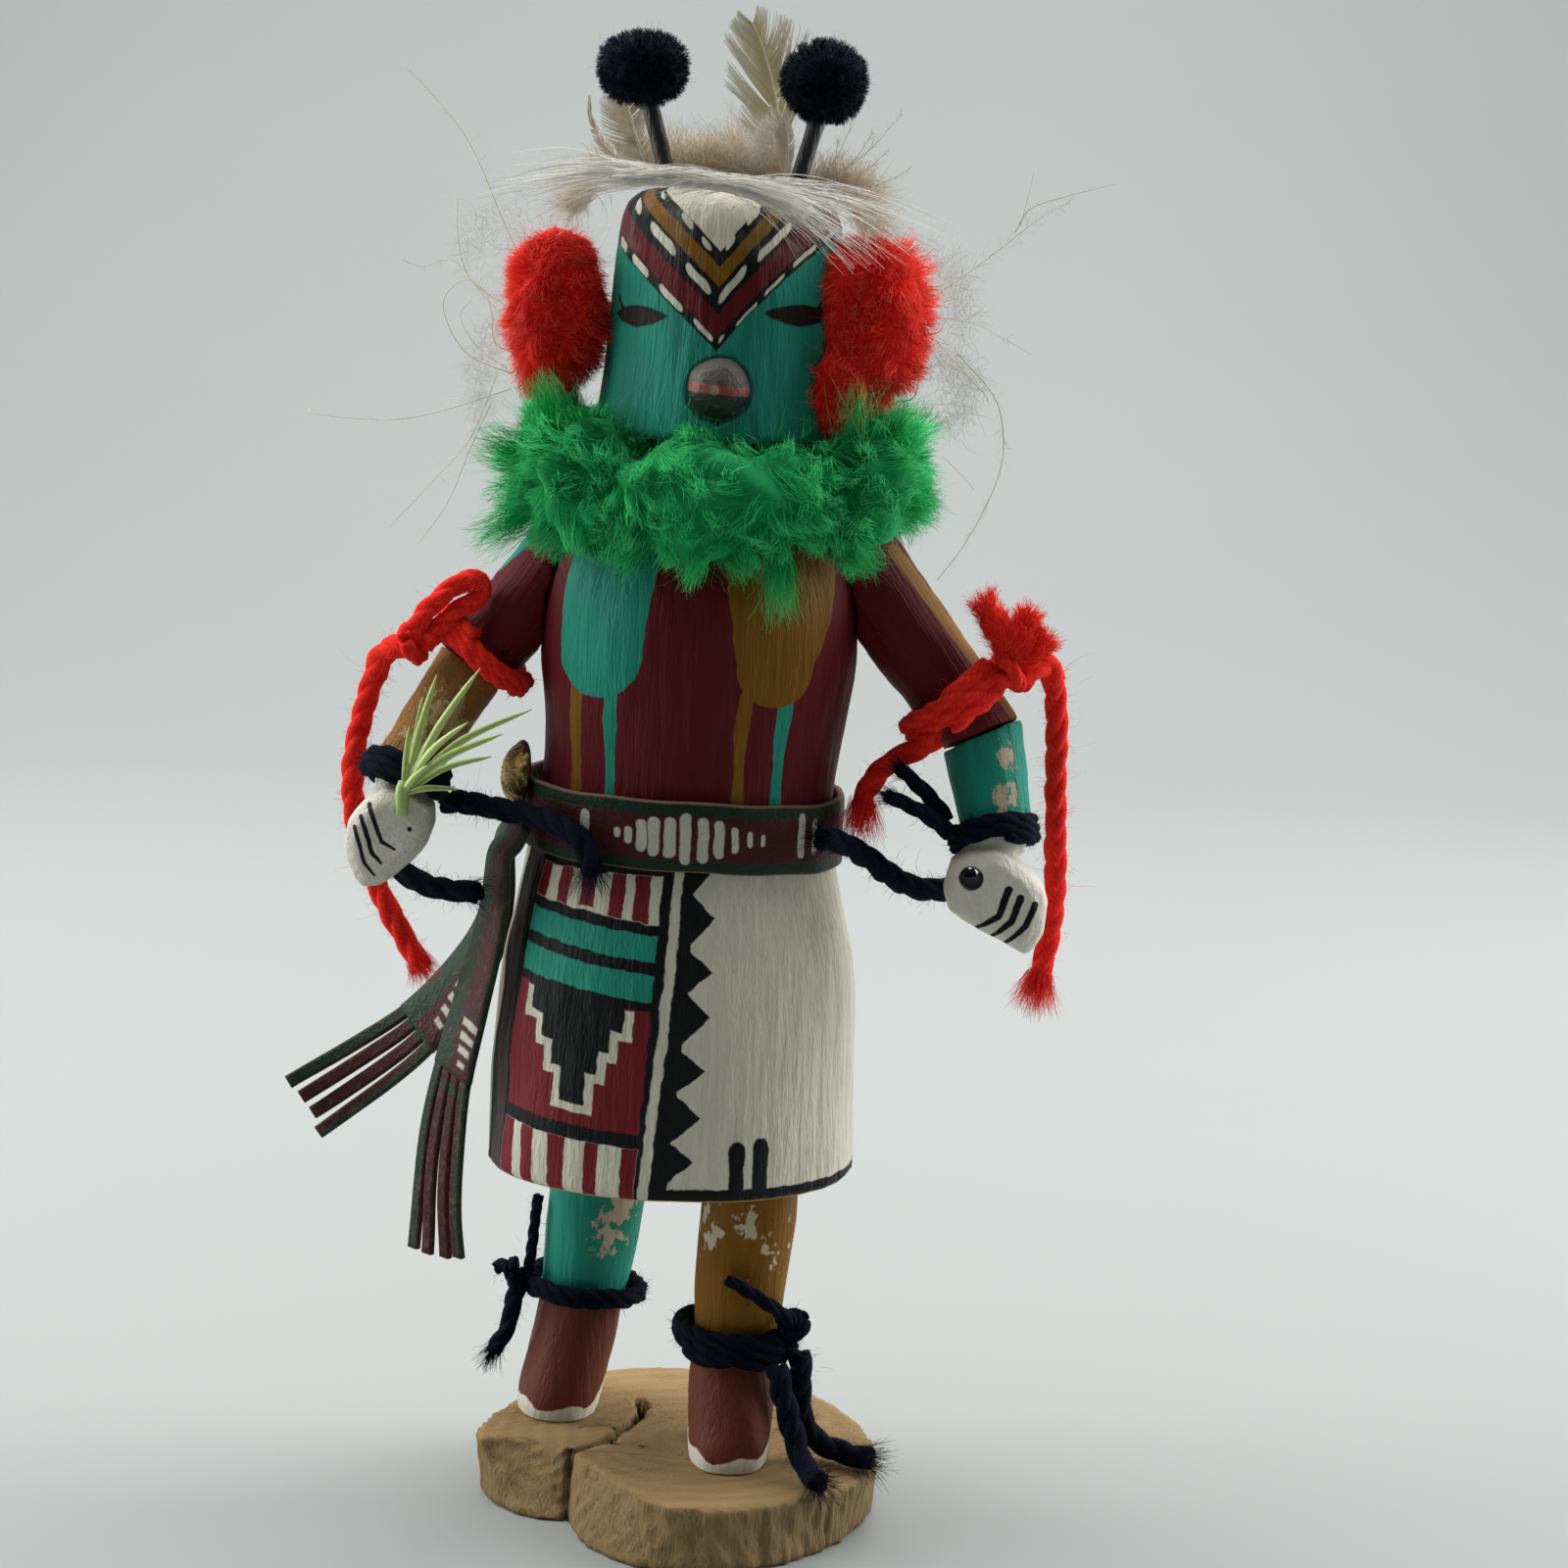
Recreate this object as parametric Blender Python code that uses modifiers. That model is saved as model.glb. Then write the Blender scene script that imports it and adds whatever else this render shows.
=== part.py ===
"""A carved and painted wooden kachina doll on a slice of wood, with yarn, leather and feather trim.

Lengths below are in millimetres until to_mesh() or to_metres() turns them into Blender's metres. The figure
faces -Y and stands along +Z, so its own left is at +X. The origin is on the base's underside, below its neck.
"""
import math
import random

import bmesh
import bpy
from mathutils import Matrix, Vector

MM = 0.001
GAP = 0.3

# Heights that everything else is placed from
BASE_THICKNESS = 12.5
HEM_HEIGHT = 71.5
BELT_BOTTOM = 137.5
BELT_TOP = 151.5
NECK_TOP = 221.7
HEAD_BOTTOM = 222.0
HEAD_TOP = 270.3

# Widths and thicknesses
HEAD_CENTRE = (3.7, 0.0)
BELT_THICKNESS = 1.5
SASH_WIDTH = 13.5
SASH_THICKNESS = 1.6
RED_YARN = 5.0
NAVY_YARN = 5.2
ROD_RADIUS = 1.7
FIST_DEPTH = 14.0
FEATHER_THICKNESS = 0.7
BASE_EDGE_ROUND = 0.8

# How finely each round shape is divided
TORSO_SIDES = 24
LEG_SIDES = 12
HEAD_SIDES = 32
ARM_SIDES = 16
BELT_SIDES = 28
BASE_SIDES = 40
BAND_SIDES = 16
YARN_END_SIDES = 5
RUFF_STEPS = 22
RUFF_SIDES = 8

# The torso and kilt, from the hem up: height, centre x, half width, half depth
BODY_SECTIONS = (
    (HEM_HEIGHT, -1.6, 37.0, 30.6),
    (HEM_HEIGHT + 1.2, -1.6, 37.9, 31.5),
    (88.0, -1.5, 37.5, 31.0),
    (106.0, -1.2, 36.8, 30.2),
    (118.0, -1.2, 35.4, 29.0),
    (128.0, -1.5, 33.4, 27.6),
    (136.0, -1.6, 31.2, 26.0),
    (144.0, -1.2, 30.0, 25.2),
    (156.0, -0.2, 29.8, 25.0),
    (178.0, 0.5, 32.0, 26.4),
    (189.0, 0.6, 31.8, 26.2),
    (196.0, 0.8, 30.4, 24.8),
    (202.0, 1.2, 27.0, 22.0),
    (206.5, 1.8, 21.0, 18.0),
    (209.5, 2.2, 15.5, 14.0),
    (NECK_TOP, 2.8, 14.0, 13.0),
)

# The legs and boots, from under the kilt down: height, centre x, centre y, half width, half depth, squareness
RIGHT_LEG = (
    (84.0, -16.6, 16.0, 10.3, 10.3, 2.0),
    (58.0, -17.3, 16.0, 10.2, 10.2, 2.0),
    (42.0, -18.8, 16.0, 9.6, 9.6, 2.0),
    (35.0, -19.8, 15.9, 9.1, 9.5, 2.0),
    (29.0, -20.9, 15.7, 9.1, 10.8, 2.2),
    (23.0, -22.2, 15.4, 9.2, 12.5, 2.3),
    (17.5, -23.3, 15.0, 9.3, 13.8, 2.4),
    (15.0, -23.6, 15.0, 9.2, 14.0, 2.4),
    (BASE_THICKNESS + GAP, -23.7, 15.0, 8.7, 13.6, 2.4),
)
LEFT_LEG = (
    (84.0, 15.6, -7.6, 10.2, 10.2, 2.0),
    (62.0, 15.3, -7.6, 9.8, 9.8, 2.0),
    (42.0, 14.0, -7.6, 9.0, 9.0, 2.0),
    (33.0, 13.4, -7.8, 8.7, 9.2, 2.0),
    (27.0, 13.2, -8.8, 8.8, 11.0, 2.2),
    (21.0, 13.2, -10.0, 8.9, 12.9, 2.3),
    (17.0, 13.2, -10.9, 8.9, 13.9, 2.4),
    (14.8, 13.2, -11.0, 8.8, 14.0, 2.4),
    (BASE_THICKNESS + GAP, 13.2, -11.0, 8.3, 13.6, 2.4),
)

# The mask, from its bottom edge up: height, radius
HEAD_PROFILE = (
    (HEAD_BOTTOM, 25.4),
    (HEAD_BOTTOM + 1.0, 26.1),
    (236.0, 24.4),
    (248.0, 23.3),
    (264.5, 21.8),
    (267.8, 20.5),
    (269.5, 18.2),
    (HEAD_TOP, 15.5),
)

# The wood slice, clockwise from the notch between its lobes: x, y
BASE_TOP_EDGE = (
    (-19.1, -13.6), (-26.9, -8.6), (-33.0, -7.4), (-38.3, -9.6), (-39.7, -4.0), (-38.3, 2.5), (-35.8, 9.5),
    (-32.2, 18.0), (-26.5, 29.0), (-13.8, 37.2), (2.6, 40.3), (22.6, 35.2), (33.4, 24.0), (40.5, 10.4),
    (43.9, -2.0), (44.0, -11.0), (42.6, -18.8), (39.1, -26.2), (28.0, -36.4), (17.3, -41.8), (6.0, -43.2),
    (-1.2, -41.0), (-6.8, -34.6), (-13.0, -25.2), (-17.0, -18.6),
)
BASE_FOOT_EDGE = (
    (-19.3, -21.8), (-23.6, -22.0), (-29.0, -19.8), (-34.5, -15.1), (-37.7, -9.0), (-38.4, 0.0), (-36.2, 8.5),
    (-32.6, 17.5), (-27.0, 28.4), (-14.0, 36.6), (2.6, 39.8), (22.6, 35.0), (33.6, 24.0), (40.8, 10.4),
    (43.6, -1.5), (43.6, -8.5), (42.2, -15.0), (39.0, -23.4), (33.0, -32.4), (24.0, -41.0), (12.0, -45.4),
    (1.5, -45.8), (-6.5, -43.0), (-11.9, -38.2), (-16.8, -29.6),
)

# The arms: the ends of each limb's middle line
RIGHT_SHOULDER, RIGHT_ELBOW, RIGHT_WRIST = (-27.0, 0.5, 196.6), (-45.6, -1.0, 173.2), (-58.0, -10.5, 152.5)
LEFT_SHOULDER, LEFT_ELBOW, LEFT_WRIST = (30.6, 0.5, 198.6), (58.6, -2.0, 163.8), (61.9, -8.5, 146.6)
RIGHT_HAND = (-59.5, -15.0, 140.6)
LEFT_HAND = (62.3, -13.0, 132.8)

# Radii of each arm: shoulder, above the elbow, below the elbow, middle of the forearm, wrist
RIGHT_ARM_RADII = (8.8, 7.9, 7.3, 6.8, 6.4)
LEFT_ARM_RADII = (9.7, 8.3, 8.7, 7.9, 7.3)

# The fists seen from the front, about the hand's middle: x, z
RIGHT_FIST = (
    (-0.8, 10.4), (-3.5, 8.6), (-6.0, 5.8), (-8.1, 2.9), (-8.8, -0.4), (-8.4, -4.6), (-6.8, -8.8),
    (-4.8, -10.6), (-1.4, -9.8), (1.6, -7.8), (4.8, -4.9), (7.6, -1.2), (8.8, 2.2), (8.7, 6.2), (5.0, 8.4),
)
LEFT_FIST = (
    (-10.7, 1.2), (-9.0, 7.0), (-5.9, 9.5), (-1.4, 10.7), (1.0, 10.2), (7.1, 5.5), (9.6, 2.5), (10.4, -0.3),
    (9.7, -6.7), (8.0, -9.9), (6.4, -11.2), (0.7, -8.3), (-6.3, -4.6), (-9.3, -2.6),
)
# Middle lines of the yarn that hangs or lies free: x, y, z
CORD_ROUTES = {
    "armband_left_tail": (
        (71.4, -3.0, 178.6), (72.4, -1.8, 175.4), (73.2, 0.0, 171.0), (73.9, 1.6, 165.0), (74.2, 2.6, 157.0),
        (74.8, 3.4, 147.0), (75.4, 3.8, 137.0), (75.4, 3.6, 127.5), (74.4, 3.0, 119.0), (73.0, 2.4, 112.0),
    ),
    "armband_right_tail": (
        (-63.6, -3.0, 174.0), (-65.4, -2.0, 169.4), (-67.4, -0.4, 162.5), (-69.2, 1.2, 153.5),
        (-69.4, 2.0, 145.0), (-67.6, 2.0, 136.0), (-64.0, 1.4, 127.0), (-59.2, 0.6, 118.2),
        (-54.0, 0.0, 110.0),
    ),
    "waist_yarn_right": (
        (-49.8, -3.4, 145.4), (-46.6, -6.8, 146.4), (-42.6, -10.6, 146.6), (-37.8, -14.0, 146.4),
        (-32.6, -17.4, 146.4), (-26.9, -22.5, 146.0), (-22.2, -25.9, 144.4), (-19.1, -27.7, 141.0),
        (-18.3, -28.2, 136.8),
    ),
    "waist_yarn_right_low": (
        (-61.8, -1.0, 147.2), (-62.2, -2.2, 141.0), (-60.8, -3.8, 134.8), (-56.8, -6.0, 130.6),
        (-51.5, -9.0, 129.0), (-46.0, -12.0, 129.0), (-41.6, -14.2, 129.2),
    ),
    "waist_yarn_left": (
        (58.6, 0.9, 134.4), (55.2, -0.4, 132.2), (50.6, -3.0, 131.6), (45.6, -6.4, 132.8),
        (40.6, -9.8, 135.8), (36.2, -13.2, 139.6), (31.6, -17.6, 142.8), (26.6, -22.4, 145.0),
    ),
    "ankle_left_tail": (
        (27.2, -15.6, 36.0), (27.4, -15.2, 31.0), (27.6, -14.2, 25.8), (28.6, -13.2, 20.8),
        (30.8, -13.2, 17.2), (34.4, -14.8, 15.7), (38.4, -17.2, 15.5), (42.4, -19.8, 15.5),
    ),
    "ankle_left_tail_low": (
        (22.6, -21.6, 35.0), (23.6, -21.8, 30.6), (25.0, -22.2, 26.0), (26.6, -23.0, 21.2),
        (28.2, -25.6, 17.2), (30.2, -29.6, 15.6), (32.0, -34.0, 15.5),
    ),
}

# The two leather ends: middle line, and the direction across the strap at each point
SASH_BACK = (
    ((-38.2, 5.6, 136.0), (-0.20, 0.98, 0.0)),
    ((-38.8, 6.0, 126.0), (-0.25, 0.97, 0.0)),
    ((-41.4, 6.8, 115.0), (-0.40, 0.90, 0.18)),
    ((-47.2, 7.6, 105.0), (-0.50, 0.74, 0.44)),
    ((-55.2, 8.4, 95.4), (-0.46, 0.52, 0.72)),
    ((-64.6, 8.8, 87.4), (-0.46, 0.30, 0.84)),
    ((-80.0, 8.4, 76.4), (-0.48, 0.10, 0.87)),
)
SASH_FRONT = (
    ((-37.8, -11.0, 136.0), (-0.30, 0.95, 0.0)),
    ((-38.6, -10.0, 126.0), (-0.32, 0.95, 0.0)),
    ((-40.4, -9.0, 116.0), (-0.36, 0.93, 0.0)),
    ((-43.2, -8.0, 104.0), (-0.38, 0.92, 0.0)),
    ((-46.4, -7.0, 90.0), (-0.40, 0.91, 0.0)),
    ((-48.4, -6.0, 77.0), (-0.48, 0.88, 0.0)),
    ((-49.6, -5.0, 62.0), (-0.66, 0.75, 0.0)),
    ((-49.8, -4.0, 48.6), (-0.80, 0.60, 0.0)),
)
FRINGE_STRANDS = 4
SASH_FRONT_FRINGE_START = 4
SASH_BACK_FRINGE_START = 4

# Colours
TURQUOISE = (0.05, 0.30, 0.24)
MAROON = (0.10, 0.012, 0.02)
WHITE = (0.58, 0.56, 0.49)
RED = (0.75, 0.03, 0.03)
GREEN = (0.02, 0.36, 0.09)
NAVY = (0.006, 0.009, 0.028)
WOOD = (0.40, 0.28, 0.14)
FEATHER = (0.62, 0.54, 0.42)
BRASS = (0.50, 0.36, 0.14)
LEAF = (0.38, 0.55, 0.14)
DARK = (0.02, 0.02, 0.02)

part_collection = None
cutter_collection = None


def clear_scene():
    for obj in list(bpy.data.objects):
        bpy.data.objects.remove(obj, do_unlink=True)


def new_collection(name):
    collection = bpy.data.collections.new(name)
    bpy.context.scene.collection.children.link(collection)
    return collection


def material(name, colour, roughness, metallic=0.0):
    made = bpy.data.materials.new(name)
    made.use_nodes = True
    shader = made.node_tree.nodes["Principled BSDF"]
    shader.inputs["Base Color"].default_value = (*colour, 1.0)
    shader.inputs["Roughness"].default_value = roughness
    shader.inputs["Metallic"].default_value = metallic
    return made


def place(name, mesh, colour, roughness=0.8, metallic=0.0):
    """A named piece of the doll made from a mesh in metres."""
    obj = bpy.data.objects.new(name, mesh)
    part_collection.objects.link(obj)
    mesh.materials.clear()
    mesh.materials.append(material(name, colour, roughness, metallic))
    mesh.shade_smooth()
    mesh.set_sharp_from_angle(angle=math.radians(40))
    return obj


def place_cutter(name, mesh):
    obj = bpy.data.objects.new(name, mesh)
    cutter_collection.objects.link(obj)
    obj.hide_render = True
    obj.display_type = "WIRE"
    return obj


def boolean(obj, other, operation):
    modifier = obj.modifiers.new(f"{operation} {other.name}", "BOOLEAN")
    modifier.operation = operation
    modifier.object = other
    modifier.solver = "EXACT"


def to_mesh(name, bm):
    """A mesh in metres from a bmesh in millimetres, with its faces pointing out."""
    bmesh.ops.recalc_face_normals(bm, faces=bm.faces)
    bmesh.ops.scale(bm, vec=(MM, MM, MM), verts=bm.verts)
    mesh = bpy.data.meshes.new(name)
    bm.to_mesh(mesh)
    bm.free()
    return mesh


def to_metres(point):
    return Vector(point) * MM


def smooth_line(points, count, closed=False):
    """count points on a Catmull-Rom curve through the given ones, evenly spaced in the curve's parameter."""
    points = [Vector(point) for point in points]
    spans = len(points) if closed else len(points) - 1
    line = []
    for step in range(count):
        where = step * spans / (count if closed else count - 1)
        index = min(int(where), spans - 1)
        t = where - index
        if closed:
            near = [points[(index + shift) % len(points)] for shift in (-1, 0, 1, 2)]
        else:
            near = [points[min(max(index + shift, 0), len(points) - 1)] for shift in (-1, 0, 1, 2)]
        before, start, end, after = near
        line.append(
            0.5 * (2 * start + (end - before) * t + (2 * before - 5 * start + 4 * end - after) * t * t
                   + (3 * start - before - 3 * end + after) * t ** 3)
        )
    return line


def even_line(points, spacing):
    """Points along the smooth curve through the given ones, about one spacing apart."""
    fine = smooth_line(points, 40 * len(points))
    total = sum((b - a).length for a, b in zip(fine, fine[1:]))
    count = max(3, round(total / spacing))
    line, walked, target = [fine[0]], 0.0, total / count
    for a, b in zip(fine, fine[1:]):
        walked += (b - a).length
        while walked >= target * len(line) and len(line) < count:
            line.append(b.copy())
    return line + [fine[-1]]


def oval(height, cx, cy, half_width, half_depth, squareness, sides):
    """A level ring of points: an ellipse at squareness 2, squarer above it."""
    ring = []
    for side in range(sides):
        angle = math.tau * side / sides
        c, s = math.cos(angle), math.sin(angle)
        ring.append(Vector((
            cx + half_width * math.copysign(abs(c) ** (2 / squareness), c),
            cy + half_depth * math.copysign(abs(s) ** (2 / squareness), s),
            height,
        )))
    return ring


def loft(rings):
    """A closed bmesh through rings of as many points each, capped at both ends."""
    bm = bmesh.new()
    rows = [[bm.verts.new(point) for point in ring] for ring in rings]
    sides = len(rows[0])
    for low, high in zip(rows, rows[1:]):
        for side in range(sides):
            after = (side + 1) % sides
            bm.faces.new((low[side], low[after], high[after], high[side]))
    for row in (rows[0], rows[-1]):
        bm.faces.new(row)
    return bm


def ring_about(centre, direction, radius, sides):
    """A round ring of points at right angles to direction."""
    direction = Vector(direction).normalized()
    across = direction.cross(Vector((0, 1, 0))).normalized()
    up = direction.cross(across)
    centre = Vector(centre)
    turns = [math.tau * side / sides for side in range(sides)]
    return [centre + radius * (math.cos(turn) * across + math.sin(turn) * up) for turn in turns]


def lumpy(bm, centre, size, seed):
    """Moves each vertex in or out from the centre by up to size, smoothly over the surface."""
    rng = random.Random(seed)
    waves = [
        (Vector([rng.uniform(-1, 1) for _ in range(3)]).normalized(), rng.uniform(0, math.tau))
        for _ in range(5)
    ]
    for vert in bm.verts:
        outward = vert.co - Vector(centre)
        swell = sum(math.sin(outward.dot(way) * 0.42 + phase) for way, phase in waves) / len(waves)
        vert.co += outward.normalized() * size * swell


def ball(centre, radii, sides, rings, lump=0.0, seed=0):
    bm = bmesh.new()
    bmesh.ops.create_uvsphere(bm, u_segments=sides, v_segments=rings, radius=1.0)
    bmesh.ops.scale(bm, vec=radii, verts=bm.verts)
    bmesh.ops.translate(bm, vec=centre, verts=bm.verts)
    if lump:
        lumpy(bm, centre, lump, seed)
    return bm


def torso_rings(grow=0.0, sides=TORSO_SIDES):
    return [oval(z, cx, 0.0, a + grow, b + grow, 2.1, sides) for z, cx, a, b in BODY_SECTIONS]


def leg_rings(sections, sides=LEG_SIDES):
    return [oval(z, cx, cy, a, b, power, sides) for z, cx, cy, a, b, power in sections]


def body_section(height):
    """The torso or kilt at a height: centre x, half width and half depth."""
    for low, high in zip(BODY_SECTIONS, BODY_SECTIONS[1:]):
        if low[0] <= height <= high[0]:
            t = (height - low[0]) / (high[0] - low[0])
            return [a + (b - a) * t for a, b in zip(low[1:], high[1:])]
    return list(BODY_SECTIONS[-1][1:])


def make_base():
    """The slice of wood: its top and foot outlines joined, with both edges slightly broken."""
    drawn_in = 0.985
    rings = []
    for height, edge, scale in (
        (0.0, BASE_FOOT_EDGE, drawn_in), (BASE_EDGE_ROUND, BASE_FOOT_EDGE, 1.0),
        (BASE_THICKNESS - BASE_EDGE_ROUND, BASE_TOP_EDGE, 1.0), (BASE_THICKNESS, BASE_TOP_EDGE, drawn_in),
    ):
        outline = smooth_line([(x, y, 0.0) for x, y in edge], BASE_SIDES, closed=True)
        rings.append([Vector((p.x * scale, p.y * scale, height)) for p in outline])
    place("base", to_mesh("base", loft(rings)), WOOD)


def make_body():
    body = place("body", to_mesh("body", loft(torso_rings())), MAROON)
    for name, sections in (("right leg", RIGHT_LEG), ("left leg", LEFT_LEG)):
        leg = place_cutter(name, to_mesh(name, loft(leg_rings(sections))))
        boolean(body, leg, "UNION")


def turned(name, profile, centre, steps):
    """A shape turned about a standing axis: profile is radius and height, from the top down."""
    mesh = bpy.data.meshes.new(name)
    points = [to_metres((radius, 0.0, height)) for radius, height in profile]
    mesh.from_pydata(points, [(i, i + 1) for i in range(len(points) - 1)], [])
    obj = bpy.data.objects.new(name, mesh)
    obj.location = to_metres((centre[0], centre[1], 0.0))
    screw = obj.modifiers.new("turn", "SCREW")
    screw.steps = screw.render_steps = steps
    screw.use_merge_vertices = True
    screw.merge_threshold = 0.00001
    screw.use_smooth_shade = True
    return obj


def head_profile(grow=0.0):
    outer = [(radius + grow, height) for height, radius in reversed(HEAD_PROFILE)]
    return [(0.0, HEAD_TOP + grow)] + [(outer[0][0], HEAD_TOP + grow)] + outer[1:-1] + [
        (outer[-1][0], HEAD_BOTTOM - grow), (0.0, HEAD_BOTTOM - grow)]


def make_head():
    head = turned("head", head_profile(), HEAD_CENTRE, HEAD_SIDES)
    part_collection.objects.link(head)
    head.data.materials.append(material("head", TURQUOISE, 0.6))
    peg_radius, peg_middle = 6.0, (2.9, -23.2, 232.4)
    peg = place("mouth_peg", to_mesh("mouth_peg", ball(peg_middle, (peg_radius,) * 3, 14, 8)), DARK, 0.5)
    boolean(peg, head_clearance, "DIFFERENCE")


def limb(points, radii, normals, sides=ARM_SIDES, round_start=False):
    rings = [ring_about(p, n, r, sides) for p, r, n in zip(points, radii, normals)]
    if round_start:
        start, direction, radius = Vector(points[0]), Vector(normals[0]).normalized(), radii[0]
        crown = [ring_about(start - direction * radius * math.sin(a), direction, radius * math.cos(a), sides)
                 for a in (math.radians(75), math.radians(50), math.radians(25))]
        rings = crown + rings
    return loft(rings)


def mitre(a, b, c):
    """The normal of the plane in which two limbs that meet at b are cut."""
    a, b, c = Vector(a), Vector(b), Vector(c)
    return ((b - a).normalized() + (c - b).normalized()).normalized()


def upper_arm(shoulder, elbow, wrist, shoulder_radius, elbow_radius, grow=0.0):
    shoulder, elbow = Vector(shoulder), Vector(elbow)
    along = (elbow - shoulder).normalized()
    cut = mitre(shoulder, elbow, wrist)
    points = [shoulder, shoulder.lerp(elbow, 0.5), elbow - along * (GAP / 2 - grow)]
    radii = [shoulder_radius + grow, (shoulder_radius + elbow_radius) / 2 + grow, elbow_radius + grow]
    return limb(points, radii, [along, along, cut], round_start=True)


def fist_rings(outline, centre, depth):
    """The fist's outline at five depths, drawn in towards the front and the back."""
    cx, cy, cz = centre
    return [
        [Vector((cx + x * scale, cy + share * depth, cz + z * scale)) for x, z in outline]
        for share, scale in ((-0.5, 0.72), (-0.38, 0.94), (-0.2, 1.0), (0.25, 1.0), (0.5, 0.74))
    ]


def make_arm(side, shoulder, elbow, wrist, hand, outline, radii):
    upper = place(f"upper_arm_{side}", to_mesh(f"upper_arm_{side}",
                  upper_arm(shoulder, elbow, wrist, radii[0], radii[1])), MAROON)
    boolean(upper, torso_clearance, "DIFFERENCE")
    elbow, wrist, hand = Vector(elbow), Vector(wrist), Vector(hand)
    along = (wrist - elbow).normalized()
    into_hand = wrist.lerp(hand, 0.45)
    points = [elbow + along * GAP / 2, elbow.lerp(wrist, 0.5), wrist, into_hand]
    bm = limb(points, [radii[2], radii[3], radii[4], radii[4] * 0.82],
              [mitre(shoulder, elbow, wrist), along, along, along])
    forearm = place(f"forearm_{side}", to_mesh(f"forearm_{side}", bm), WHITE)
    fist = place_cutter(f"fist {side}", to_mesh(f"fist {side}", loft(fist_rings(outline, hand, FIST_DEPTH))))
    boolean(forearm, fist, "UNION")
    return forearm


def cylinder_between(start, end, radius, sides=16):
    start, end = Vector(start), Vector(end)
    return loft([ring_about(start, end - start, radius, sides), ring_about(end, end - start, radius, sides)])


def make_arms():
    make_arm("right", RIGHT_SHOULDER, RIGHT_ELBOW, RIGHT_WRIST, RIGHT_HAND, RIGHT_FIST, RIGHT_ARM_RADII)
    left = make_arm("left", LEFT_SHOULDER, LEFT_ELBOW, LEFT_WRIST, LEFT_HAND, LEFT_FIST, LEFT_ARM_RADII)
    hole_x, hole_z, hole_radius = 56.4, 137.6, 2.1
    hole = place_cutter("grip hole", to_mesh("grip hole", cylinder_between(
        (hole_x, -24.0, hole_z), (hole_x + 1.0, -1.0, hole_z - 0.5), hole_radius)))
    boolean(left, hole, "DIFFERENCE")


def make_antennae():
    crown = HEAD_TOP + 3 * GAP
    for side, foot, tip, radii, aside in (
        ("right", (-8.9, -5.0, crown), (-13.0, -5.0, 285.4), (9.5, 8.4, 7.5), 0.4),
        ("left", (16.0, -5.0, crown), (19.2, -5.0, 283.0), (8.9, 8.6, 8.5), -0.8),
    ):
        rod = cylinder_between(foot, tip, ROD_RADIUS, 12)
        place(f"antenna_{side}", to_mesh(f"antenna_{side}", rod), DARK)
        along = (Vector(tip) - Vector(foot)).normalized()
        centre = Vector(tip) + along * (radii[2] + 2 * GAP) + Vector((aside, 0, 0))
        pompom = ball(centre, radii, 13, 8, 0.5, len(side))
        place(f"pompom_{side}", to_mesh(f"pompom_{side}", pompom), NAVY, 0.95)


def make_ears():
    right_wool = ball((-30.6, -3.0, 245.0), (11.2, 8.6, 18.6), 12, 8, 1.2, 3)
    left_wool = ball((32.4, -9.0, 246.0), (13.2, 9.4, 18.6), 12, 8, 1.2, 8)
    right = place("ear_right", to_mesh("ear_right", right_wool), RED, 0.95)
    left = place("ear_left", to_mesh("ear_left", left_wool), RED, 0.95)
    lobe = place_cutter("ear lobe", to_mesh("ear lobe", ball((28.0, -15.5, 231.0), (5.0, 4.6, 8.6), 9, 6)))
    boolean(left, lobe, "UNION")
    for ear in (right, left):
        boolean(ear, head_clearance, "DIFFERENCE")
        boolean(ear, ruff_clearance, "DIFFERENCE")


def ruff_bmesh(grow=0.0):
    """A fat uneven ring round the neck, higher at the sides than in front."""
    steps, sides = RUFF_STEPS, RUFF_SIDES
    bm = bmesh.new()
    rows = []
    for step in range(steps):
        turn = math.tau * step / steps
        c, s = math.cos(turn), math.sin(turn)
        side_rise = abs(c) ** 3
        wave = math.sin(3 * turn + 0.6) * 0.7 + math.sin(7 * turn) * 0.8 + math.sin(11 * turn + 2.0) * 0.6
        middle = Vector((2.4 + 33.6 * c, 28.6 * s, 211.0 + 5.0 * side_rise))
        half_height = 13.2 + 2.6 * side_rise + wave + grow
        half_depth = 11.4 + 0.5 * wave + grow
        outward = Vector((c, s, 0.0))
        upward = Vector((0.0, 0.0, half_height))
        rows.append([
            bm.verts.new(middle + outward * half_depth * math.cos(a) + upward * math.sin(a))
            for a in (math.tau * side / sides for side in range(sides))
        ])
    for step in range(steps):
        here, after = rows[step], rows[(step + 1) % steps]
        for side in range(sides):
            beyond = (side + 1) % sides
            bm.faces.new((here[side], after[side], after[beyond], here[beyond]))
    return bm


def make_ruff():
    ruff = place("ruff", to_mesh("ruff", ruff_bmesh()), GREEN, 0.95)
    for cutter in (torso_clearance, head_clearance, right_arm_clearance, left_arm_clearance):
        boolean(ruff, cutter, "DIFFERENCE")


def join_round(bm, rows):
    """Faces between rings of vertices that follow each other in a closed band."""
    for row, other in zip(rows, rows[1:] + rows[:1]):
        for side in range(len(row)):
            after = (side + 1) % len(row)
            bm.faces.new((row[side], row[after], other[after], other[side]))


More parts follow.
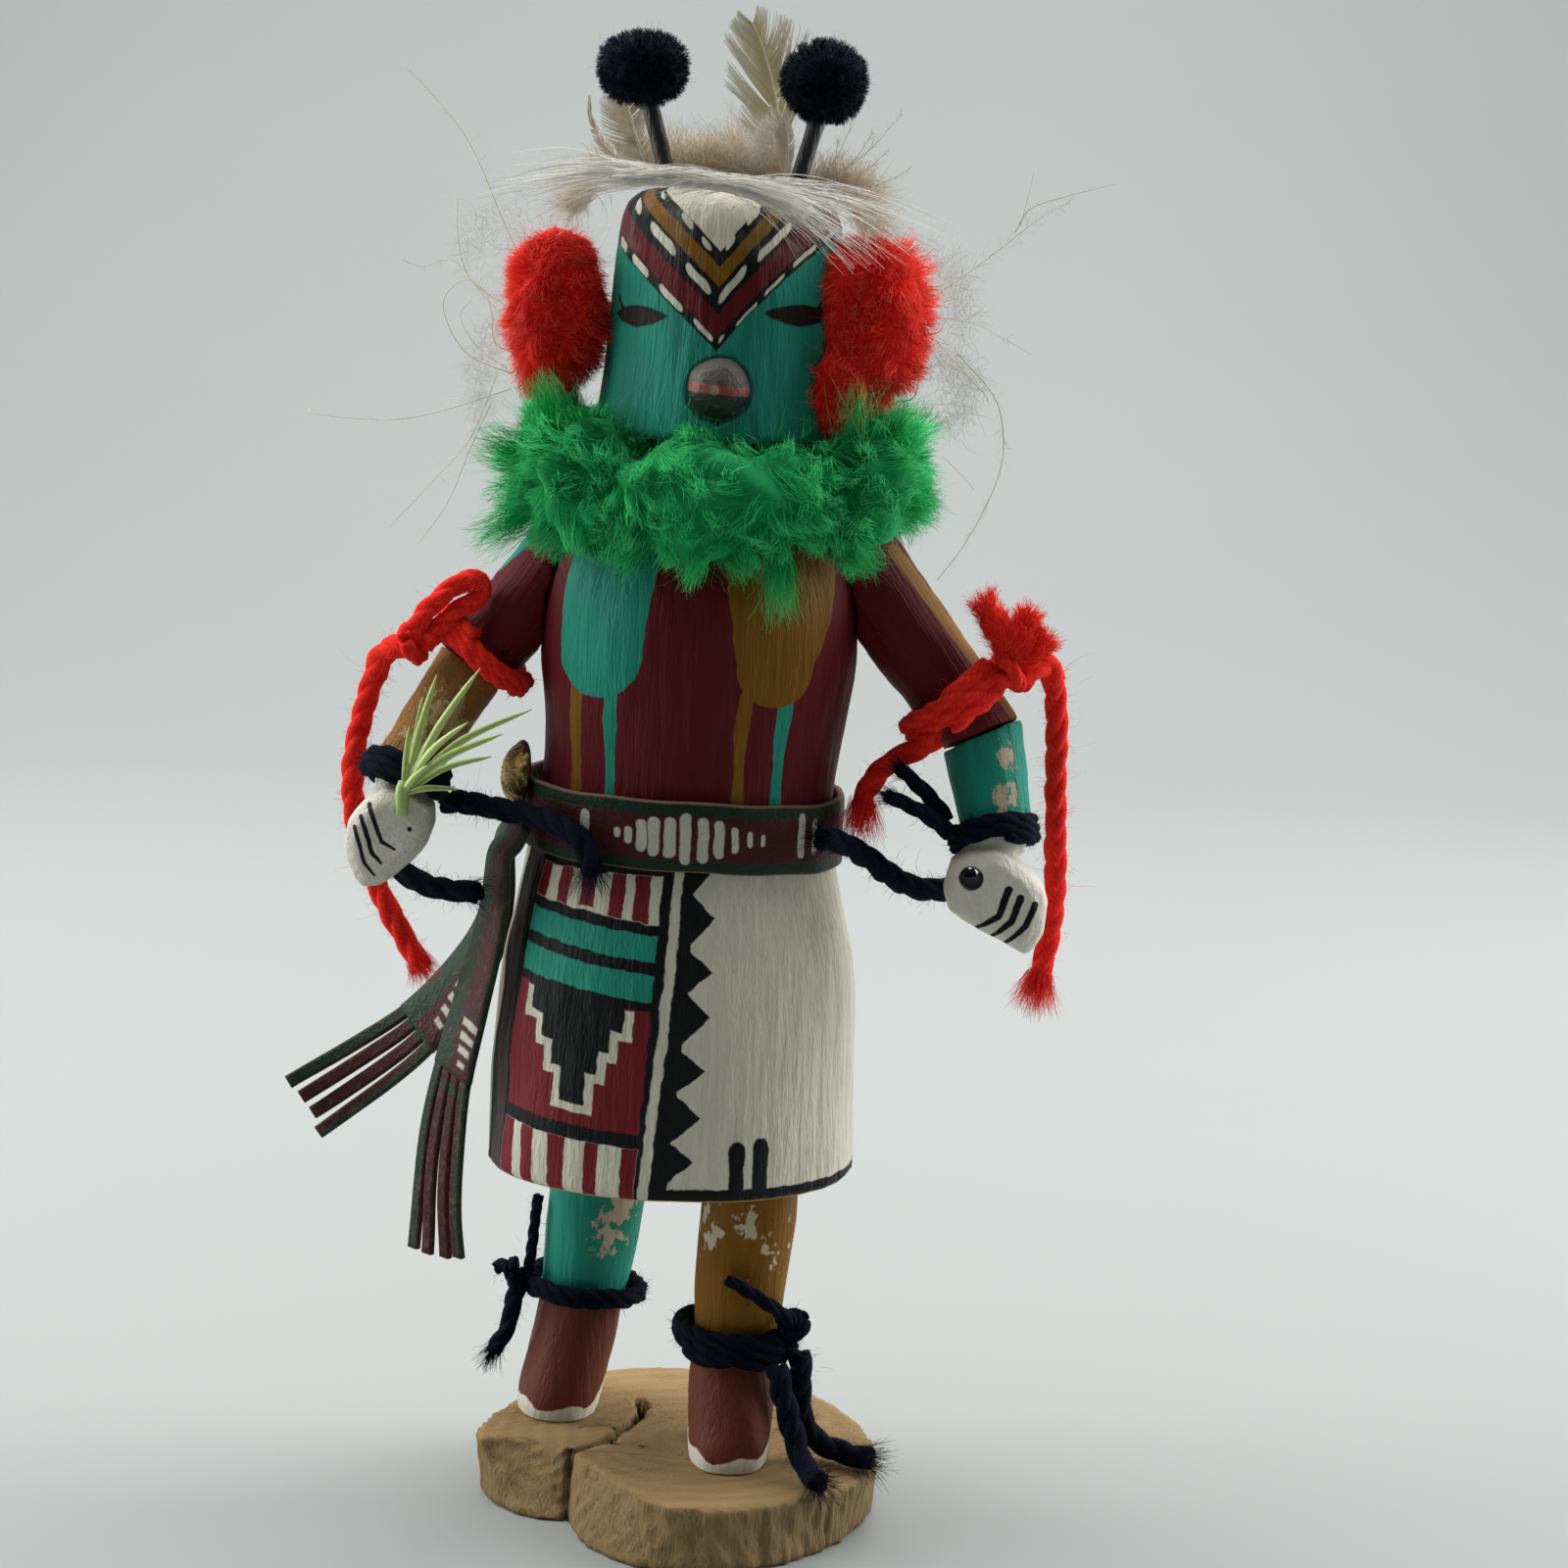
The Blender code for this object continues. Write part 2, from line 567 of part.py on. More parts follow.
def make_belt():
    """A strap round the waist, a little lower at the figure's left: four rings joined in a closed band."""
    lean = 1.1
    cx, a, b = body_section(BELT_BOTTOM)
    rings = []
    for height, grow in ((BELT_BOTTOM, GAP), (BELT_BOTTOM, GAP + BELT_THICKNESS),
                         (BELT_TOP, GAP + BELT_THICKNESS), (BELT_TOP, GAP)):
        ring = oval(height, cx, 0.0, a + grow, b + grow, 2.1, BELT_SIDES)
        for point in ring:
            point.z -= lean * (point.x - cx) / a
        rings.append(ring)
    bm = bmesh.new()
    rows = [[bm.verts.new(point) for point in ring] for ring in rings]
    join_round(bm, rows)
    place("belt", to_mesh("belt", bm), MAROON, 0.6)


def make_concho():
    """A domed button on the right hip, ridged round its dome."""
    radius, ridges, sides = 7.0, 9, 27
    rings = []
    for reach, rise in ((1.0, 0.0), (1.0, 1.2), (0.8, 3.0), (0.4, 4.4)):
        ring = []
        for side in range(sides):
            angle = math.tau * side / sides
            ridge = 1 + 0.05 * math.cos(ridges * angle) * (0.4 + rise / 5)
            ring.append(Vector((radius * reach * ridge * math.cos(angle),
                                radius * reach * ridge * math.sin(angle), rise)))
        rings.append(ring)
    bm = loft(rings)
    facing = Vector((-0.93, -0.34, 0.12)).normalized()
    turn = facing.to_track_quat("Z", "Y").to_matrix().to_4x4()
    bmesh.ops.transform(bm, matrix=Matrix.Translation((-35.0, -6.0, 152.4)) @ turn, verts=bm.verts)
    place("concho", to_mesh("concho", bm), BRASS, 0.35, 1.0)


def strap(name, rows, fringe_start):
    """A leather strap as a sheet of quads with its end cut into strands, thickened by Solidify."""
    steps = 2 * (len(rows) - 1) + 1
    middles = smooth_line([row[0] for row in rows], steps)
    acrosses = smooth_line([row[1] for row in rows], steps)
    bm = bmesh.new()
    half = SASH_WIDTH / 2
    cut = 2 * fringe_start
    lines = []
    for step, (middle, across) in enumerate(zip(middles, acrosses)):
        across = across.normalized()
        if step <= cut:
            marks = [half * (2 * k / FRINGE_STRANDS - 1) for k in range(FRINGE_STRANDS + 1)]
            verts = [bm.verts.new(middle + across * mark) for mark in marks]
            lines.append([(verts[k], verts[k + 1]) for k in range(FRINGE_STRANDS)])
            continue
        spread = 1.0 + 0.22 * (step - cut) / (steps - cut)
        strands = []
        for k in range(FRINGE_STRANDS):
            centre = half * ((2 * k + 1) / FRINGE_STRANDS - 1) * spread
            reach = half / FRINGE_STRANDS - 0.22
            strands.append((bm.verts.new(middle + across * (centre - reach)),
                            bm.verts.new(middle + across * (centre + reach))))
        lines.append(strands)
    for line, following in zip(lines, lines[1:]):
        for (a, b), (c, d) in zip(line, following):
            bm.faces.new((a, b, d, c))
    obj = place(name, to_mesh(name, bm), MAROON, 0.7)
    solidify = obj.modifiers.new("thickness", "SOLIDIFY")
    solidify.thickness = SASH_THICKNESS * MM
    solidify.offset = 0.0
    return obj


def band_about(centre, direction, inner, thickness, height):
    """A flat-sided ring of wrapped yarn about a limb."""
    direction = Vector(direction).normalized()
    bm = bmesh.new()
    rows = []
    for along, outward in ((-0.5, 0.15), (-0.5, 0.75), (0.0, 1.0), (0.5, 0.75), (0.5, 0.15), (0.0, 0.0)):
        middle = Vector(centre) + direction * height * along
        ring = ring_about(middle, direction, inner + thickness * outward, BAND_SIDES)
        rows.append([bm.verts.new(point) for point in ring])
    join_round(bm, rows)
    return bm


def stub(name, points, radii):
    """A short tapering end of yarn."""
    line = [Vector(point) for point in points]
    directions = [(b - a) for a, b in zip(line, line[1:])]
    directions.append(directions[-1])
    rings = [ring_about(*section, YARN_END_SIDES) for section in zip(line, directions, radii)]
    return place_cutter(name, to_mesh(name, loft(rings)))


def make_bands():
    """The yarn bands of each arm and leg, with the knots, tufts and short ends that are tied in them."""
    right_shoulder, right_elbow, right_wrist = map(Vector, (RIGHT_SHOULDER, RIGHT_ELBOW, RIGHT_WRIST))
    left_shoulder, left_elbow, left_wrist = map(Vector, (LEFT_SHOULDER, LEFT_ELBOW, LEFT_WRIST))
    right_leg_way, left_leg_way = (-1.5, 0.0, -16.0), (-1.0, 0.0, -16.0)
    # name, centre, direction of the limb, inner radius, thickness, height, colour
    bands = (
        ("armband_right", right_shoulder.lerp(right_elbow, 0.86), right_elbow - right_shoulder,
         8.5, 3.2, 6.6, RED),
        ("armband_left", left_shoulder.lerp(left_elbow, 0.80), left_elbow - left_shoulder,
         9.1, 3.4, 8.6, RED),
        ("wristband_right", right_elbow.lerp(right_wrist, 0.90), right_wrist - right_elbow,
         7.2, 2.8, 5.0, NAVY),
        ("wristband_left", left_elbow.lerp(left_wrist, 0.97), left_wrist - left_elbow,
         8.1, 2.6, 5.4, NAVY),
        ("ankle_yarn_right", (-19.1, 16.0, 38.6), right_leg_way, 10.2, 2.4, 5.6, NAVY),
        ("ankle_yarn_left", (13.8, -7.7, 37.2), left_leg_way, 9.7, 3.0, 8.0, NAVY),
    )
    made = {}
    for name, centre, way, inner, thickness, height, colour in bands:
        band = band_about(centre, way, inner, thickness, height)
        made[name] = place(name, to_mesh(name, band), colour, 0.95)
    joins = (
        ("armband_right", "right knot", ((-52.5, -8.5, 179.6), (-56.4, -8.0, 178.2), (-60.4, -6.2, 177.2)),
         (3.4, 4.2, 3.0)),
        ("armband_right", "right tuft", ((-55.0, -8.4, 178.6), (-54.6, -8.6, 185.0), (-49.2, -8.2, 190.8)),
         (3.2, 4.8, 3.6)),
        ("armband_left", "left knot", ((62.8, -9.1, 175.6), (65.6, -8.4, 179.4), (67.4, -6.4, 183.2)),
         (3.6, 4.6, 3.4)),
        ("armband_left", "left tuft low", ((65.0, -7.8, 179.6), (69.6, -7.2, 185.6), (71.0, -6.8, 191.0)),
         (3.8, 4.6, 3.2)),
        ("armband_left", "left tuft high", ((64.4, -8.0, 180.6), (61.0, -8.0, 188.2), (55.6, -7.6, 194.2)),
         (3.8, 4.8, 3.4)),
        ("armband_left", "left tail", ((48.9, -11.0, 164.3), (44.4, -7.8, 160.8), (39.4, -5.6, 157.4),
                                       (35.3, -6.0, 152.6), (34.8, -7.4, 147.2)), (2.2, 2.5, 2.6, 2.6, 2.4)),
        ("wristband_left", "wrist tail a", ((51.6, -10.6, 147.6), (47.4, -12.4, 153.0), (41.4, -13.4, 158.4)),
         (2.2, 2.0, 1.7)),
        ("wristband_left", "wrist tail b", ((52.4, -13.2, 145.4), (47.2, -15.2, 149.4), (39.2, -15.8, 153.0)),
         (2.2, 2.0, 1.6)),
        ("ankle_yarn_right", "ankle knot", ((-30.8, 12.8, 39.4), (-33.6, 12.2, 41.4), (-38.0, 12.0, 42.8)),
         (2.2, 2.6, 1.8)),
        ("ankle_yarn_right", "ankle tail", ((-32.4, 12.4, 40.6), (-34.0, 12.0, 35.6), (-35.2, 12.0, 29.4),
                                            (-38.2, 12.0, 24.0)), (2.2, 2.4, 2.3, 2.0)),
        ("ankle_yarn_right", "ankle strand", ((-31.4, 12.8, 39.6), (-30.6, 12.8, 47.0), (-29.6, 13.2, 58.6)),
         (1.6, 1.4, 1.2)),
        ("ankle_yarn_left", "left ankle knot", ((24.4, -14.6, 38.0), (25.8, -15.0, 41.6), (20.8, -19.0, 47.0),
                                                (11.6, -20.0, 52.6)), (2.2, 3.0, 2.0, 1.2)),
    )
    for owner, name, points, radii in joins:
        boolean(made[owner], stub(name, points, radii), "UNION")


def cord_mesh(name, points, diameter):
    """A round cord along a route: a curve object, turned into a mesh with its caps welded."""
    curve = bpy.data.curves.new(name, "CURVE")
    curve.dimensions = "3D"
    curve.bevel_depth = diameter / 2 * MM
    curve.bevel_resolution = 2
    curve.use_fill_caps = True
    line = even_line(points, 2.2 * diameter)
    spline = curve.splines.new("POLY")
    spline.points.add(len(line) - 1)
    for knot, point in zip(spline.points, line):
        knot.co = (*to_metres(point), 1.0)
    obj = bpy.data.objects.new(name, curve)
    part_collection.objects.link(obj)
    obj.data.materials.append(material(name, RED if diameter == RED_YARN else NAVY, 0.95))
    return obj


def make_cords():
    for name, route in CORD_ROUTES.items():
        cord_mesh(name, route, RED_YARN if name.startswith("armband") else NAVY_YARN)


def blade(name, points, widths, across, thickness, colour, bow=0.0):
    """A feather's vane: a strip of quads along a line, bowed across its width and thickened by Solidify."""
    count = 7
    middles = smooth_line(points, count)
    reaches = smooth_line([(width, 0, 0) for width in widths], count)
    across = Vector(across).normalized()
    bm = bmesh.new()
    rows = []
    for middle, reach in zip(middles, reaches):
        half = max(reach.x, 0.35)
        dip = Vector((0, bow * half, 0))
        rows.append([bm.verts.new(middle - across * half + dip), bm.verts.new(middle),
                     bm.verts.new(middle + across * half + dip)])
    for row, after in zip(rows, rows[1:]):
        bm.faces.new((row[0], row[1], after[1], after[0]))
        bm.faces.new((row[1], row[2], after[2], after[1]))
    obj = place(name, to_mesh(name, bm), colour, 0.9)
    solidify = obj.modifiers.new("thickness", "SOLIDIFY")
    solidify.thickness = thickness * MM
    solidify.offset = 0.0
    return obj


def make_feathers():
    thin = FEATHER_THICKNESS
    blade("feather_tall", ((14.2, 9.0, 271.2), (13.6, 9.0, 278.0), (12.4, 9.0, 286.0), (9.8, 8.6, 294.0),
                           (7.0, 8.0, 301.0), (3.8, 7.6, 306.6)),
          (1.2, 3.0, 6.0, 8.0, 6.0, 1.6), (1, 0, 0.25), thin, FEATHER, 0.12)
    blade("feather_curled",
          ((-13.2, 7.0, 271.4), (-15.6, 7.0, 278.0), (-18.0, 6.6, 284.0), (-21.6, 6.0, 288.8)),
          (2.4, 4.6, 4.8, 1.2), (1, 0, 0.3), thin, FEATHER, 0.15)
    blade("feather_spoon", ((14.0, 2.6, 271.2), (13.4, 2.6, 277.0), (12.6, 2.2, 281.6), (12.0, 1.6, 285.0)),
          (1.4, 3.0, 3.4, 1.4), (1, 0, 0.1), thin, FEATHER, 0.2)
    blade("feather_brow",
          ((-38.0, -18.0, 272.6), (-26.0, -23.4, 273.2), (-10.0, -26.4, 273.2), (6.0, -27.4, 272.2),
           (20.0, -25.6, 269.4), (33.0, -21.6, 267.2), (43.4, -17.0, 265.8)),
          (0.6, 2.0, 2.8, 3.2, 4.0, 2.4, 0.6), (0.1, -0.1, 1), thin, FEATHER)
    for name, tuft in (
        ("feather_down", ball((-0.6, 8.6, 278.6), (9.8, 6.0, 7.4), 12, 8, 1.2, 5)),
        ("feather_fluff", ball((25.0, 5.6, 276.8), (7.4, 5.6, 5.6), 11, 7, 0.9, 6)),
    ):
        boolean(place(name, to_mesh(name, tuft), FEATHER, 0.95), head_clearance, "DIFFERENCE")
    # The feathers tied behind each ear: a broad vane and the bare shafts that stand out past it
    vane_steps = ((0.0, -1.0, 14.0), (9.0, 1.0, 8.0), (13.0, 2.0, -2.0), (15.0, 2.0, -16.0))
    for side, root, tips in (
        ("right", (-27.0, 10.0, 248.0), ((-62.0, 12.0, 290.0), (-80.0, 12.0, 222.6), (-61.0, 12.0, 200.4))),
        ("left", (32.0, 9.6, 247.0), ((81.0, 12.0, 275.0), (56.0, 12.0, 211.0))),
    ):
        outward = math.copysign(1.0, root[0])
        line = [Vector(root) + Vector((outward * out, back, up)) for out, back, up in vane_steps]
        vane = blade(f"feather_side_{side}", line, (2.0, 6.4, 8.4, 3.4), (1, 0, 0.2), thin, WHITE, 0.05)
        start = Vector((root[0] + outward * 7.0, 11.2, root[2] + 2.0))
        for number, tip in enumerate(tips):
            middle = start.lerp(Vector(tip), 0.5) + Vector((0, 0, 2.0))
            shaft = stub(f"shaft {side} {number}", (start, middle, tip), (0.6, 0.5, 0.35))
            boolean(vane, shaft, "UNION")


def make_sprig():
    """Narrow leaves that spread from the notch in the right fist."""
    root = Vector((-56.4, -23.0, 149.2))
    tips = ((-50.5, -20.0, 173.8), (-53.4, -18.0, 169.0), (-41.6, -24.0, 176.0), (-43.4, -26.0, 165.6),
            (-36.8, -24.0, 163.2), (-31.4, -22.0, 168.0), (-45.2, -23.0, 151.6))
    stem = loft([ring_about(root + Vector((0, 0, height)), (0, 0, 1), radius, 10)
                 for height, radius in ((0.0, 1.2), (1.6, 1.9), (3.2, 1.4))])
    sprig = place("sprig", to_mesh("sprig", stem), LEAF, 0.5)
    for number, tip in enumerate(tips):
        turn = math.tau * number / len(tips)
        start = root + Vector((0.4 * math.cos(turn), 0.4 * math.sin(turn), 1.2 + 0.13 * number))
        bend = start.lerp(Vector(tip), 0.45) + Vector((0.0, -0.6, 2.2 if tip[2] > 155 else 0.4))
        boolean(sprig, stub(f"leaf {number}", (start, bend, tip), (0.9, 0.95, 0.3)), "UNION")


clear_scene()
part_collection = new_collection("kachina doll")
cutter_collection = new_collection("cutters")

torso_clearance = place_cutter("torso clearance", to_mesh("torso clearance", loft(torso_rings(GAP))))
head_clearance = turned("head clearance", head_profile(GAP), HEAD_CENTRE, HEAD_SIDES)
cutter_collection.objects.link(head_clearance)
head_clearance.hide_render = True
head_clearance.display_type = "WIRE"
ruff_clearance = place_cutter("ruff clearance", to_mesh("ruff clearance", ruff_bmesh(GAP)))
right_arm_clearance = place_cutter("right arm clearance", to_mesh("right arm clearance", upper_arm(
    RIGHT_SHOULDER, RIGHT_ELBOW, RIGHT_WRIST, *RIGHT_ARM_RADII[:2], GAP)))
left_arm_clearance = place_cutter("left arm clearance", to_mesh("left arm clearance", upper_arm(
    LEFT_SHOULDER, LEFT_ELBOW, LEFT_WRIST, *LEFT_ARM_RADII[:2], GAP)))

make_base()
make_body()
make_head()
make_arms()
make_antennae()
make_ears()
make_ruff()
make_belt()
make_concho()
strap("sash_back", SASH_BACK, SASH_BACK_FRINGE_START)
strap("sash_front", SASH_FRONT, SASH_FRONT_FRINGE_START)
make_bands()
make_cords()
make_feathers()
make_sprig()
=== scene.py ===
"""Dresses the carved and painted doll: painted wood, wool, yarn, leather, brass and feathers.

Lengths are in millimetres until make_piece() turns them into metres. The figure faces -Y and stands along +Z,
so its own left is at +X. A surface that carries a painted pattern has a UV map named Flat, in millimetres, and
each fibre has one named Fibre: how far along it is from its root, and a number that differs between locks.
"""
import math

import bpy
import numpy as np
from mathutils import Matrix, Vector


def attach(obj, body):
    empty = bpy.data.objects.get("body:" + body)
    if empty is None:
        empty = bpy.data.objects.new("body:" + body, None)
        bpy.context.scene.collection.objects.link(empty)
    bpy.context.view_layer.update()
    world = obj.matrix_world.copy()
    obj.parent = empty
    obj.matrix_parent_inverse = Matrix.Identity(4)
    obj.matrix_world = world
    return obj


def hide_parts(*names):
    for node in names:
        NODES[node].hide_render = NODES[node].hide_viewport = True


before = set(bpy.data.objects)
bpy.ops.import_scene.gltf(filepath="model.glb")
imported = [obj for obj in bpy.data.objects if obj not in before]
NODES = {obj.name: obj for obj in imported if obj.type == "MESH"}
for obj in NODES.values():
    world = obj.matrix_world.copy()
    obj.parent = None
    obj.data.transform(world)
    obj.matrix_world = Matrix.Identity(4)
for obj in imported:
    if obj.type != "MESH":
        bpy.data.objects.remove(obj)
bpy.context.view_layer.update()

MM = 0.001
ROOT = "root"
TAU = math.tau


# Vectors and lines

def unit(vectors):
    vectors = np.asarray(vectors, float)
    return vectors / np.maximum(np.linalg.norm(vectors, axis=-1, keepdims=True), 1e-9)


def dot(a, b):
    return np.sum(np.asarray(a) * np.asarray(b), axis=-1, keepdims=True)


def lerp(a, b, t):
    return np.asarray(a, float) * (1 - t) + np.asarray(b, float) * t


def smooth_step(x, low, high):
    t = np.clip((np.asarray(x, float) - low) / (high - low), 0, 1)
    return t * t * (3 - 2 * t)


def spline(points, count, closed=False):
    """count points on a Catmull-Rom curve through the given ones, evenly spaced along it."""
    points = np.asarray(points, float)
    spans = len(points) if closed else len(points) - 1
    where = np.linspace(0, spans, 24 * spans + 1)
    index = np.minimum(where.astype(int), spans - 1)
    t = (where - index)[:, None]

    def at(i):
        return points[i % len(points)] if closed else points[np.clip(i, 0, len(points) - 1)]

    a, b, c, d = (at(index + k) for k in (-1, 0, 1, 2))
    fine = 0.5 * (2 * b + (c - a) * t + (2 * a - 5 * b + 4 * c - d) * t ** 2 + (3 * b - a - 3 * c + d) * t ** 3)
    walked = np.concatenate([[0], np.cumsum(np.linalg.norm(np.diff(fine, axis=0), axis=1))])
    wanted = np.linspace(0, walked[-1], count, endpoint=not closed)
    return np.stack([np.interp(wanted, walked, fine[:, k]) for k in range(fine.shape[1])], axis=1)


def length_of(line):
    return float(np.linalg.norm(np.diff(line, axis=0), axis=1).sum())


def frames(line, first=None):
    """The tangent, side and up at each point of a line, turned as little as the line allows."""
    tangent = unit(np.gradient(np.asarray(line, float), axis=0))
    if first is None:
        first = (0, 0, 1) if abs(tangent[0][2]) < 0.9 else (0, 1, 0)
    side = np.empty_like(tangent)
    side[0] = unit(np.cross(first, tangent[0]))
    for i in range(1, len(line)):
        side[i] = unit(side[i - 1] - tangent[i] * np.dot(side[i - 1], tangent[i]))
    return tangent, side, np.cross(tangent, side)


def ripple(points, wavelength, seed, waves=9):
    """A smooth number from about -1 to 1 at each point."""
    rng = np.random.default_rng(seed)
    ways = unit(rng.normal(size=(waves, 3))) * (TAU / wavelength) * rng.uniform(0.6, 1.5, (waves, 1))
    phases = rng.uniform(0, TAU, waves)
    return np.sin(np.asarray(points) @ ways.T + phases).sum(axis=1) / math.sqrt(waves)


def scattered(seed, count):
    """count points spread evenly over a unit ball's surface, in a fixed but jittered order."""
    rng = np.random.default_rng(seed)
    turn = np.arange(count) * math.pi * (3 - math.sqrt(5)) + rng.uniform(0, 0.5, count)
    height = 1 - 2 * (np.arange(count) + 0.5) / count
    flat = np.sqrt(1 - height ** 2)
    return np.stack([flat * np.cos(turn), flat * np.sin(turn), height], axis=1)


# Meshes

def quads(rows, columns, closed=True):
    """Faces between the rows of a lattice of rows x columns points."""
    across = columns if closed else columns - 1
    row, column = np.meshgrid(np.arange(rows - 1), np.arange(across), indexing="ij")
    after = (column + 1) % columns
    corners = (row * columns + column, row * columns + after, (row + 1) * columns + after, (row + 1) * columns + column)
    return np.stack(corners, axis=-1).reshape(-1, 4)


class Shell:
    """The points, faces and surface coordinates of one piece."""

    def __init__(self):
        self.points, self.faces, self.flat, self.flat_faces, self.normals, self.slots = [], [], [], [], [], []
        self.count = self.flat_count = 0

    def add(self, points, faces, flat=None, flat_faces=None, normals=None, slot=0):
        points = np.asarray(points, float).reshape(-1, 3)
        flat = np.zeros((len(points), 2)) if flat is None else np.asarray(flat, float).reshape(-1, 2)
        normals = np.zeros_like(points) if normals is None else normals
        faces = faces if isinstance(faces, list) else [faces]
        flat_faces = faces if flat_faces is None else flat_faces
        for face, on in zip(faces, flat_faces if isinstance(flat_faces, list) else [flat_faces]):
            self.faces.append(np.asarray(face) + self.count)
            self.flat_faces.append(np.asarray(on) + self.flat_count)
            self.slots.append(np.full(len(face), slot))
        self.points.append(points)
        self.flat.append(flat)
        self.normals.append(normals)
        self.count += len(points)
        self.flat_count += len(flat)
        return self

    def rings(self, rings, flat=None, closed=True, caps=True, slot=0):
        """A skin through rings of as many points each. flat has one more column than a closed ring."""
        rings = np.asarray(rings, float)
        rows, columns = rings.shape[:2]
        points = rings.reshape(-1, 3)
        faces = quads(rows, columns, closed)
        if flat is None:
            flat_points, on = np.zeros((len(points), 2)), faces
        elif closed:
            flat_points, on = np.asarray(flat, float).reshape(-1, 2), quads(rows, columns + 1, closed=False)
        else:
            flat_points, on = np.asarray(flat, float).reshape(-1, 2), faces
        all_faces, all_on = [faces], [on]
        if caps and closed:
            start = len(points)
            points = np.vstack([points, rings[0].mean(axis=0), rings[-1].mean(axis=0)])
            around = np.arange(columns)
            after = (around + 1) % columns
            last = (rows - 1) * columns
            for centre, first, second in ((start, after, around), (start + 1, last + around, last + after)):
                all_faces.append(np.stack([np.full(columns, centre), first, second], axis=1))
            flat_start = len(flat_points)
            width = columns if flat is None else columns + 1
            low_flat, high_flat = flat_points[:width].mean(axis=0), flat_points[(rows - 1) * width:][:width].mean(axis=0)
            flat_points = np.vstack([flat_points, low_flat, high_flat])
            step = around + 1 if flat is not None else after
            last = (rows - 1) * width
            for centre, first, second in ((flat_start, step, around), (flat_start + 1, last + around, last + step)):
                all_on.append(np.stack([np.full(columns, centre), first, second], axis=1))
        return self.add(points, all_faces, flat_points, all_on, slot=slot)

    def tube(self, line, radius, sides=8, turns=0.0, flatten=1.0, caps=True, flat=False, slot=0):
        """A round or flattened tube along a line. radius is one number or one for each point."""
        line = np.asarray(line, float)
        _, side, up = frames(line)
        radius = np.broadcast_to(np.asarray(radius, float), len(line))
        angles = np.linspace(0, TAU, sides, endpoint=False)[None, :] + np.linspace(0, TAU * turns, len(line))[:, None]
        rings = line[:, None] + radius[:, None, None] * (
            np.cos(angles)[..., None] * side[:, None] + flatten * np.sin(angles)[..., None] * up[:, None])
        spread = None
        if flat:
            walked = np.concatenate([[0], np.cumsum(np.linalg.norm(np.diff(line, axis=0), axis=1))])
            around = np.linspace(0, 1, sides + 1)
            spread = np.stack(np.broadcast_arrays(around[None, :], walked[:, None]), axis=-1)
        return self.rings(rings, spread, caps=caps, slot=slot)

    def fibres(self, lines, width, facing=None, shade=None, taper=0.25, slot=0):
        """A thin ribbon along each of lines, an array of fibres x points x 3, narrowing to its tip."""
        lines = np.asarray(lines, float)
        count, steps = lines.shape[:2]
        along = np.gradient(lines, axis=1)
        rng = np.random.default_rng(count)
        facing = unit(rng.normal(size=(count, 3))) if facing is None else facing
        across = unit(np.cross(along, np.broadcast_to(facing[:, None], along.shape)))
        where = np.linspace(0, 1, steps)
        narrow = (1 - (1 - taper) * where ** 1.5)[None, :, None]
        width = np.broadcast_to(np.asarray(width, float), count)[:, None, None]
        sides = np.stack([lines - across * narrow * width / 2, lines + across * narrow * width / 2], axis=2)
        step = np.arange(steps - 1)[None, :]
        base = (np.arange(count) * steps * 2)[:, None]
        low = base + step * 2
        faces = np.stack([low, low + 1, low + 3, low + 2], axis=-1).reshape(-1, 4)
        shade = rng.uniform(size=count) if shade is None else shade
        flat = np.stack(np.broadcast_arrays(where[None, :, None], shade[:, None, None]), axis=-1)
        flat = np.broadcast_to(flat, (count, steps, 2, 2)).reshape(-1, 2)
        normals = np.broadcast_to(facing[:, None, None], (count, steps, 2, 3)).reshape(-1, 3)
        return self.add(sides.reshape(-1, 3), faces, flat, normals=normals, slot=slot)

    def move(self, change):
        """Replaces the points by change(points)."""
        self.points = [change(np.vstack(self.points))]
        return self

    def piece(self, name, materials, slot, replaces=(), map_name="Flat", soft_light=False):
        return make_piece(name, self, materials, slot, replaces, map_name, soft_light)


def make_piece(name, shell, materials, slot, replaces, map_name, soft_light):
    points = np.vstack(shell.points) * MM
    corners = np.concatenate([face.ravel() for face in shell.faces])
    on = np.concatenate([face.ravel() for face in shell.flat_faces])
    sides = np.concatenate([np.full(len(face), face.shape[1]) for face in shell.faces])
    mesh = bpy.data.meshes.new(name)
    mesh.vertices.add(len(points))
    mesh.vertices.foreach_set("co", points.astype(np.float32).ravel())
    mesh.loops.add(len(corners))
    mesh.loops.foreach_set("vertex_index", corners.astype(np.int32))
    mesh.polygons.add(len(sides))
    mesh.polygons.foreach_set("loop_start", np.concatenate([[0], np.cumsum(sides)[:-1]]).astype(np.int32))
    mesh.polygons.foreach_set("material_index", np.concatenate(shell.slots).astype(np.int32))
    mesh.update(calc_edges=True)
    mesh.shade_smooth()
    layer = mesh.uv_layers.new(name=map_name)
    layer.data.foreach_set("uv", np.vstack(shell.flat)[on].astype(np.float32).ravel())
    for material in materials if isinstance(materials, (list, tuple)) else [materials]:
        mesh.materials.append(material)
    if soft_light:
        own = np.empty(len(points) * 3, np.float32)
        mesh.vertices.foreach_get("normal", own)
        given = np.vstack(shell.normals)
        bare = np.linalg.norm(given, axis=1) < 0.1
        given[bare] = own.reshape(-1, 3)[bare]
        mesh.normals_split_custom_set_from_vertices(given.astype(np.float32))
    return place(name, mesh, slot, replaces)


def place(name, mesh, slot, replaces=()):
    """Links a mesh as a piece that rides with the figure and stands for the nodes it replaces."""
    piece = bpy.data.objects.new(name, mesh)
    bpy.context.scene.collection.objects.link(piece)
    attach(piece, ROOT)
    if replaces:
        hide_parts(*replaces)
    return piece


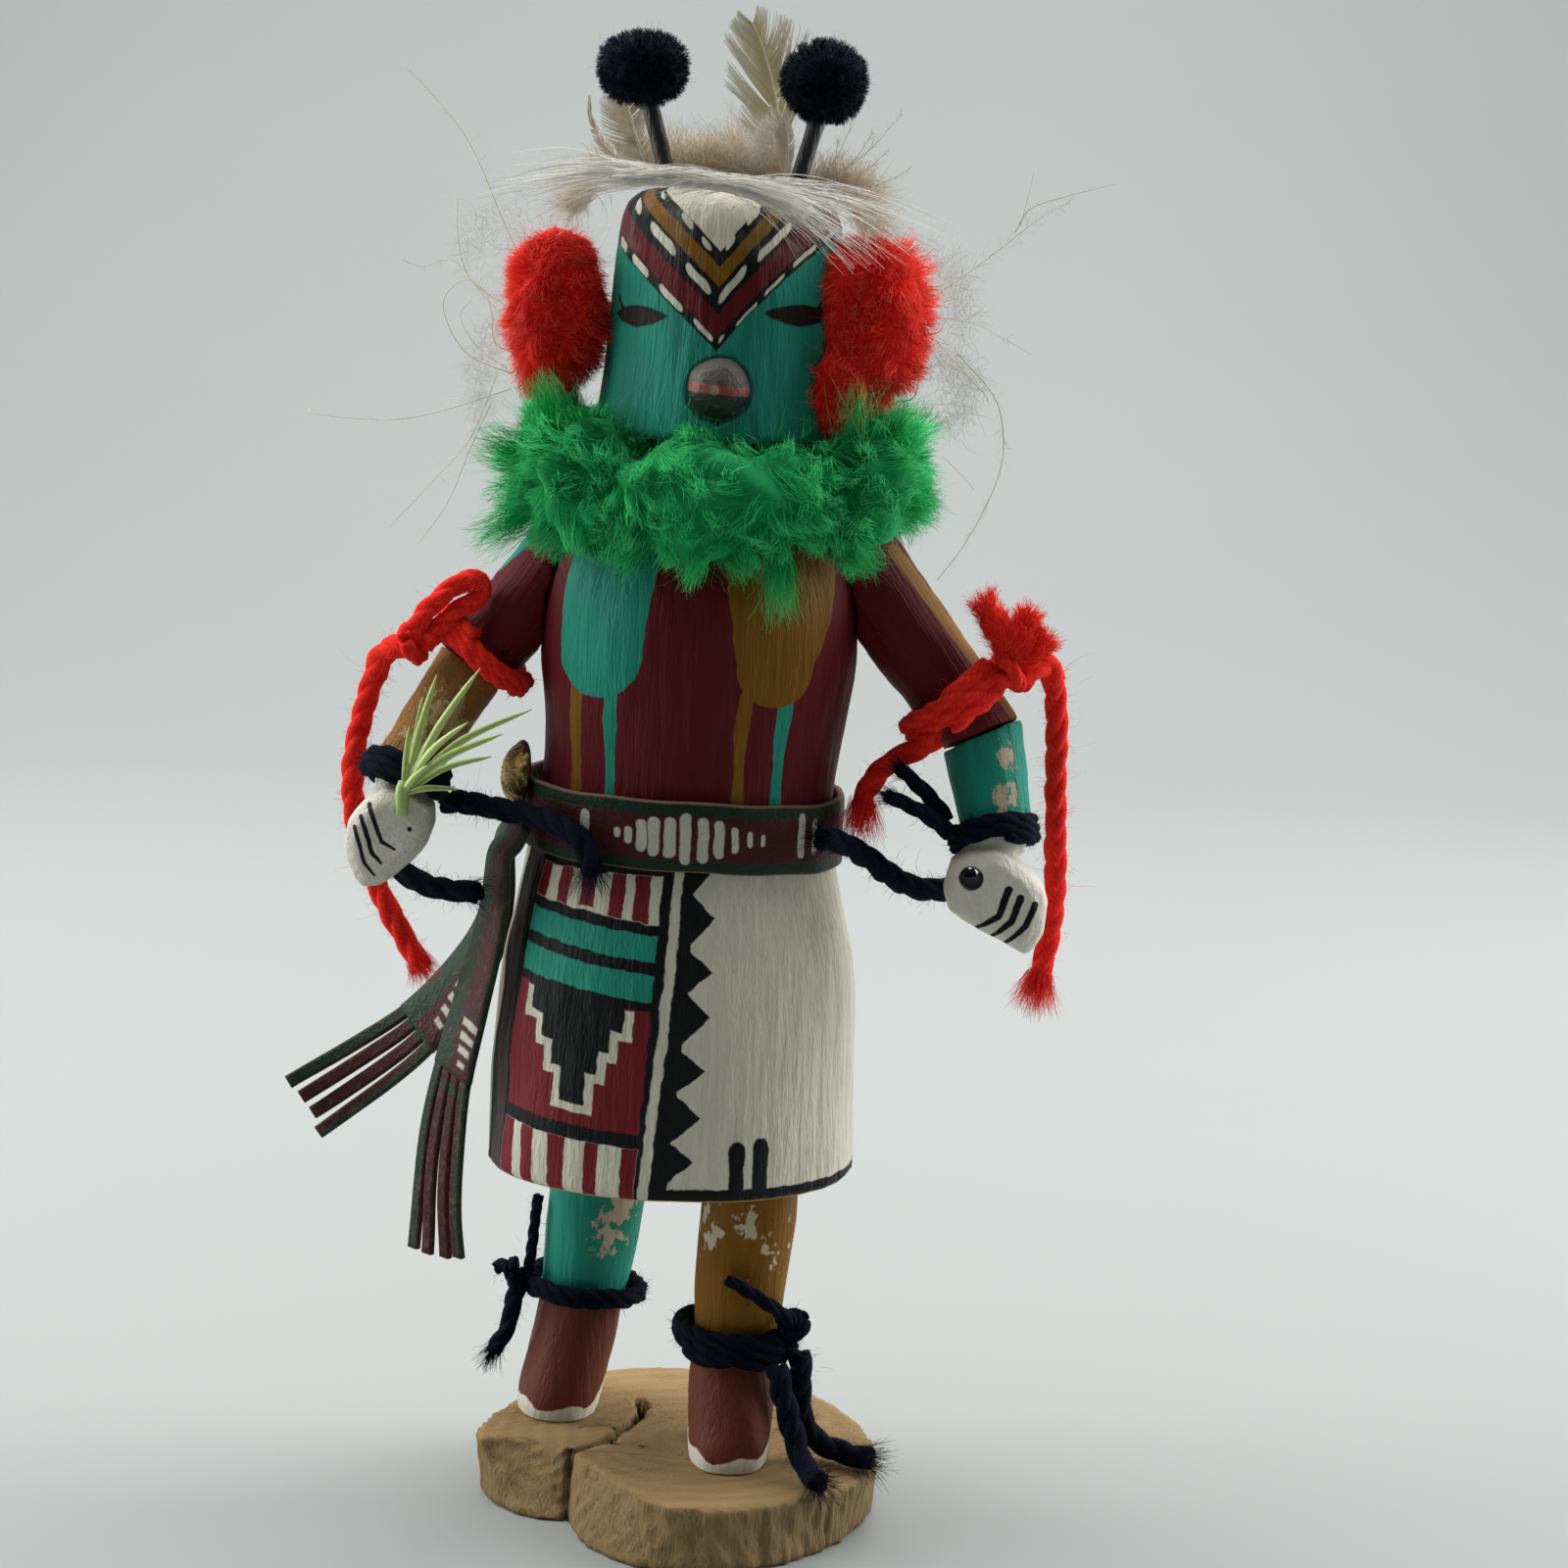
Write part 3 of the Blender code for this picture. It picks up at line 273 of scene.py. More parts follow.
# Materials

class Num:
    """A number in a material's node tree. Arithmetic on it adds Math nodes."""

    def __init__(self, tree, socket):
        self.tree, self.socket = tree, socket

    def math(self, operation, *others, clamp=False):
        node = self.tree.nodes.new("ShaderNodeMath")
        node.operation = operation
        node.use_clamp = clamp
        for slot, value in zip(node.inputs, (self, *others)):
            feed(self.tree, value, slot)
        return Num(self.tree, node.outputs[0])

    def __add__(self, other):
        return self.math("ADD", other)

    def __sub__(self, other):
        return self.math("SUBTRACT", other)

    def __rsub__(self, other):
        return self.math("MULTIPLY_ADD", -1.0, other)

    def __mul__(self, other):
        return self.math("MULTIPLY", other)

    def __truediv__(self, other):
        return self.math("DIVIDE", other)

    def __abs__(self):
        return self.math("ABSOLUTE")

    def __or__(self, other):
        return self.math("MAXIMUM", other)

    def __and__(self, other):
        return self.math("MINIMUM", other)

    __radd__, __rmul__ = __add__, __mul__

    def power(self, exponent):
        return self.math("POWER", exponent)

    def sine(self):
        return self.math("SINE")

    def inside(self, soft=0.25):
        """1 where a signed distance is below 0, 0 where it is above, blurred over soft millimetres."""
        return self.math("MULTIPLY_ADD", -1.0 / soft, 0.5, clamp=True)

    def above(self, edge, soft=0.25):
        return (edge - self).inside(soft)

    def below(self, edge, soft=0.25):
        return (self - edge).inside(soft)

    def between(self, low, high, soft=0.25):
        return (abs(self - (low + high) / 2) - (high - low) / 2).inside(soft)

    def ramp(self, low, high):
        """From 0 at low to 1 at high."""
        return self.math("MULTIPLY_ADD", 1.0 / (high - low), -low / (high - low), clamp=True)


def feed(tree, value, socket):
    """Links a Num or a socket to an input, or sets a plain value on it."""
    if isinstance(value, Num):
        tree.links.new(value.socket, socket)
    elif isinstance(value, bpy.types.NodeSocket):
        tree.links.new(value, socket)
    elif isinstance(value, (tuple, list)) and socket.type == "RGBA":
        socket.default_value = (*value[:3], 1.0)
    else:
        socket.default_value = value


def rgb(red, green, blue):
    """A screen colour from 0 to 255 as Blender's linear values."""
    return tuple((c / 255 / 12.92) if c <= 10 else ((c / 255 + 0.055) / 1.055) ** 2.4 for c in (red, green, blue))


class Paint:
    """A material that is built up in layers, as the real surface is painted."""

    def __init__(self, name, colour, roughness=0.6, metallic=0.0, specular=0.5, sheen=0.0, sheen_roughness=0.5,
                 sheen_tint=(1.0, 1.0, 1.0), coat=0.0, coat_roughness=0.2):
        self.material = bpy.data.materials.new(name)
        self.material.use_nodes = True
        self.tree = self.material.node_tree
        self.tree.nodes.clear()
        self.shader = self.node("ShaderNodeBsdfPrincipled")
        self.output = self.node("ShaderNodeOutputMaterial")
        self.tree.links.new(self.shader.outputs[0], self.output.inputs[0])
        for socket, value in (("Metallic", metallic), ("Specular IOR Level", specular), ("Sheen Weight", sheen),
                              ("Sheen Roughness", sheen_roughness), ("Coat Weight", coat),
                              ("Coat Roughness", coat_roughness)):
            self.shader.inputs[socket].default_value = value
        self.shader.inputs["Sheen Tint"].default_value = (*sheen_tint, 1.0)
        self.colour, self.roughness, self.height = colour, roughness, None
        self.wobble = None

    def node(self, kind, **settings):
        node = self.tree.nodes.new(kind)
        for key, value in settings.items():
            setattr(node, key, value)
        return node

    def split(self, vector):
        parts = self.node("ShaderNodeSeparateXYZ")
        self.tree.links.new(vector, parts.inputs[0])
        return [Num(self.tree, parts.outputs[k]) for k in range(3)]

    def place(self):
        """The position in millimetres, as a vector."""
        where = self.node("ShaderNodeTexCoord").outputs["Object"]
        return self.vector("SCALE", where, scale=1 / MM)

    def vector(self, operation, *values, scale=None):
        node = self.node("ShaderNodeVectorMath", operation=operation)
        for slot, value in zip(node.inputs, values):
            feed(self.tree, value, slot)
        if scale is not None:
            feed(self.tree, scale, node.inputs["Scale"])
        return node.outputs["Value" if operation in ("DOT_PRODUCT", "LENGTH", "DISTANCE") else "Vector"]

    def flat(self, map_name="Flat"):
        """The piece's own surface coordinates, as two numbers."""
        return self.split(self.node("ShaderNodeUVMap", uv_map=map_name).outputs[0])[:2]

    def noise(self, scale, detail=2.0, stretch=(1, 1, 1), vector=None, roughness=0.5, distortion=0.0):
        """A cloudy number from 0 to 1, with about scale features for each millimetre."""
        vector = self.place() if vector is None else vector
        stretched = self.vector("MULTIPLY", vector, tuple(scale * s for s in stretch))
        node = self.node("ShaderNodeTexNoise")
        for socket, value in (("Scale", 1.0), ("Detail", detail), ("Roughness", roughness), ("Distortion", distortion)):
            node.inputs[socket].default_value = value
        self.tree.links.new(stretched, node.inputs["Vector"])
        return Num(self.tree, node.outputs[0])

    def cells(self, scale, vector=None, feature="F1"):
        vector = self.place() if vector is None else vector
        node = self.node("ShaderNodeTexVoronoi", feature=feature)
        node.inputs["Scale"].default_value = scale
        self.tree.links.new(vector, node.inputs["Vector"])
        return Num(self.tree, node.outputs[0])

    def along(self, direction, keep=0.08):
        """The position with its part along direction shrunk, so that a noise on it runs that way as grain."""
        where = self.place()
        direction = tuple(float(x) for x in unit(direction))
        share = Num(self.tree, self.vector("DOT_PRODUCT", where, direction)) * (1 - keep)
        return self.vector("SUBTRACT", where, self.vector("SCALE", direction, scale=share))

    def mix(self, mask, under, over, blend="MIX"):
        node = self.node("ShaderNodeMix", data_type="RGBA", blend_type=blend)
        feed(self.tree, mask, node.inputs[0])
        feed(self.tree, under, node.inputs[6])
        feed(self.tree, over, node.inputs[7])
        return node.outputs[2]

    def over(self, mask, colour, roughness=None, proud=0.0):
        """Paints a colour over what is there, where mask is 1, and proud millimetres thick."""
        self.colour = self.mix(mask, self.colour, colour)
        if roughness is not None:
            was = self.roughness
            self.roughness = mask * (roughness - was) + was if isinstance(was, (int, float)) else \
                (was + mask * (roughness - was))
        if proud:
            self.raise_by(mask * proud)
        return self

    def shade(self, value, dark, light):
        """Multiplies the colour by dark where value is 0 and by light where it is 1."""
        self.colour = self.vector("SCALE", self.colour_socket(), scale=value * (light - dark) + dark)
        return self

    def colour_socket(self):
        if isinstance(self.colour, tuple):
            node = self.node("ShaderNodeRGB")
            node.outputs[0].default_value = (*self.colour, 1.0)
            self.colour = node.outputs[0]
        return self.colour

    def raise_by(self, height):
        self.height = height if self.height is None else self.height + height
        return self

    def done(self, strength=1.0):
        """Links what was built up, and gives the material."""
        feed(self.tree, self.colour, self.shader.inputs["Base Color"])
        feed(self.tree, self.roughness, self.shader.inputs["Roughness"])
        if self.height is not None:
            bump = self.node("ShaderNodeBump")
            bump.inputs["Strength"].default_value = strength
            bump.inputs["Distance"].default_value = MM
            feed(self.tree, self.height, bump.inputs["Height"])
            self.tree.links.new(bump.outputs[0], self.shader.inputs["Normal"])
        return self.material


def box_distance(u, v, low_u, high_u, low_v, high_v):
    """The signed distance to an upright rectangle, negative inside."""
    return (abs(u - (low_u + high_u) / 2) - (high_u - low_u) / 2) | (abs(v - (low_v + high_v) / 2) - (high_v - low_v) / 2)


def oval_distance(u, v, centre_u, centre_v, half_u, half_v):
    """About the signed distance to an ellipse that stands upright."""
    a, b = (u - centre_u) * (1 / half_u), (v - centre_v) * (1 / half_v)
    return ((a * a + b * b).math("SQRT") - 1.0) * min(half_u, half_v)


def stroke_distance(u, v, start, end, start_half, end_half=None):
    """The signed distance to a brush stroke from start to end, which may thin towards its end."""
    du, dv = end[0] - start[0], end[1] - start[1]
    square = du * du + dv * dv
    t = ((u - start[0]) * (du / square) + (v - start[1]) * (dv / square)).math("ADD", 0.0, clamp=True)
    a, b = u - start[0] - t * du, v - start[1] - t * dv
    half = start_half if end_half is None else t * (end_half - start_half) + start_half
    return (a * a + b * b).math("SQRT") - half


# Camera, floor and light

CAMERA_PLACE = (0.0188, -0.6707, 0.2639)
CAMERA_DOWN = 9.5
CAMERA_ROLL = 2.5
CAMERA_LENS = 76.5
FLOOR_GREY = (0.355, 0.372, 0.364)
WORLD_GREY = (0.14, 0.148, 0.15)


def make_camera():
    data = bpy.data.cameras.new("camera")
    data.lens = CAMERA_LENS
    data.sensor_width = 36.0
    data.clip_start, data.clip_end = 0.02, 20.0
    camera = bpy.data.objects.new("camera", data)
    turn = Matrix.Rotation(math.radians(90 - CAMERA_DOWN), 4, "X") @ Matrix.Rotation(math.radians(CAMERA_ROLL), 4, "Z")
    camera.matrix_world = Matrix.Translation(CAMERA_PLACE) @ turn
    bpy.context.scene.collection.objects.link(camera)
    bpy.context.scene.camera = camera


def make_floor():
    """A pale sweep of paper: flat under the figure, and curving up far behind it."""
    front, bend, radius, height, half_width = -2.2, 0.9, 0.7, 3.0, 3.5
    turns = np.linspace(0, math.pi / 2, 13)
    profile = [(front, 0.0)] + [(bend + radius * math.sin(a), radius * (1 - math.cos(a))) for a in turns]
    profile.append((bend + radius, height))
    points = [(x, y, z) for y, z in profile for x in (-half_width, half_width)]
    faces = [(2 * i, 2 * i + 1, 2 * i + 3, 2 * i + 2) for i in range(len(profile) - 1)]
    mesh = bpy.data.meshes.new("floor")
    mesh.from_pydata(points, [], faces)
    mesh.shade_smooth()
    paint = Paint("paper", FLOOR_GREY, roughness=0.9, specular=0.2)
    paint.shade(paint.noise(0.004, detail=3), 0.97, 1.03)
    mesh.materials.append(paint.done())
    floor = bpy.data.objects.new("floor", mesh)
    bpy.context.scene.collection.objects.link(floor)


def add_light(name, place, aim, size, power, colour=(1.0, 1.0, 1.0)):
    data = bpy.data.lights.new(name, "AREA")
    data.shape = "RECTANGLE"
    data.size, data.size_y = size
    data.energy = power
    data.color = colour
    light = bpy.data.objects.new(name, data)
    light.location = place
    light.rotation_euler = (Vector(aim) - Vector(place)).to_track_quat("-Z", "Y").to_euler()
    bpy.context.scene.collection.objects.link(light)


def make_lights():
    world = bpy.data.worlds.new("studio")
    world.use_nodes = True
    world.node_tree.nodes["Background"].inputs[0].default_value = (*WORLD_GREY, 1.0)
    bpy.context.scene.world = world
    middle = (0.0, 0.0, 0.16)
    add_light("top", (-0.1, 0.3, 1.35), middle, (1.5, 1.3), 19.3)
    add_light("left", (-0.95, 0.12, 0.5), middle, (0.7, 1.1), 10.7)
    add_light("right", (0.95, 0.3, 0.5), middle, (0.7, 1.1), 11.8)
    add_light("back", (0.0, 0.55, 1.6), (0.0, 1.5, 0.45), (2.6, 0.6), 15.8)
    add_light("backdrop", (0.0, 0.85, 0.95), (0.0, 1.62, 0.42), (2.6, 0.3), 3.5)
    bpy.context.scene.view_settings.view_transform = "Standard"


make_camera()
make_floor()
make_lights()


# Wool: yarn, loose fibres and the bands wound from it

# The _DARK wool colours are painted shade and the _LIGHT ones painted light and sheen tint, in wool_paint and
# yarn_paint
RED = rgb(255, 40, 32)
RED_LIGHT = rgb(255, 112, 88)
RED_DARK = rgb(214, 14, 14)
NAVY = rgb(5, 11, 30)
NAVY_LIGHT = rgb(28, 38, 62)
NAVY_DARK = rgb(3, 5, 10)
GREEN = rgb(2, 186, 92)
GREEN_LIGHT = rgb(104, 236, 150)
GREEN_DARK = rgb(0, 96, 54)

RED_YARN = 5.0
NAVY_YARN = 5.2
SHORTEST_CORD = 30.2  # one tail's own line is 29.1 mm, and its loosened end makes up the rest
RED_CORDS = ("armband_left_tail", "armband_right_tail")

# Middle lines of the yarn that hangs or lies free, as the frame's solids have them
CORD_ROUTES = {
    "armband_left_tail": (
        (71.4, -3.0, 178.6), (72.4, -1.8, 175.4), (73.2, 0.0, 171.0), (73.9, 1.6, 165.0), (74.2, 2.6, 157.0),
        (74.8, 3.4, 147.0), (75.4, 3.8, 137.0), (75.4, 3.6, 127.5), (74.4, 3.0, 119.0), (73.0, 2.4, 112.0)),
    "armband_right_tail": (
        (-63.6, -3.0, 174.0), (-65.4, -2.0, 169.4), (-67.4, -0.4, 162.5), (-69.2, 1.2, 153.5), (-69.4, 2.0, 145.0),
        (-67.6, 2.0, 136.0), (-64.0, 1.4, 127.0), (-59.2, 0.6, 118.2), (-54.0, 0.0, 110.0)),
    "waist_yarn_right": (
        (-49.8, -3.4, 145.4), (-46.6, -6.8, 146.4), (-42.6, -10.6, 146.6), (-37.8, -14.0, 146.4),
        (-32.6, -17.4, 146.4), (-26.9, -22.5, 146.0), (-22.2, -25.9, 144.4), (-19.1, -27.7, 141.0),
        (-18.3, -28.2, 136.8)),
    "waist_yarn_right_low": (
        (-61.8, -1.0, 147.2), (-62.2, -2.2, 141.0), (-60.8, -3.8, 134.8), (-56.8, -6.0, 130.6), (-51.5, -9.0, 129.0),
        (-46.0, -12.0, 129.0), (-41.6, -14.2, 129.2)),
    "waist_yarn_left": (
        (58.6, 0.9, 134.4), (55.2, -0.4, 132.2), (50.6, -3.0, 131.6), (45.6, -6.4, 132.8), (40.6, -9.8, 135.8),
        (36.2, -13.2, 139.6), (31.6, -17.6, 142.8), (26.6, -22.4, 145.0)),
    "ankle_left_tail": (
        (27.2, -15.6, 36.0), (27.4, -15.2, 31.0), (27.6, -14.2, 25.8), (28.6, -13.2, 20.8), (30.8, -13.2, 17.2),
        (34.4, -14.8, 15.7), (38.4, -17.2, 15.5), (42.4, -19.8, 15.5)),
    "ankle_left_tail_low": (
        (22.6, -21.6, 35.0), (23.6, -21.8, 30.6), (25.0, -22.2, 26.0), (26.6, -23.0, 21.2), (28.2, -25.6, 17.2),
        (30.2, -29.6, 15.6), (32.0, -34.0, 15.5)),
}


def wool_paint(name, dark, middle, light, sheen=0.6):
    """Loose fibres: painted shade at the root, painted light at the lighter, hazier tip, lock by lock."""
    paint = Paint(name, middle, roughness=0.85, specular=0.15, sheen=sheen, sheen_roughness=0.6, sheen_tint=light)
    along, lock = paint.flat("Fibre")
    # Painted shade at the roots and over the core, painted light towards the tips
    paint.over(along.ramp(0.75, 0.0) * 0.7, dark)
    paint.over(along.ramp(0.45, 1.0) * (lock * 0.7 + 0.15), light)
    paint.shade(paint.noise(0.35, detail=3), 0.78, 1.2)
    return paint.done()


def yarn_paint(name, dark, middle, light, sheen=0.3):
    """Spun yarn: fine fibres that run round each ply at a slant, with painted shade where their relief is low and
    painted highlight where it is high.
    """
    paint = Paint(name, middle, roughness=0.88, specular=0.12, sheen=sheen, sheen_roughness=0.6, sheen_tint=light)
    around, walked = paint.flat("Fibre")
    slant = paint.node("ShaderNodeCombineXYZ")
    feed(paint.tree, around * 9.0 + walked * 1.1, slant.inputs[0])
    feed(paint.tree, walked * 0.55, slant.inputs[1])
    fibre = paint.noise(1.6, detail=4, vector=slant.outputs[0], roughness=0.7)
    # Painted shade in the low spots of the fibre relief, painted highlight on its high spots
    paint.over(fibre.ramp(0.52, 0.30) * 0.75, dark)
    paint.over(fibre.ramp(0.52, 0.78) * 0.55, light)
    paint.shade(paint.noise(0.3, detail=2), 0.8, 1.15)
    paint.raise_by(fibre * 0.35)
    return paint.done()


RED_WOOL = wool_paint("red_wool", RED_DARK, RED, RED_LIGHT)
NAVY_WOOL = wool_paint("navy_wool", NAVY_DARK, NAVY, NAVY_LIGHT, 0.15)
GREEN_WOOL = wool_paint("green_wool", GREEN_DARK, GREEN, GREEN_LIGHT)
RED_SPUN = yarn_paint("red_yarn", RED_DARK, RED, RED_LIGHT)
NAVY_SPUN = yarn_paint("navy_yarn", NAVY_DARK, NAVY, NAVY_LIGHT, 0.15)


def strands(roots, ways, lengths, curl, seed, steps=5, droop=0.0):
    """Lines from the roots along their ways that bend and wander: fibres x steps x 3."""
    rng = np.random.default_rng(seed)
    count = len(roots)
    ways = unit(ways)
    bend = unit(np.cross(ways, rng.normal(size=(count, 3))))
    swing = np.cross(ways, bend)
    t = np.linspace(0, 1, steps)[None, :, None]
    lengths = np.broadcast_to(np.asarray(lengths, float), count)[:, None, None]
    curls = (curl * rng.uniform(0.2, 1.0, count))[:, None, None]
    wave = np.sin(t * math.pi * rng.uniform(1.0, 2.2, count)[:, None, None])
    lines = roots[:, None] + lengths * (
        ways[:, None] * t + bend[:, None] * curls * t ** 2 + swing[:, None] * curls * 0.4 * wave * t)
    lines[:, :, 2] -= (lengths * droop * t ** 2)[:, :, 0]
    return lines


def fuzz(shell, line, radius, count, length, seed, width=0.09, slot=1, lift=0.9, curl=0.9, steps=4):
    """Stray fibres that stand off a run of yarn."""
    rng = np.random.default_rng(seed)
    line = np.asarray(line, float)
    tangent, side, up = frames(line)
    pick = rng.integers(0, len(line), count)
    turn = rng.uniform(0, TAU, count)[:, None]
    out = np.cos(turn) * side[pick] + np.sin(turn) * up[pick]
    ways = out * lift + tangent[pick] * rng.uniform(-1.0, 1.0, (count, 1)) + rng.normal(0, 0.25, (count, 3))
    lines = strands(line[pick] + out * radius * 0.85, ways, length * rng.uniform(0.3, 1.0, count) ** 1.5, curl, seed,
                    steps=steps)
    shell.fibres(lines, width, facing=out, slot=slot)


def spun(shell, line, diameter, plies=3, pitch=3.6, sides=8, seed=0, start_turn=0.0, thin=None):
    """Plies of yarn twisted round each other along a line. thin narrows it from end to end."""
    line = np.asarray(line, float)
    _, side, up = frames(line)
    walked = np.concatenate([[0], np.cumsum(np.linalg.norm(np.diff(line, axis=0), axis=1))])
    narrow = np.ones(len(line)) if thin is None else np.broadcast_to(np.asarray(thin, float), len(line))
    slack = 1 + 0.06 * ripple(line, 6.0, seed + 5)
    for ply in range(plies):
        turn = (walked / (pitch * diameter) + ply / plies + start_turn) * TAU + 0.25 * ripple(line, 14.0, seed)
        offset = (diameter * 0.19 * narrow * slack)[:, None] * (
            np.cos(turn)[:, None] * side + np.sin(turn)[:, None] * up)
        radius = diameter * 0.31 * narrow * (1 + 0.05 * ripple(line, 4.0, seed + ply + 1))
        shell.tube(line + offset, radius, sides=sides, flat=True)


def fray(shell, end, way, radius, length, count, seed, spread=0.5, width=0.13, slot=1, droop=0.15):
    """The loosened end of a yarn: fibres that fan out from it."""
    rng = np.random.default_rng(seed)
    way = unit(way)
    aside = unit(np.cross(way, (0.3, 1.0, 0.2)))
    up = np.cross(way, aside)
    turn, reach = rng.uniform(0, TAU, count)[:, None], np.sqrt(rng.uniform(0, 1, count))[:, None]
    out = np.cos(turn) * aside + np.sin(turn) * up
    roots = np.asarray(end) + out * reach * radius - way * rng.uniform(0, 3.0, (count, 1))
    lines = strands(roots, way + out * reach * spread + rng.normal(0, 0.12, (count, 3)),
                    length * rng.uniform(0.45, 1.0, count), 0.35, seed, droop=droop)
    shell.fibres(lines, width, facing=unit(out + 0.3 * rng.normal(size=(count, 3))), slot=slot)


def steps_for(line, spacing):
    return max(8, int(length_of(np.asarray(line, float)) / spacing))


def yarn_run(shell, points, diameter, seed, hairs=3.0, hair_length=3.0, thin=None, spacing=0.9):
    """A joined length of yarn through points, with its stray fibres."""
    line = spline(points, steps_for(points, spacing))
    spun(shell, line, diameter, seed=seed, thin=thin)
    fuzz(shell, line, diameter / 2, int(hairs * length_of(line)), hair_length, seed)
    return line


def make_cords():
    """The free lengths of yarn, each with its stray fibres and loosened end as a second piece."""
    for seed, (name, route) in enumerate(CORD_ROUTES.items()):
        red = name in RED_CORDS
        diameter = RED_YARN if red else NAVY_YARN
        line = spline(route, steps_for(route, 0.8))
        shell = Shell()
        spun(shell, line, diameter * 0.97, seed=seed)
        cord = shell.piece(name + "_yarn", RED_SPUN if red else NAVY_SPUN, "red_wool" if red else "navy_yarn",
                           [name], "Fibre")
        hair = Shell()
        fuzz(hair, line, diameter / 2, int(9 * length_of(line)), 2.6, seed + 40, slot=0)
        fuzz(hair, line, diameter / 2, int(0.5 * length_of(line)), 7.0, seed + 80, width=0.07, slot=0, curl=1.6, steps=9)
        way = line[-1] - line[-4]
        fray(hair, line[-1], way, diameter * 0.55, FRAYS[name][0], FRAYS[name][1], seed + 60,
             spread=FRAYS[name][2], slot=0, droop=FRAYS[name][3])
        hairs = hair.piece(name + "_fibres", RED_WOOL if red else NAVY_WOOL, "red_wool" if red else "navy_yarn",
                           map_name="Fibre", soft_light=True)
        length = max(length_of(line), SHORTEST_CORD)
        tuple(line[0] * MM)
        min(diameter, length / 6) * MM
        [tuple(p) for p in line * MM]


# How each free end is loosened: fibre length, count, spread and droop
FRAYS = {
    "armband_left_tail": (8.0, 600, 0.5, 0.1),
    "armband_right_tail": (4.5, 320, 0.35, 0.1),
    "waist_yarn_right": (6.0, 220, 0.7, 0.2),
    "waist_yarn_right_low": (5.0, 120, 0.5, 0.1),
    "waist_yarn_left": (5.0, 160, 0.6, 0.1),
    "ankle_left_tail": (6.0, 220, 0.7, 0.05),
    "ankle_left_tail_low": (6.0, 220, 0.7, 0.05),
}
make_cords()


# Carved wood: the body with its legs, the head, the arms and the base

TURQUOISE = rgb(30, 142, 121)
TURQUOISE_DARK = rgb(10, 96, 80)
MAROON = rgb(92, 14, 21)
PANEL_RED = rgb(116, 26, 33)
OCHRE = rgb(124, 83, 9)
CREAM = rgb(212, 209, 189)
BLACK = rgb(9, 12, 14)
WHITE = rgb(222, 218, 204)
BARE_WOOD = rgb(176, 144, 106)
BOOT_BROWN = rgb(104, 50, 31)
# Painted shade: the grey-brown of the kilt's side that turns away
KILT_SIDE_SHADE = rgb(74, 62, 56)

# The torso and kilt, from the hem up: height, centre x, half width, half depth
BODY_SECTIONS = np.array((
    (71.5, -1.6, 37.0, 30.6), (72.7, -1.6, 37.9, 31.5), (88.0, -1.5, 37.5, 31.0), (106.0, -1.2, 36.8, 30.2),
    (118.0, -1.2, 35.4, 29.0), (128.0, -1.5, 33.4, 27.6), (136.0, -1.6, 31.2, 26.0), (144.0, -1.2, 30.0, 25.2),
    (156.0, -0.2, 29.8, 25.0), (178.0, 0.5, 32.0, 26.4), (189.0, 0.6, 31.8, 26.2), (196.0, 0.8, 30.4, 24.8),
    (202.0, 1.2, 27.0, 22.0), (206.5, 1.8, 21.0, 18.0), (209.5, 2.2, 15.5, 14.0), (221.7, 2.8, 14.0, 13.0)))
# The legs and boots, from the kilt down: height, centre x, centre y, half width, half depth, squareness
RIGHT_LEG = np.array((
    (84.0, -16.6, 16.0, 10.3, 10.3, 2.0), (58.0, -17.3, 16.0, 10.2, 10.2, 2.0), (42.0, -18.8, 16.0, 9.6, 9.6, 2.0),
    (35.0, -19.8, 15.9, 9.1, 9.5, 2.0), (29.0, -20.9, 15.7, 9.1, 10.8, 2.2), (23.0, -22.2, 15.4, 9.2, 12.5, 2.3),
    (17.5, -23.3, 15.0, 9.3, 13.8, 2.4), (15.0, -23.6, 15.0, 9.2, 14.0, 2.4), (12.8, -23.7, 15.0, 8.7, 13.6, 2.4)))
LEFT_LEG = np.array((
    (84.0, 15.6, -7.6, 10.2, 10.2, 2.0), (62.0, 15.3, -7.6, 9.8, 9.8, 2.0), (42.0, 14.0, -7.6, 9.0, 9.0, 2.0),
    (33.0, 13.4, -7.8, 8.7, 9.2, 2.0), (27.0, 13.2, -8.8, 8.8, 11.0, 2.2), (21.0, 13.2, -10.0, 8.9, 12.9, 2.3),
    (17.0, 13.2, -10.9, 8.9, 13.9, 2.4), (14.8, 13.2, -11.0, 8.8, 14.0, 2.4), (12.8, 13.2, -11.0, 8.3, 13.6, 2.4)))
HEAD_CENTRE = (3.7, 0.0)
HEAD_PROFILE = np.array((
    (222.0, 25.0), (222.3, 25.6), (223.0, 26.1), (236.0, 24.4), (248.0, 23.3), (264.5, 21.8), (267.8, 20.5),
    (269.5, 18.2), (270.3, 15.5)))
BODY_ROUND = 34.0
HEAD_ROUND = 24.0
DOME_RADIUS = 21.8
LEG_ROUND = 10.0
BODY_POWER = 2.1


def eased(table, height, reach):
    """The table's values at a height, with the corners between its sections rounded over reach."""
    order = np.argsort(table[:, 0])
    near = np.linspace(-reach, reach, 9)
    return np.array([
        np.interp(np.clip(height + near, table[order[0], 0], table[order[-1], 0]), table[order, 0], column[order]).mean()
        for column in table[:, 1:].T])


def oval(angle, half_width, half_depth, power):
    """Points round a squared ellipse; angle 0 faces -Y and a quarter turn faces +X."""
    s, c = np.sin(angle), np.cos(angle)
    return (half_width * np.sign(s) * np.abs(s) ** (2 / power), -half_depth * np.sign(c) * np.abs(c) ** (2 / power))


def body_ring(height, angles, grow=0.0, reach=3.0):
    cx, a, b = eased(BODY_SECTIONS, height, reach)
    x, y = oval(angles, a + grow, b + grow, BODY_POWER)
    return np.stack([x + cx, y, np.full_like(x, height)], axis=-1)


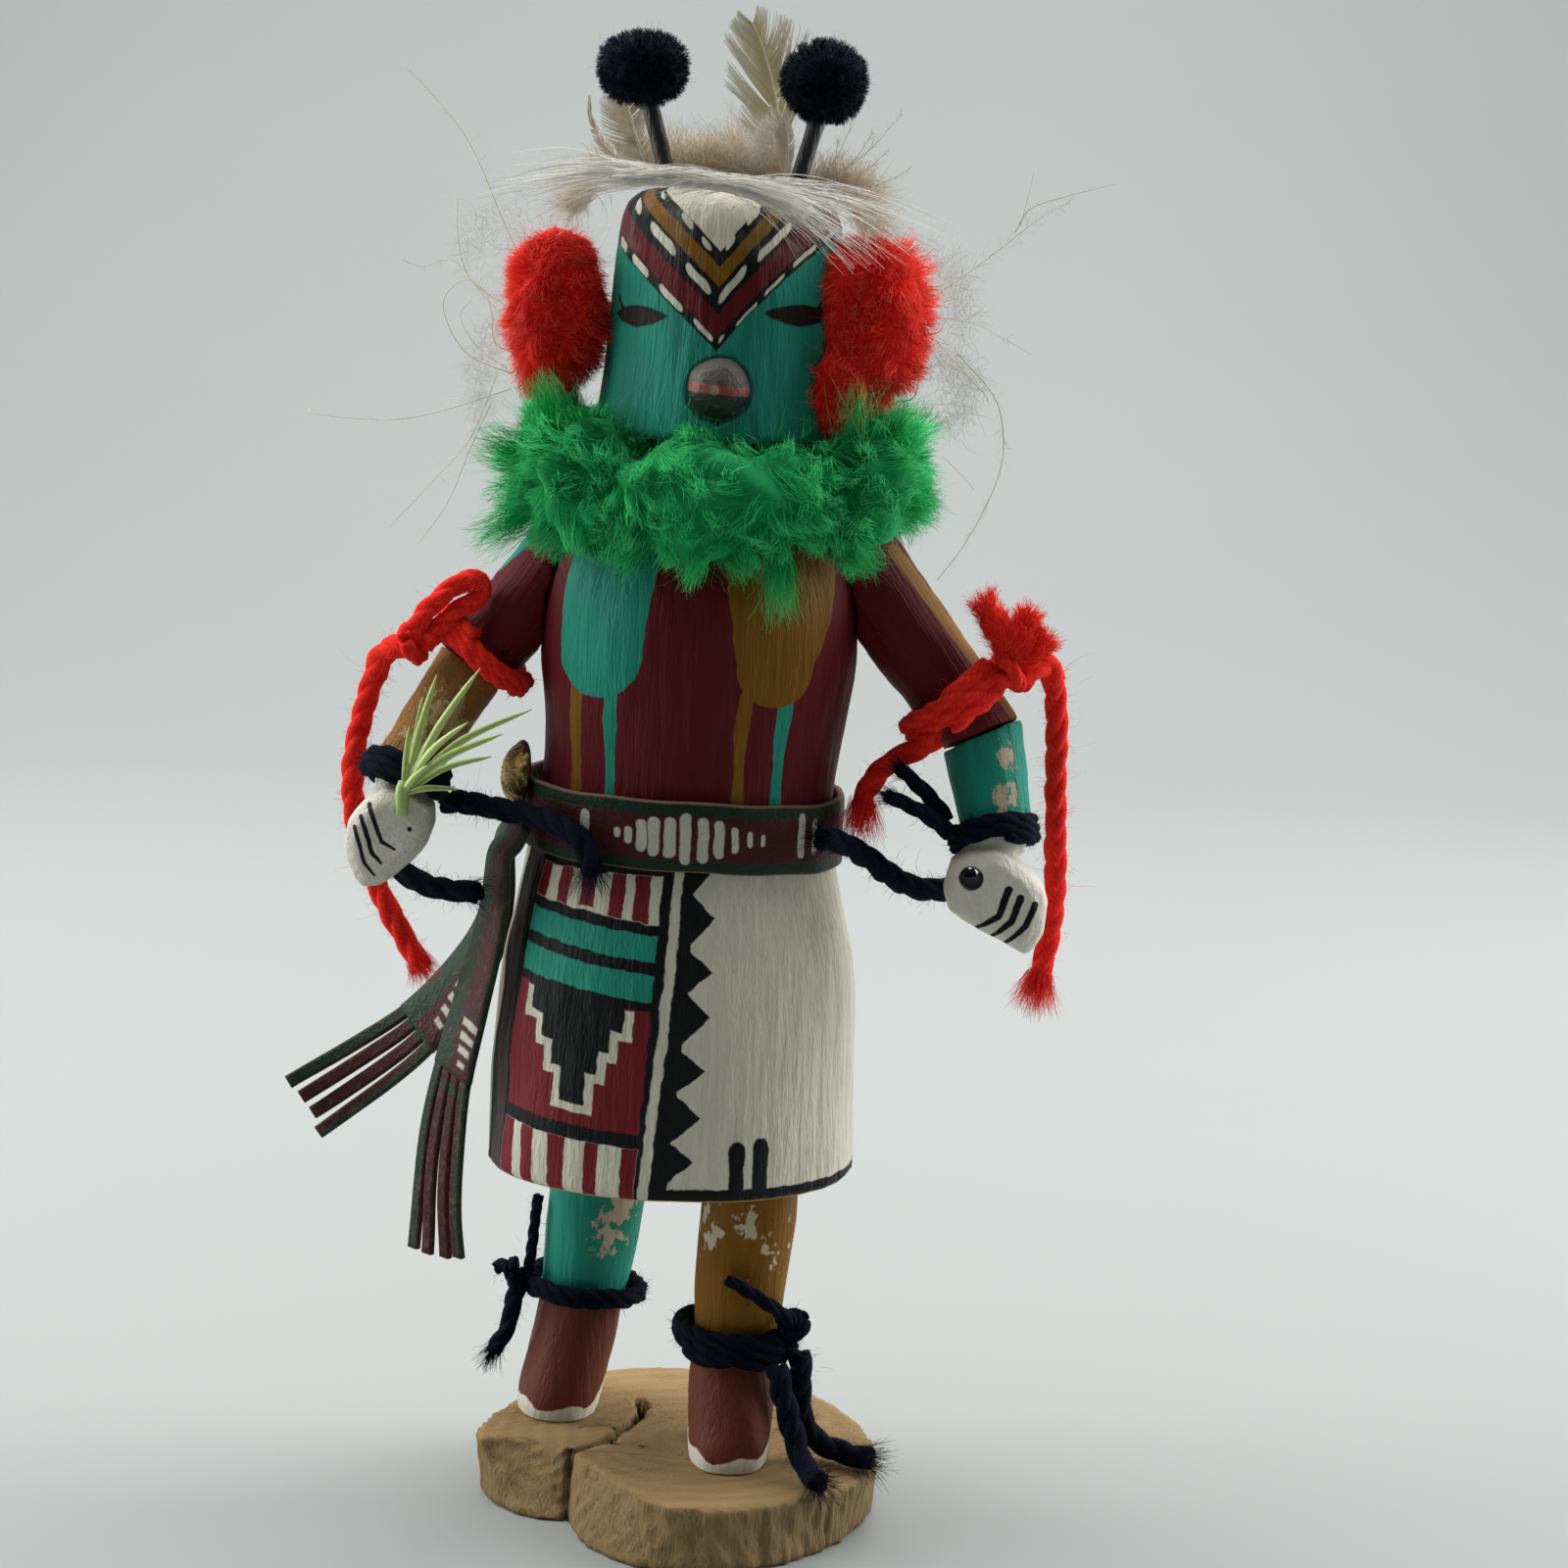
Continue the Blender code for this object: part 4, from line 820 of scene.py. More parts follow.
def grooves(points, seed, width=2.6, run=0.07):
    """How far the grain stands in or out: narrow upright grooves that wander, and soft ridges between."""
    along = points * (1, 1, run)
    narrow = sum(np.exp(-(ripple(along, width * size, seed + step) / 0.2) ** 2) * part
                 for step, (size, part) in enumerate(((1.0, 0.55), (1.7, 0.45))))
    return 0.5 * ripple(along, width * 1.3, seed + 5) - narrow


def carved(seed, middle, coarse=0.22, fine=0.07, grain=0.12, width=2.6):
    """Moves points in and out a little along x and y, as the knife and the grain leave them."""
    def change(points):
        way = unit((points - middle(points)) * (1, 1, 0))
        size = coarse * ripple(points, 21, seed + 2) + fine * ripple(points * (1, 1, 0.35), 6, seed + 3)
        return points + way * (size + grain * grooves(points, seed + 7, width))[:, None]
    return change


def wood_relief(paint, grooves=0.16, brush=0.05, scale=1.0, vector=None):
    """Grain that shows through the paint, and the brush's own streaks."""
    grain = paint.noise(0.85 * scale, detail=4, stretch=(1, 1, 0.09), vector=vector, roughness=0.6, distortion=0.4)
    pores = paint.noise(2.6 * scale, detail=3, stretch=(1, 1, 0.22), vector=vector)
    paint.raise_by(grain * grooves * 3.2 + pores * brush * 2.6)
    return grain, pores


def aged(paint, grain, pores, strength=0.22):
    paint.shade(grain, 1 - strength, 1 + strength * 0.7)
    paint.shade(pores, 1 - strength * 0.5, 1 + strength * 0.4)
    paint.shade(paint.noise(0.045, detail=3), 1 - strength * 0.8, 1 + strength * 0.7)
    return paint


def unsteady(paint, u, v, size=0.55, scale=0.32):
    """The surface coordinates with a hand's wobble, so that painted edges aren't ruled lines."""
    a, b = paint.noise(scale, detail=2), paint.noise(scale * 1.1, detail=2, stretch=(1.2, 0.9, 1.0))
    return u + (a - 0.5) * (2 * size), v + (b - 0.5) * (2 * size)


# The kilt's and torso's painted lines, as u round the body and height

TONGUES = (
    # colour, left edge at the top, left edge low, right edge at the top, right edge low, lowest point
    (TURQUOISE, -34.9, -33.6, -9.7, -10.9, -20.8, 170.9),
    (OCHRE, 6.3, 8.2, 32.5, 26.8, 19.0, 170.4),
)
DRIPS = ((OCHRE, -28.2, 1.9), (TURQUOISE, -17.9, 1.5), (OCHRE, 10.9, 1.45), (TURQUOISE, 20.6, 1.65))
TOOTH_HEIGHTS = (133.6, 123.7, 114.2, 104.0, 94.3, 84.2, 76.0)
TOOTH_TIPS = ((8.4, 138.4), (7.4, 128.7), (6.9, 118.2), (6.3, 109.1), (6.1, 98.3), (5.6, 88.8), (4.7, 79.8))
TOP_STRIPES = ((-36.4, -30.9, 0.0), (-27.1, -23.9, 0.0), (-20.9, -17.3, 0.8), (-13.5, -10.3, 0.0), (-8.2, -4.9, 0.0))
LOW_STRIPES = ((-37.2, -32.6), (-30.0, -26.5), (-22.6, -18.8), (-14.6, -12.0), (-7.5, -4.6))
PYRAMID = ((-29.9, -8.4, 106.4), (-26.2, -10.9, 101.7), (-23.3, -13.0, 96.9), (-20.6, -15.2, 90.3))
PYRAMID_EDGE = 1.75


def paint_kilt(paint, u, v):
    kilt = v.below(138.6)
    paint.over(kilt, CREAM, roughness=0.62)
    tilted = v + (u + 20.0) * 0.1
    # The black field with its saw edge, and the panel's ground
    field_right = (137.0 - v) * -0.047 + 3.4
    paint.over(kilt & (u.above(-43.5) & (u - field_right).inside()), BLACK, roughness=0.5)
    teeth = None
    for (tip_u, tip_v), low in zip(TOOTH_TIPS, TOOTH_HEIGHTS):
        high = tip_v + (tip_v - low) if tip_v < 138 else 145.0
        half = (high - low) / 2
        reach = tip_u - (3.4 - 0.047 * (137.0 - tip_v))
        tooth = abs(v - (high + low) / 2) * (reach / half) + u - tip_u
        mask = (tooth | (field_right - 0.3 - u)).inside()
        teeth = mask if teeth is None else (teeth | mask)
    paint.over(kilt & teeth, BLACK, roughness=0.5)
    line = (v - 105.0) * 0.059 - 1.45
    paint.over(kilt & (abs(u - line) - 0.85).inside(), CREAM)
    # The panel left of the upright line
    edge_right = (v - 134.0) * 0.035 - 2.75
    edge_left = (v - 112.0) * 0.05 - 35.3
    in_panel = ((u - edge_right) | (edge_left - u)).inside()
    top_row = in_panel & (tilted.above(128.5) & v.below(136.4))
    paint.over(top_row, CREAM)
    for low, high, cut in TOP_STRIPES:
        paint.over(top_row & (u.between(low, high) & tilted.above(128.6 + cut)), PANEL_RED)
    for low, high in ((121.2, 126.3), (113.3, 118.7)):
        paint.over(in_panel & tilted.between(low, high), TURQUOISE, roughness=0.55)
    slower = v + (u + 20.0) * 0.066
    paint.over(in_panel & (tilted.below(111.4) & slower.above(85.8)), PANEL_RED)
    outline, steps = None, None
    for left, right, low in PYRAMID:
        step = box_distance(u, tilted, left, right, low, 112.5)
        steps = step if steps is None else (steps & step)
    outline = (steps - PYRAMID_EDGE).inside() & tilted.below(111.0)
    paint.over(in_panel & outline, CREAM)
    paint.over(in_panel & steps.inside(), BLACK, roughness=0.5)
    low_row = in_panel & slower.below(82.9)
    paint.over(low_row, CREAM)
    for low, high in LOW_STRIPES:
        paint.over(low_row & u.between(low, high), PANEL_RED)
    # The grey-brown strip beside the panel is painted shade on the side of the kilt that turns away; then the hem and
    # the two bars
    paint.over(kilt & u.between(-44.6, -37.9 + 0.5), KILT_SIDE_SHADE)
    paint.over(kilt & u.between(-45.6, -44.4), BLACK)
    paint.over(v.below(74.2) & (u.above(-0.5) | u.below(-45.2)), BLACK, roughness=0.5)
    for low, high, top in ((11.0, 13.9, 84.0), (15.6, 18.8, 84.6)):
        bar = box_distance(u, v, low, high, 72.0, top) | (oval_distance(u, v, (low + high) / 2, top - 3.4,
                                                                        (high - low) / 2 + 0.5, 3.6) & (v - top + 3.4))
        paint.over(bar.inside(), BLACK, roughness=0.5)


def paint_torso(paint, u, v):
    for colour, centre, width in DRIPS:
        sway = (v * 0.22).sine() * 0.35 + centre
        widen = (v * 0.31).sine() * 0.25 + width
        drip = (abs(u - sway) - widen) | (v - 178.0)
        paint.over(drip.inside() & v.above(140.0), colour, roughness=0.55, proud=0.06)
    for colour, left_top, left_low, right_top, right_low, low_u, low_v in TONGUES:
        t = ((v - low_v - 8.2) * (1 / 10.8)) | 0.0
        left = t * (left_top - left_low) + left_low
        right = t * (right_top - right_low) + right_low
        sides = (left - u) | (u - right)
        half = (right_low - left_low) / 2
        foot = oval_distance(u, v, (left_low + right_low) / 2, low_v + 8.2, half, 8.2)
        tongue = (sides | (low_v + 8.2 - v)) & foot
        paint.over(tongue.inside(), colour, roughness=0.55, proud=0.06)


def body_paint():
    paint = Paint("body_paint", MAROON, roughness=0.6, specular=0.16)
    u, v = unsteady(paint, *paint.flat())
    grain, pores = wood_relief(paint)
    paint_torso(paint, u, v)
    paint_kilt(paint, u, v)
    kilt_bumps = paint.noise(0.9, detail=3, stretch=(1, 1, 0.32), roughness=0.55)
    paint.raise_by(kilt_bumps * (v.below(138.0) * 0.32))
    aged(paint, grain, pores)
    x, y, z = paint.split(paint.place())
    paint.over(z.below(71.75, 0.1), BARE_WOOD)
    return paint.done()


def chipped(paint, seed, ground, centre, half, amount=0.53):
    """Flaked paint round a place on a limb, down to the pale ground and the wood."""
    x, y, z = paint.split(paint.place())
    near = ((x - centre[0]) * (1 / half[0])).power(2.0) + ((z - centre[1]) * (1 / half[1])).power(2.0)
    flake = paint.noise(0.32, detail=5, stretch=(1.0, 1.0, 0.75), roughness=0.62,
                        vector=paint.vector("ADD", paint.place(), (seed, 0, 0)))
    mask = (near * 0.16 + amount - flake * 1.0).inside(0.035)
    paint.over(mask, ground, roughness=0.75, proud=-0.12)


def leg_paint(name, colour, chips):
    paint = Paint(name, colour, roughness=0.58, specular=0.16)
    u, v = unsteady(paint, *paint.flat(), size=0.5)
    grain, pores = wood_relief(paint, grooves=0.12)
    for seed, centre, half, amount in chips:
        chipped(paint, seed, rgb(196, 184, 160), centre, half, amount)
    paint.over(v.below(37.0), BOOT_BROWN, roughness=0.55)
    sole = (u * 0.62).sine() * 0.7 + 15.4 + (u * 0.1).power(2.0) * 1.1
    paint.over((v - sole).inside(0.3), WHITE, roughness=0.65, proud=0.08)
    aged(paint, grain, pores)
    return paint.done()


def leg_rings(sections, angles):
    heights = np.concatenate([[12.8, 13.1, 13.6, 14.3], np.arange(15.2, 84.0, 1.3)])
    rings, flat = [], []
    for height in heights:
        cx, cy, a, b, power = eased(sections, height, 1.6 if height > 16 else 0.3)
        x, y = oval(angles[:-1], a, b, power)
        rings.append(np.stack([x + cx, y + cy, np.full_like(x, height)], axis=-1))
        flat.append(np.stack([LEG_ROUND * angles, np.full_like(angles, height)], axis=-1))
    return np.array(rings), np.array(flat)


def body_middle(points):
    """The middle of the limb or trunk that each point belongs to."""
    trunk = np.interp(points[:, 2], BODY_SECTIONS[:, 0], BODY_SECTIONS[:, 1])
    middle = np.column_stack([trunk, np.zeros(len(points)), points[:, 2]])
    for leg, own in ((RIGHT_LEG, points[:, 0] < -1.0), (LEFT_LEG, points[:, 0] >= -1.0)):
        below = own & (points[:, 2] < BODY_SECTIONS[0, 0] - 0.01)
        middle[below, 0] = np.interp(points[below, 2], leg[::-1, 0], leg[::-1, 1])
        middle[below, 1] = np.interp(points[below, 2], leg[::-1, 0], leg[::-1, 2])
    return middle


def make_body():
    angles = np.linspace(-math.pi, math.pi, 341)
    heights = np.concatenate([[71.5, 71.7, 72.1, 72.7, 73.6], np.arange(74.8, 221.0, 1.8), [221.3, 221.7]])
    shell = Shell()
    rings = [body_ring(z, angles[:-1], reach=min(3.0, max(0.0, z - 73.5))) for z in heights]
    flat = [np.stack([BODY_ROUND * angles, np.full_like(angles, z)], axis=-1) for z in heights]
    shell.rings(rings, np.array(flat))
    leg_angles = np.linspace(-math.pi, math.pi, 73)
    for slot, sections in ((1, RIGHT_LEG), (2, LEFT_LEG)):
        rings, flat = leg_rings(sections, leg_angles)
        shell.rings(rings, flat, slot=slot)
    shell.move(carved(11, body_middle, grain=0.11))
    materials = [
        body_paint(),
        leg_paint("right_leg_paint", TURQUOISE, ((3.0, (-15.5, 53.0), (5.5, 6.5), 0.50), (9.0, (-12.0, 60.0), (4.0, 6.0), 0.42))),
        leg_paint("left_leg_paint", OCHRE, ((5.0, (18.0, 60.0), (7.0, 12.0), 0.52), (12.0, (8.0, 62.0), (4.0, 9.0), 0.50))),
    ]
    shell.piece("carved_body", materials, "kilt_and_torso_paint", ["body"])


# The head's bands: u round the head, and the level of the V that each band keeps to

V_CENTRE = -1.6
V_LEVELS = ((239.6, 300.0, BLACK), (241.9, 246.7, MAROON), (251.7, 255.5, OCHRE), (258.5, 300.0, CREAM))
# Dashes: from, to (distance from the V's middle), level, half height; the first row is on the left
DASHES = (
    ((0.9, 4.6, 241.0, 0.6), (7.4, 12.8, 240.9, 0.75), (16.6, 22.0, 240.7, 0.8), (25.4, 29.5, 240.6, 0.8),
     (2.0, 6.9, 249.3, 1.0), (10.2, 17.0, 249.7, 1.1), (21.8, 25.0, 250.0, 1.0),
     (2.2, 4.0, 257.1, 0.75), (6.5, 8.8, 257.5, 0.85), (14.0, 15.2, 257.2, 0.6)),
    ((0.5, 1.3, 240.9, 0.45), (3.8, 7.7, 240.3, 0.35), (9.3, 13.6, 240.6, 0.4), (16.0, 22.2, 240.9, 0.5),
     (25.5, 29.5, 240.9, 0.5), (0.2, 5.2, 249.2, 1.05), (8.0, 15.4, 248.8, 0.95), (18.6, 21.8, 248.6, 0.8),
     (1.2, 2.6, 257.9, 0.75), (5.4, 7.7, 258.0, 0.8), (10.4, 11.6, 257.0, 0.6)),
)


def head_paint():
    paint = Paint("mask_paint", TURQUOISE, roughness=0.55, specular=0.16)
    plain_u, plain_v = paint.flat()
    u, v = unsteady(paint, plain_u, plain_v, size=0.3)
    grain, pores = wood_relief(paint, grooves=0.2)
    paint.over(paint.noise(0.12, detail=3, stretch=(1, 1, 0.3)).ramp(0.4, 0.7) * 0.5, TURQUOISE_DARK)
    out = u - V_CENTRE
    left_rise = out * -0.93 - out * out * 0.0095
    right_rise = out * 1.25 - out * out * 0.0172
    is_right = out.above(0.0, 0.01)
    rise = is_right * (right_rise - left_rise) + left_rise
    level = v - rise
    within = abs(u).below(37.0, 0.5)
    for low, high, colour in V_LEVELS:
        paint.over(within & level.between(low, high), colour, roughness=0.5, proud=0.05)
    for side, row in zip((1 - is_right, is_right), DASHES):
        along = abs(out)
        marks = None
        for start, end, height, half in row:
            away = (abs(along - (start + end) / 2) - ((end - start) / 2 - half * 0.7)) | 0.0
            off = (level - height) * 0.95
            mark = (away * away + off * off).math("SQRT") - half
            marks = mark if marks is None else (marks & mark)
        paint.over(side & marks.inside(), CREAM, proud=0.05)
    # The half-moon eyes
    for centre, way in ((-20.2, -1.0), (15.9, 1.0)):
        drop = 245.5 if way < 0 else 247.0
        a = (u - centre) * (1 / 7.9)
        upper = v - drop - 2.0 + a * a * 1.6
        lower = drop - 2.2 - v + a * a * 2.2
        eye = upper | lower
        tail = stroke_distance(u, v, (centre + way * 4.5, drop + 0.6), (centre + way * 7.6, drop + 3.4), 0.75, 0.3)
        paint.over((eye & tail).inside(), rgb(30, 20, 20), roughness=0.5, proud=0.04)
    paint.over(oval_distance(u, v, -0.9, 225.8, 0.55, 0.55).inside(0.2), BLACK)
    # Painted shade: a darker turquoise ring round the foot of the peg
    ring = oval_distance(plain_u, plain_v, -0.9, 232.3, 6.7, 6.6)
    paint.over(ring.inside(0.5) * 0.75, rgb(12, 34, 32))
    paint.over(box_distance(u, v, -29.5, -26.0, 221.0, 224.6).inside(0.6), rgb(96, 34, 26))
    x, y, z = paint.split(paint.place())
    stain = paint.noise(0.16, detail=3).ramp(0.45, 0.75)
    paint.over(z.above(258.0, 4.0) * stain * 0.35, rgb(150, 160, 146))
    paint.over(z.below(222.2, 0.2), BARE_WOOD)
    aged(paint, grain, pores, 0.2)
    return paint.done()


def make_head():
    angles = np.linspace(-math.pi, math.pi, 281)
    heights = np.concatenate([
        HEAD_PROFILE[:3, 0], np.arange(224.0, 264.0, 1.0), [264.5, 265.4, 266.3, 267.2, 268.0, 268.8, 269.5, 269.9, 270.3]])
    rings, flat = [], []
    for height in heights:
        radius = eased(HEAD_PROFILE, height, 0.0 if height < 224 or height > 269 else 0.9)[0]
        x, y = radius * np.sin(angles[:-1]), -radius * np.cos(angles[:-1])
        rings.append(np.stack([x + HEAD_CENTRE[0], y + HEAD_CENTRE[1], np.full_like(x, height)], axis=-1))
        # On the dome the front's painted lines run straight up instead of drawing together
        straight = np.arcsin((min(radius / DOME_RADIUS, 1.0) * np.sin(angles)).clip(-1, 1))
        spread = lerp(straight, angles, smooth_step(np.abs(angles), 0.6, 1.4)) if radius < DOME_RADIUS else angles
        flat.append(np.stack([HEAD_ROUND * spread, np.full_like(angles, height)], axis=-1))
    shell = Shell().rings(rings, np.array(flat))
    shell.move(carved(23, lambda points: np.array((*HEAD_CENTRE, 0.0)), 0.16, 0.06, grain=0.15, width=2.2))
    shell.piece("painted_head", head_paint(), "mask_paint", ["head"])


PEG_MIDDLE = np.array((2.9, -23.2, 232.4))
PEG_RADIUS = 6.0


def make_peg():
    """The beak: the sawn and painted end of a peg, a low dome that stands out of the head."""
    turns = np.linspace(-math.pi, math.pi, 49)
    rings = []
    for share in np.linspace(0.0, 1.0, 15):
        bend = share * math.pi / 2
        radius, out = PEG_RADIUS * math.cos(bend) ** 0.85, PEG_RADIUS * math.sin(bend) * 0.95
        rings.append(np.stack([radius * np.sin(turns[:-1]), np.full(48, -out), radius * np.cos(turns[:-1])], axis=-1))
    rings.insert(0, rings[0] + (0.0, 3.0, 0.0))
    shell = Shell().rings(np.array(rings)[:, ::-1] + PEG_MIDDLE)
    shell.move(lambda points: points + unit(points - PEG_MIDDLE) * (0.12 * ripple(points, 5, 4))[:, None])
    paint = Paint("mouth_paint", rgb(88, 84, 78), roughness=0.42, specular=0.3)
    x, y, z = paint.split(paint.place())
    a, b = unsteady(paint, x - PEG_MIDDLE[0], z - PEG_MIDDLE[2], size=0.3, scale=0.5)
    tilt = b + a * 0.06
    # The peg is dark paint all over: the paler grey above the red band is painted light on its upper half, the darker
    # grey below it painted shade on its lower half
    paint.over(tilt.below(-0.9, 0.5), rgb(34, 42, 40), roughness=0.35)
    paint.over(tilt.between(-0.9, 0.9, 0.4), rgb(142, 72, 66))
    paint.over(oval_distance(a, tilt, -0.8, -0.1, 0.9, 1.0).inside(0.3), rgb(150, 132, 104))
    fine = paint.noise(1.3, detail=4)
    paint.shade(fine, 0.6, 1.35)
    paint.over(paint.noise(0.7, detail=3).ramp(0.6, 0.72) * 0.5, rgb(120, 116, 108))
    paint.raise_by(fine * 0.3)
    shell.piece("painted_peg", paint.done(), "mouth_paint", ["mouth_peg"])


# The arms, whose solids are smoothed and given the knife's facets

RIGHT_SHOULDER, RIGHT_ELBOW, RIGHT_WRIST = (-27.0, 0.5, 196.6), (-45.6, -1.0, 173.2), (-58.0, -10.5, 152.5)
LEFT_SHOULDER, LEFT_ELBOW, LEFT_WRIST = (30.6, 0.5, 198.6), (58.6, -2.0, 163.8), (61.9, -8.5, 146.6)
RIGHT_HAND = (-59.5, -15.0, 140.6)
LEFT_HAND = (62.3, -13.0, 132.8)


def fine_mesh(node, voxel, rounds):
    """The node's solid as an even, fine mesh in millimetres: points, faces and normals."""
    guide = bpy.data.objects.new("guide", NODES[node].data.copy())
    bpy.context.scene.collection.objects.link(guide)
    remesh = guide.modifiers.new("even", "REMESH")
    remesh.mode = "VOXEL"
    remesh.voxel_size = voxel * MM
    smooth = guide.modifiers.new("soften", "SMOOTH")
    smooth.iterations = rounds
    smooth.factor = 0.5
    mesh = bpy.data.meshes.new_from_object(guide.evaluated_get(bpy.context.evaluated_depsgraph_get()))
    guide_data = guide.data
    bpy.data.objects.remove(guide)
    bpy.data.meshes.remove(guide_data)
    points, normals = np.empty(len(mesh.vertices) * 3, np.float32), np.empty(len(mesh.vertices) * 3, np.float32)
    mesh.vertices.foreach_get("co", points)
    mesh.vertices.foreach_get("normal", normals)
    faces = np.array([face.vertices[:] for face in mesh.polygons])
    bpy.data.meshes.remove(mesh)
    return points.reshape(-1, 3).astype(float) / MM, faces, normals.reshape(-1, 3).astype(float)


def carved_piece(name, node, material, slot, voxel, rounds, coarse, seed):
    points, faces, normals = fine_mesh(node, voxel, rounds)
    size = coarse * ripple(points, 9, seed) + coarse * 0.35 * ripple(points, 3.2, seed + 1)
    Shell().add(points + normals * size[:, None], faces).piece(name, material, slot, [node])


def upper_arm_paint(name, start, end, stripes):
    paint = Paint(name, MAROON, roughness=0.6, specular=0.16)
    grain, pores = wood_relief(paint, vector=paint.along(np.subtract(end, start)))
    x, y, z = paint.split(paint.place())
    wobble = (paint.noise(0.3) - 0.5) * 0.8
    for colour, a, b, half, front in stripes:
        stroke = stroke_distance(x + wobble, z, a, b, half)
        paint.over((stroke | (y - front)).inside(), colour, roughness=0.55, proud=0.05)
    if "right" in name:
        paint.over(oval_distance(x, z, -38.2, 177.1, 0.8, 0.7).inside(0.2), BLACK)
    aged(paint, grain, pores)
    return paint.done()


def forearm_paint(name, colour, elbow, wrist, edge, ground, chips, strokes, dark, rough):
    """The sleeve's colour down to the wrist, then the pale hand with its fingers in black strokes."""
    paint = Paint(name, colour, roughness=0.6, specular=0.16)
    grain, pores = wood_relief(paint, vector=paint.along(np.subtract(wrist, elbow)), grooves=0.14)
    for seed, centre, half, amount in chips:
        chipped(paint, seed, ground, centre, half, amount)
    x, y, z = paint.split(paint.place())
    wobble = paint.noise(0.4) - 0.5
    down = Num(paint.tree, paint.vector("DOT_PRODUCT", paint.place(), tuple(unit(np.subtract(wrist, elbow)))))
    paint.over((edge - down + wobble * 1.2).inside(), WHITE, roughness=0.62, proud=0.06)
    paint.raise_by(paint.noise(1.0, detail=5, roughness=0.6) * rough)
    for start, middle, end, half in strokes:
        near = stroke_distance(x + wobble * 0.5, z, start, middle, half, half * 0.9)
        far = stroke_distance(x + wobble * 0.5, z, middle, end, half * 0.9, half * 0.55)
        paint.over(((near & far) | (y - LEFT_HAND[1] - 1.0)).inside(0.2), BLACK, roughness=0.5, proud=0.04)
    # Dark ovals on the fists; on the left fist this is painted shade inside the grip hole
    for centre, size in dark:
        paint.over(oval_distance(x, z, *centre, *size).inside(0.3), rgb(26, 22, 18))
    aged(paint, grain, pores, 0.14)
    return paint.done()


RIGHT_FINGERS = (
    ((-63.1, 147.4), (-60.4, 140.2), (-57.7, 138.8), 0.5),
    ((-64.6, 145.0), (-62.1, 137.6), (-60.3, 135.9), 0.5),
    ((-65.9, 142.9), (-63.6, 135.7), (-61.6, 133.4), 0.45),
)
LEFT_FINGERS = (
    ((64.4, 135.6), (62.7, 130.2), (58.6, 127.6), 0.8),
    ((66.8, 134.0), (65.3, 129.2), (61.7, 126.0), 0.8),
    ((69.8, 132.8), (68.2, 128.4), (64.3, 124.6), 0.75),
)


def make_arms():
    for side, shoulder, elbow, stripes in (
        ("right", RIGHT_SHOULDER, RIGHT_ELBOW, ((TURQUOISE, (-41.0, 193.6), (-31.0, 203.4), 0.9, 6.0),)),
        ("left", LEFT_SHOULDER, LEFT_ELBOW, ((OCHRE, (38.6, 201.0), (65.0, 168.6), 1.15, 1.0),)),
    ):
        paint = upper_arm_paint(f"{side}_arm_paint", shoulder, elbow, stripes)
        carved_piece(f"upper_arm_{side}_carved", f"upper_arm_{side}", paint, "arm_paint", 0.75, 4, 0.12, len(side))
    right = forearm_paint(
        "right_hand_paint", rgb(150, 108, 54), RIGHT_ELBOW, RIGHT_WRIST,
        float(np.dot(unit(np.subtract(RIGHT_WRIST, RIGHT_ELBOW)), lerp(RIGHT_ELBOW, RIGHT_WRIST, 1.0))),
        rgb(186, 160, 116), ((2.0, (-50.0, 163.0), (8.0, 9.0), 0.46),), RIGHT_FINGERS,
        (((-54.9, 143.0), (0.5, 0.5)),), 1.0)
    left = forearm_paint(
        "left_hand_paint", TURQUOISE, LEFT_ELBOW, LEFT_WRIST,
        float(np.dot(unit(np.subtract(LEFT_WRIST, LEFT_ELBOW)), lerp(LEFT_ELBOW, LEFT_WRIST, 1.05))),
        rgb(186, 172, 146), ((7.0, (63.4, 160.4), (2.6, 4.6), 0.45), (1.0, (63.8, 152.8), (3.4, 3.8), 0.43)), LEFT_FINGERS,
        (((56.9, 137.5), (2.4, 2.4)),), 0.35)
    carved_piece("forearm_right_carved", "forearm_right", right, "hand_paint", 0.6, 4, 0.11, 31)
    carved_piece("forearm_left_carved", "forearm_left", left, "hand_paint", 0.6, 4, 0.11, 37)


# The base: a slice of a branch, sawn across, with a crease between its two lobes and a crack that runs on from it

CRACKS = (
    # x and y along the crack, half width, depth
    (((-12.2, -8.5), (-10.8, -4.5), (-9.4, 0.0), (-7.1, 4.9), (-5.6, 13.0), (-6.5, 17.8)), 1.0, 5.0),
    (((-18.9, -14.4), (-15.6, -11.2), (-12.2, -8.5)), 0.5, 2.0),
    (((-18.3, -0.1), (-14.6, 1.0), (-9.6, 0.4)), 0.35, 1.0),
    (((-12.0, -8.8), (-3.5, -10.0), (4.4, -13.0)), 0.35, 1.0),
)
CREASE_X, CREASE_DEPTH = -19.2, 2.2
BASE_TOP = 12.5


def crack_depth(points):
    """How deep the cracks cut at each point of the top."""
    depth = np.zeros(len(points))
    for line, half, deep in CRACKS:
        away = np.min(np.linalg.norm(points[:, None, :2] - spline(line, 60)[None], axis=2), axis=1)
        half = half * (1 + 0.35 * ripple(points, 8, 12))
        depth = np.maximum(depth, deep * (1 - smooth_step(away, half * 0.4, half * 1.3)))
    return depth


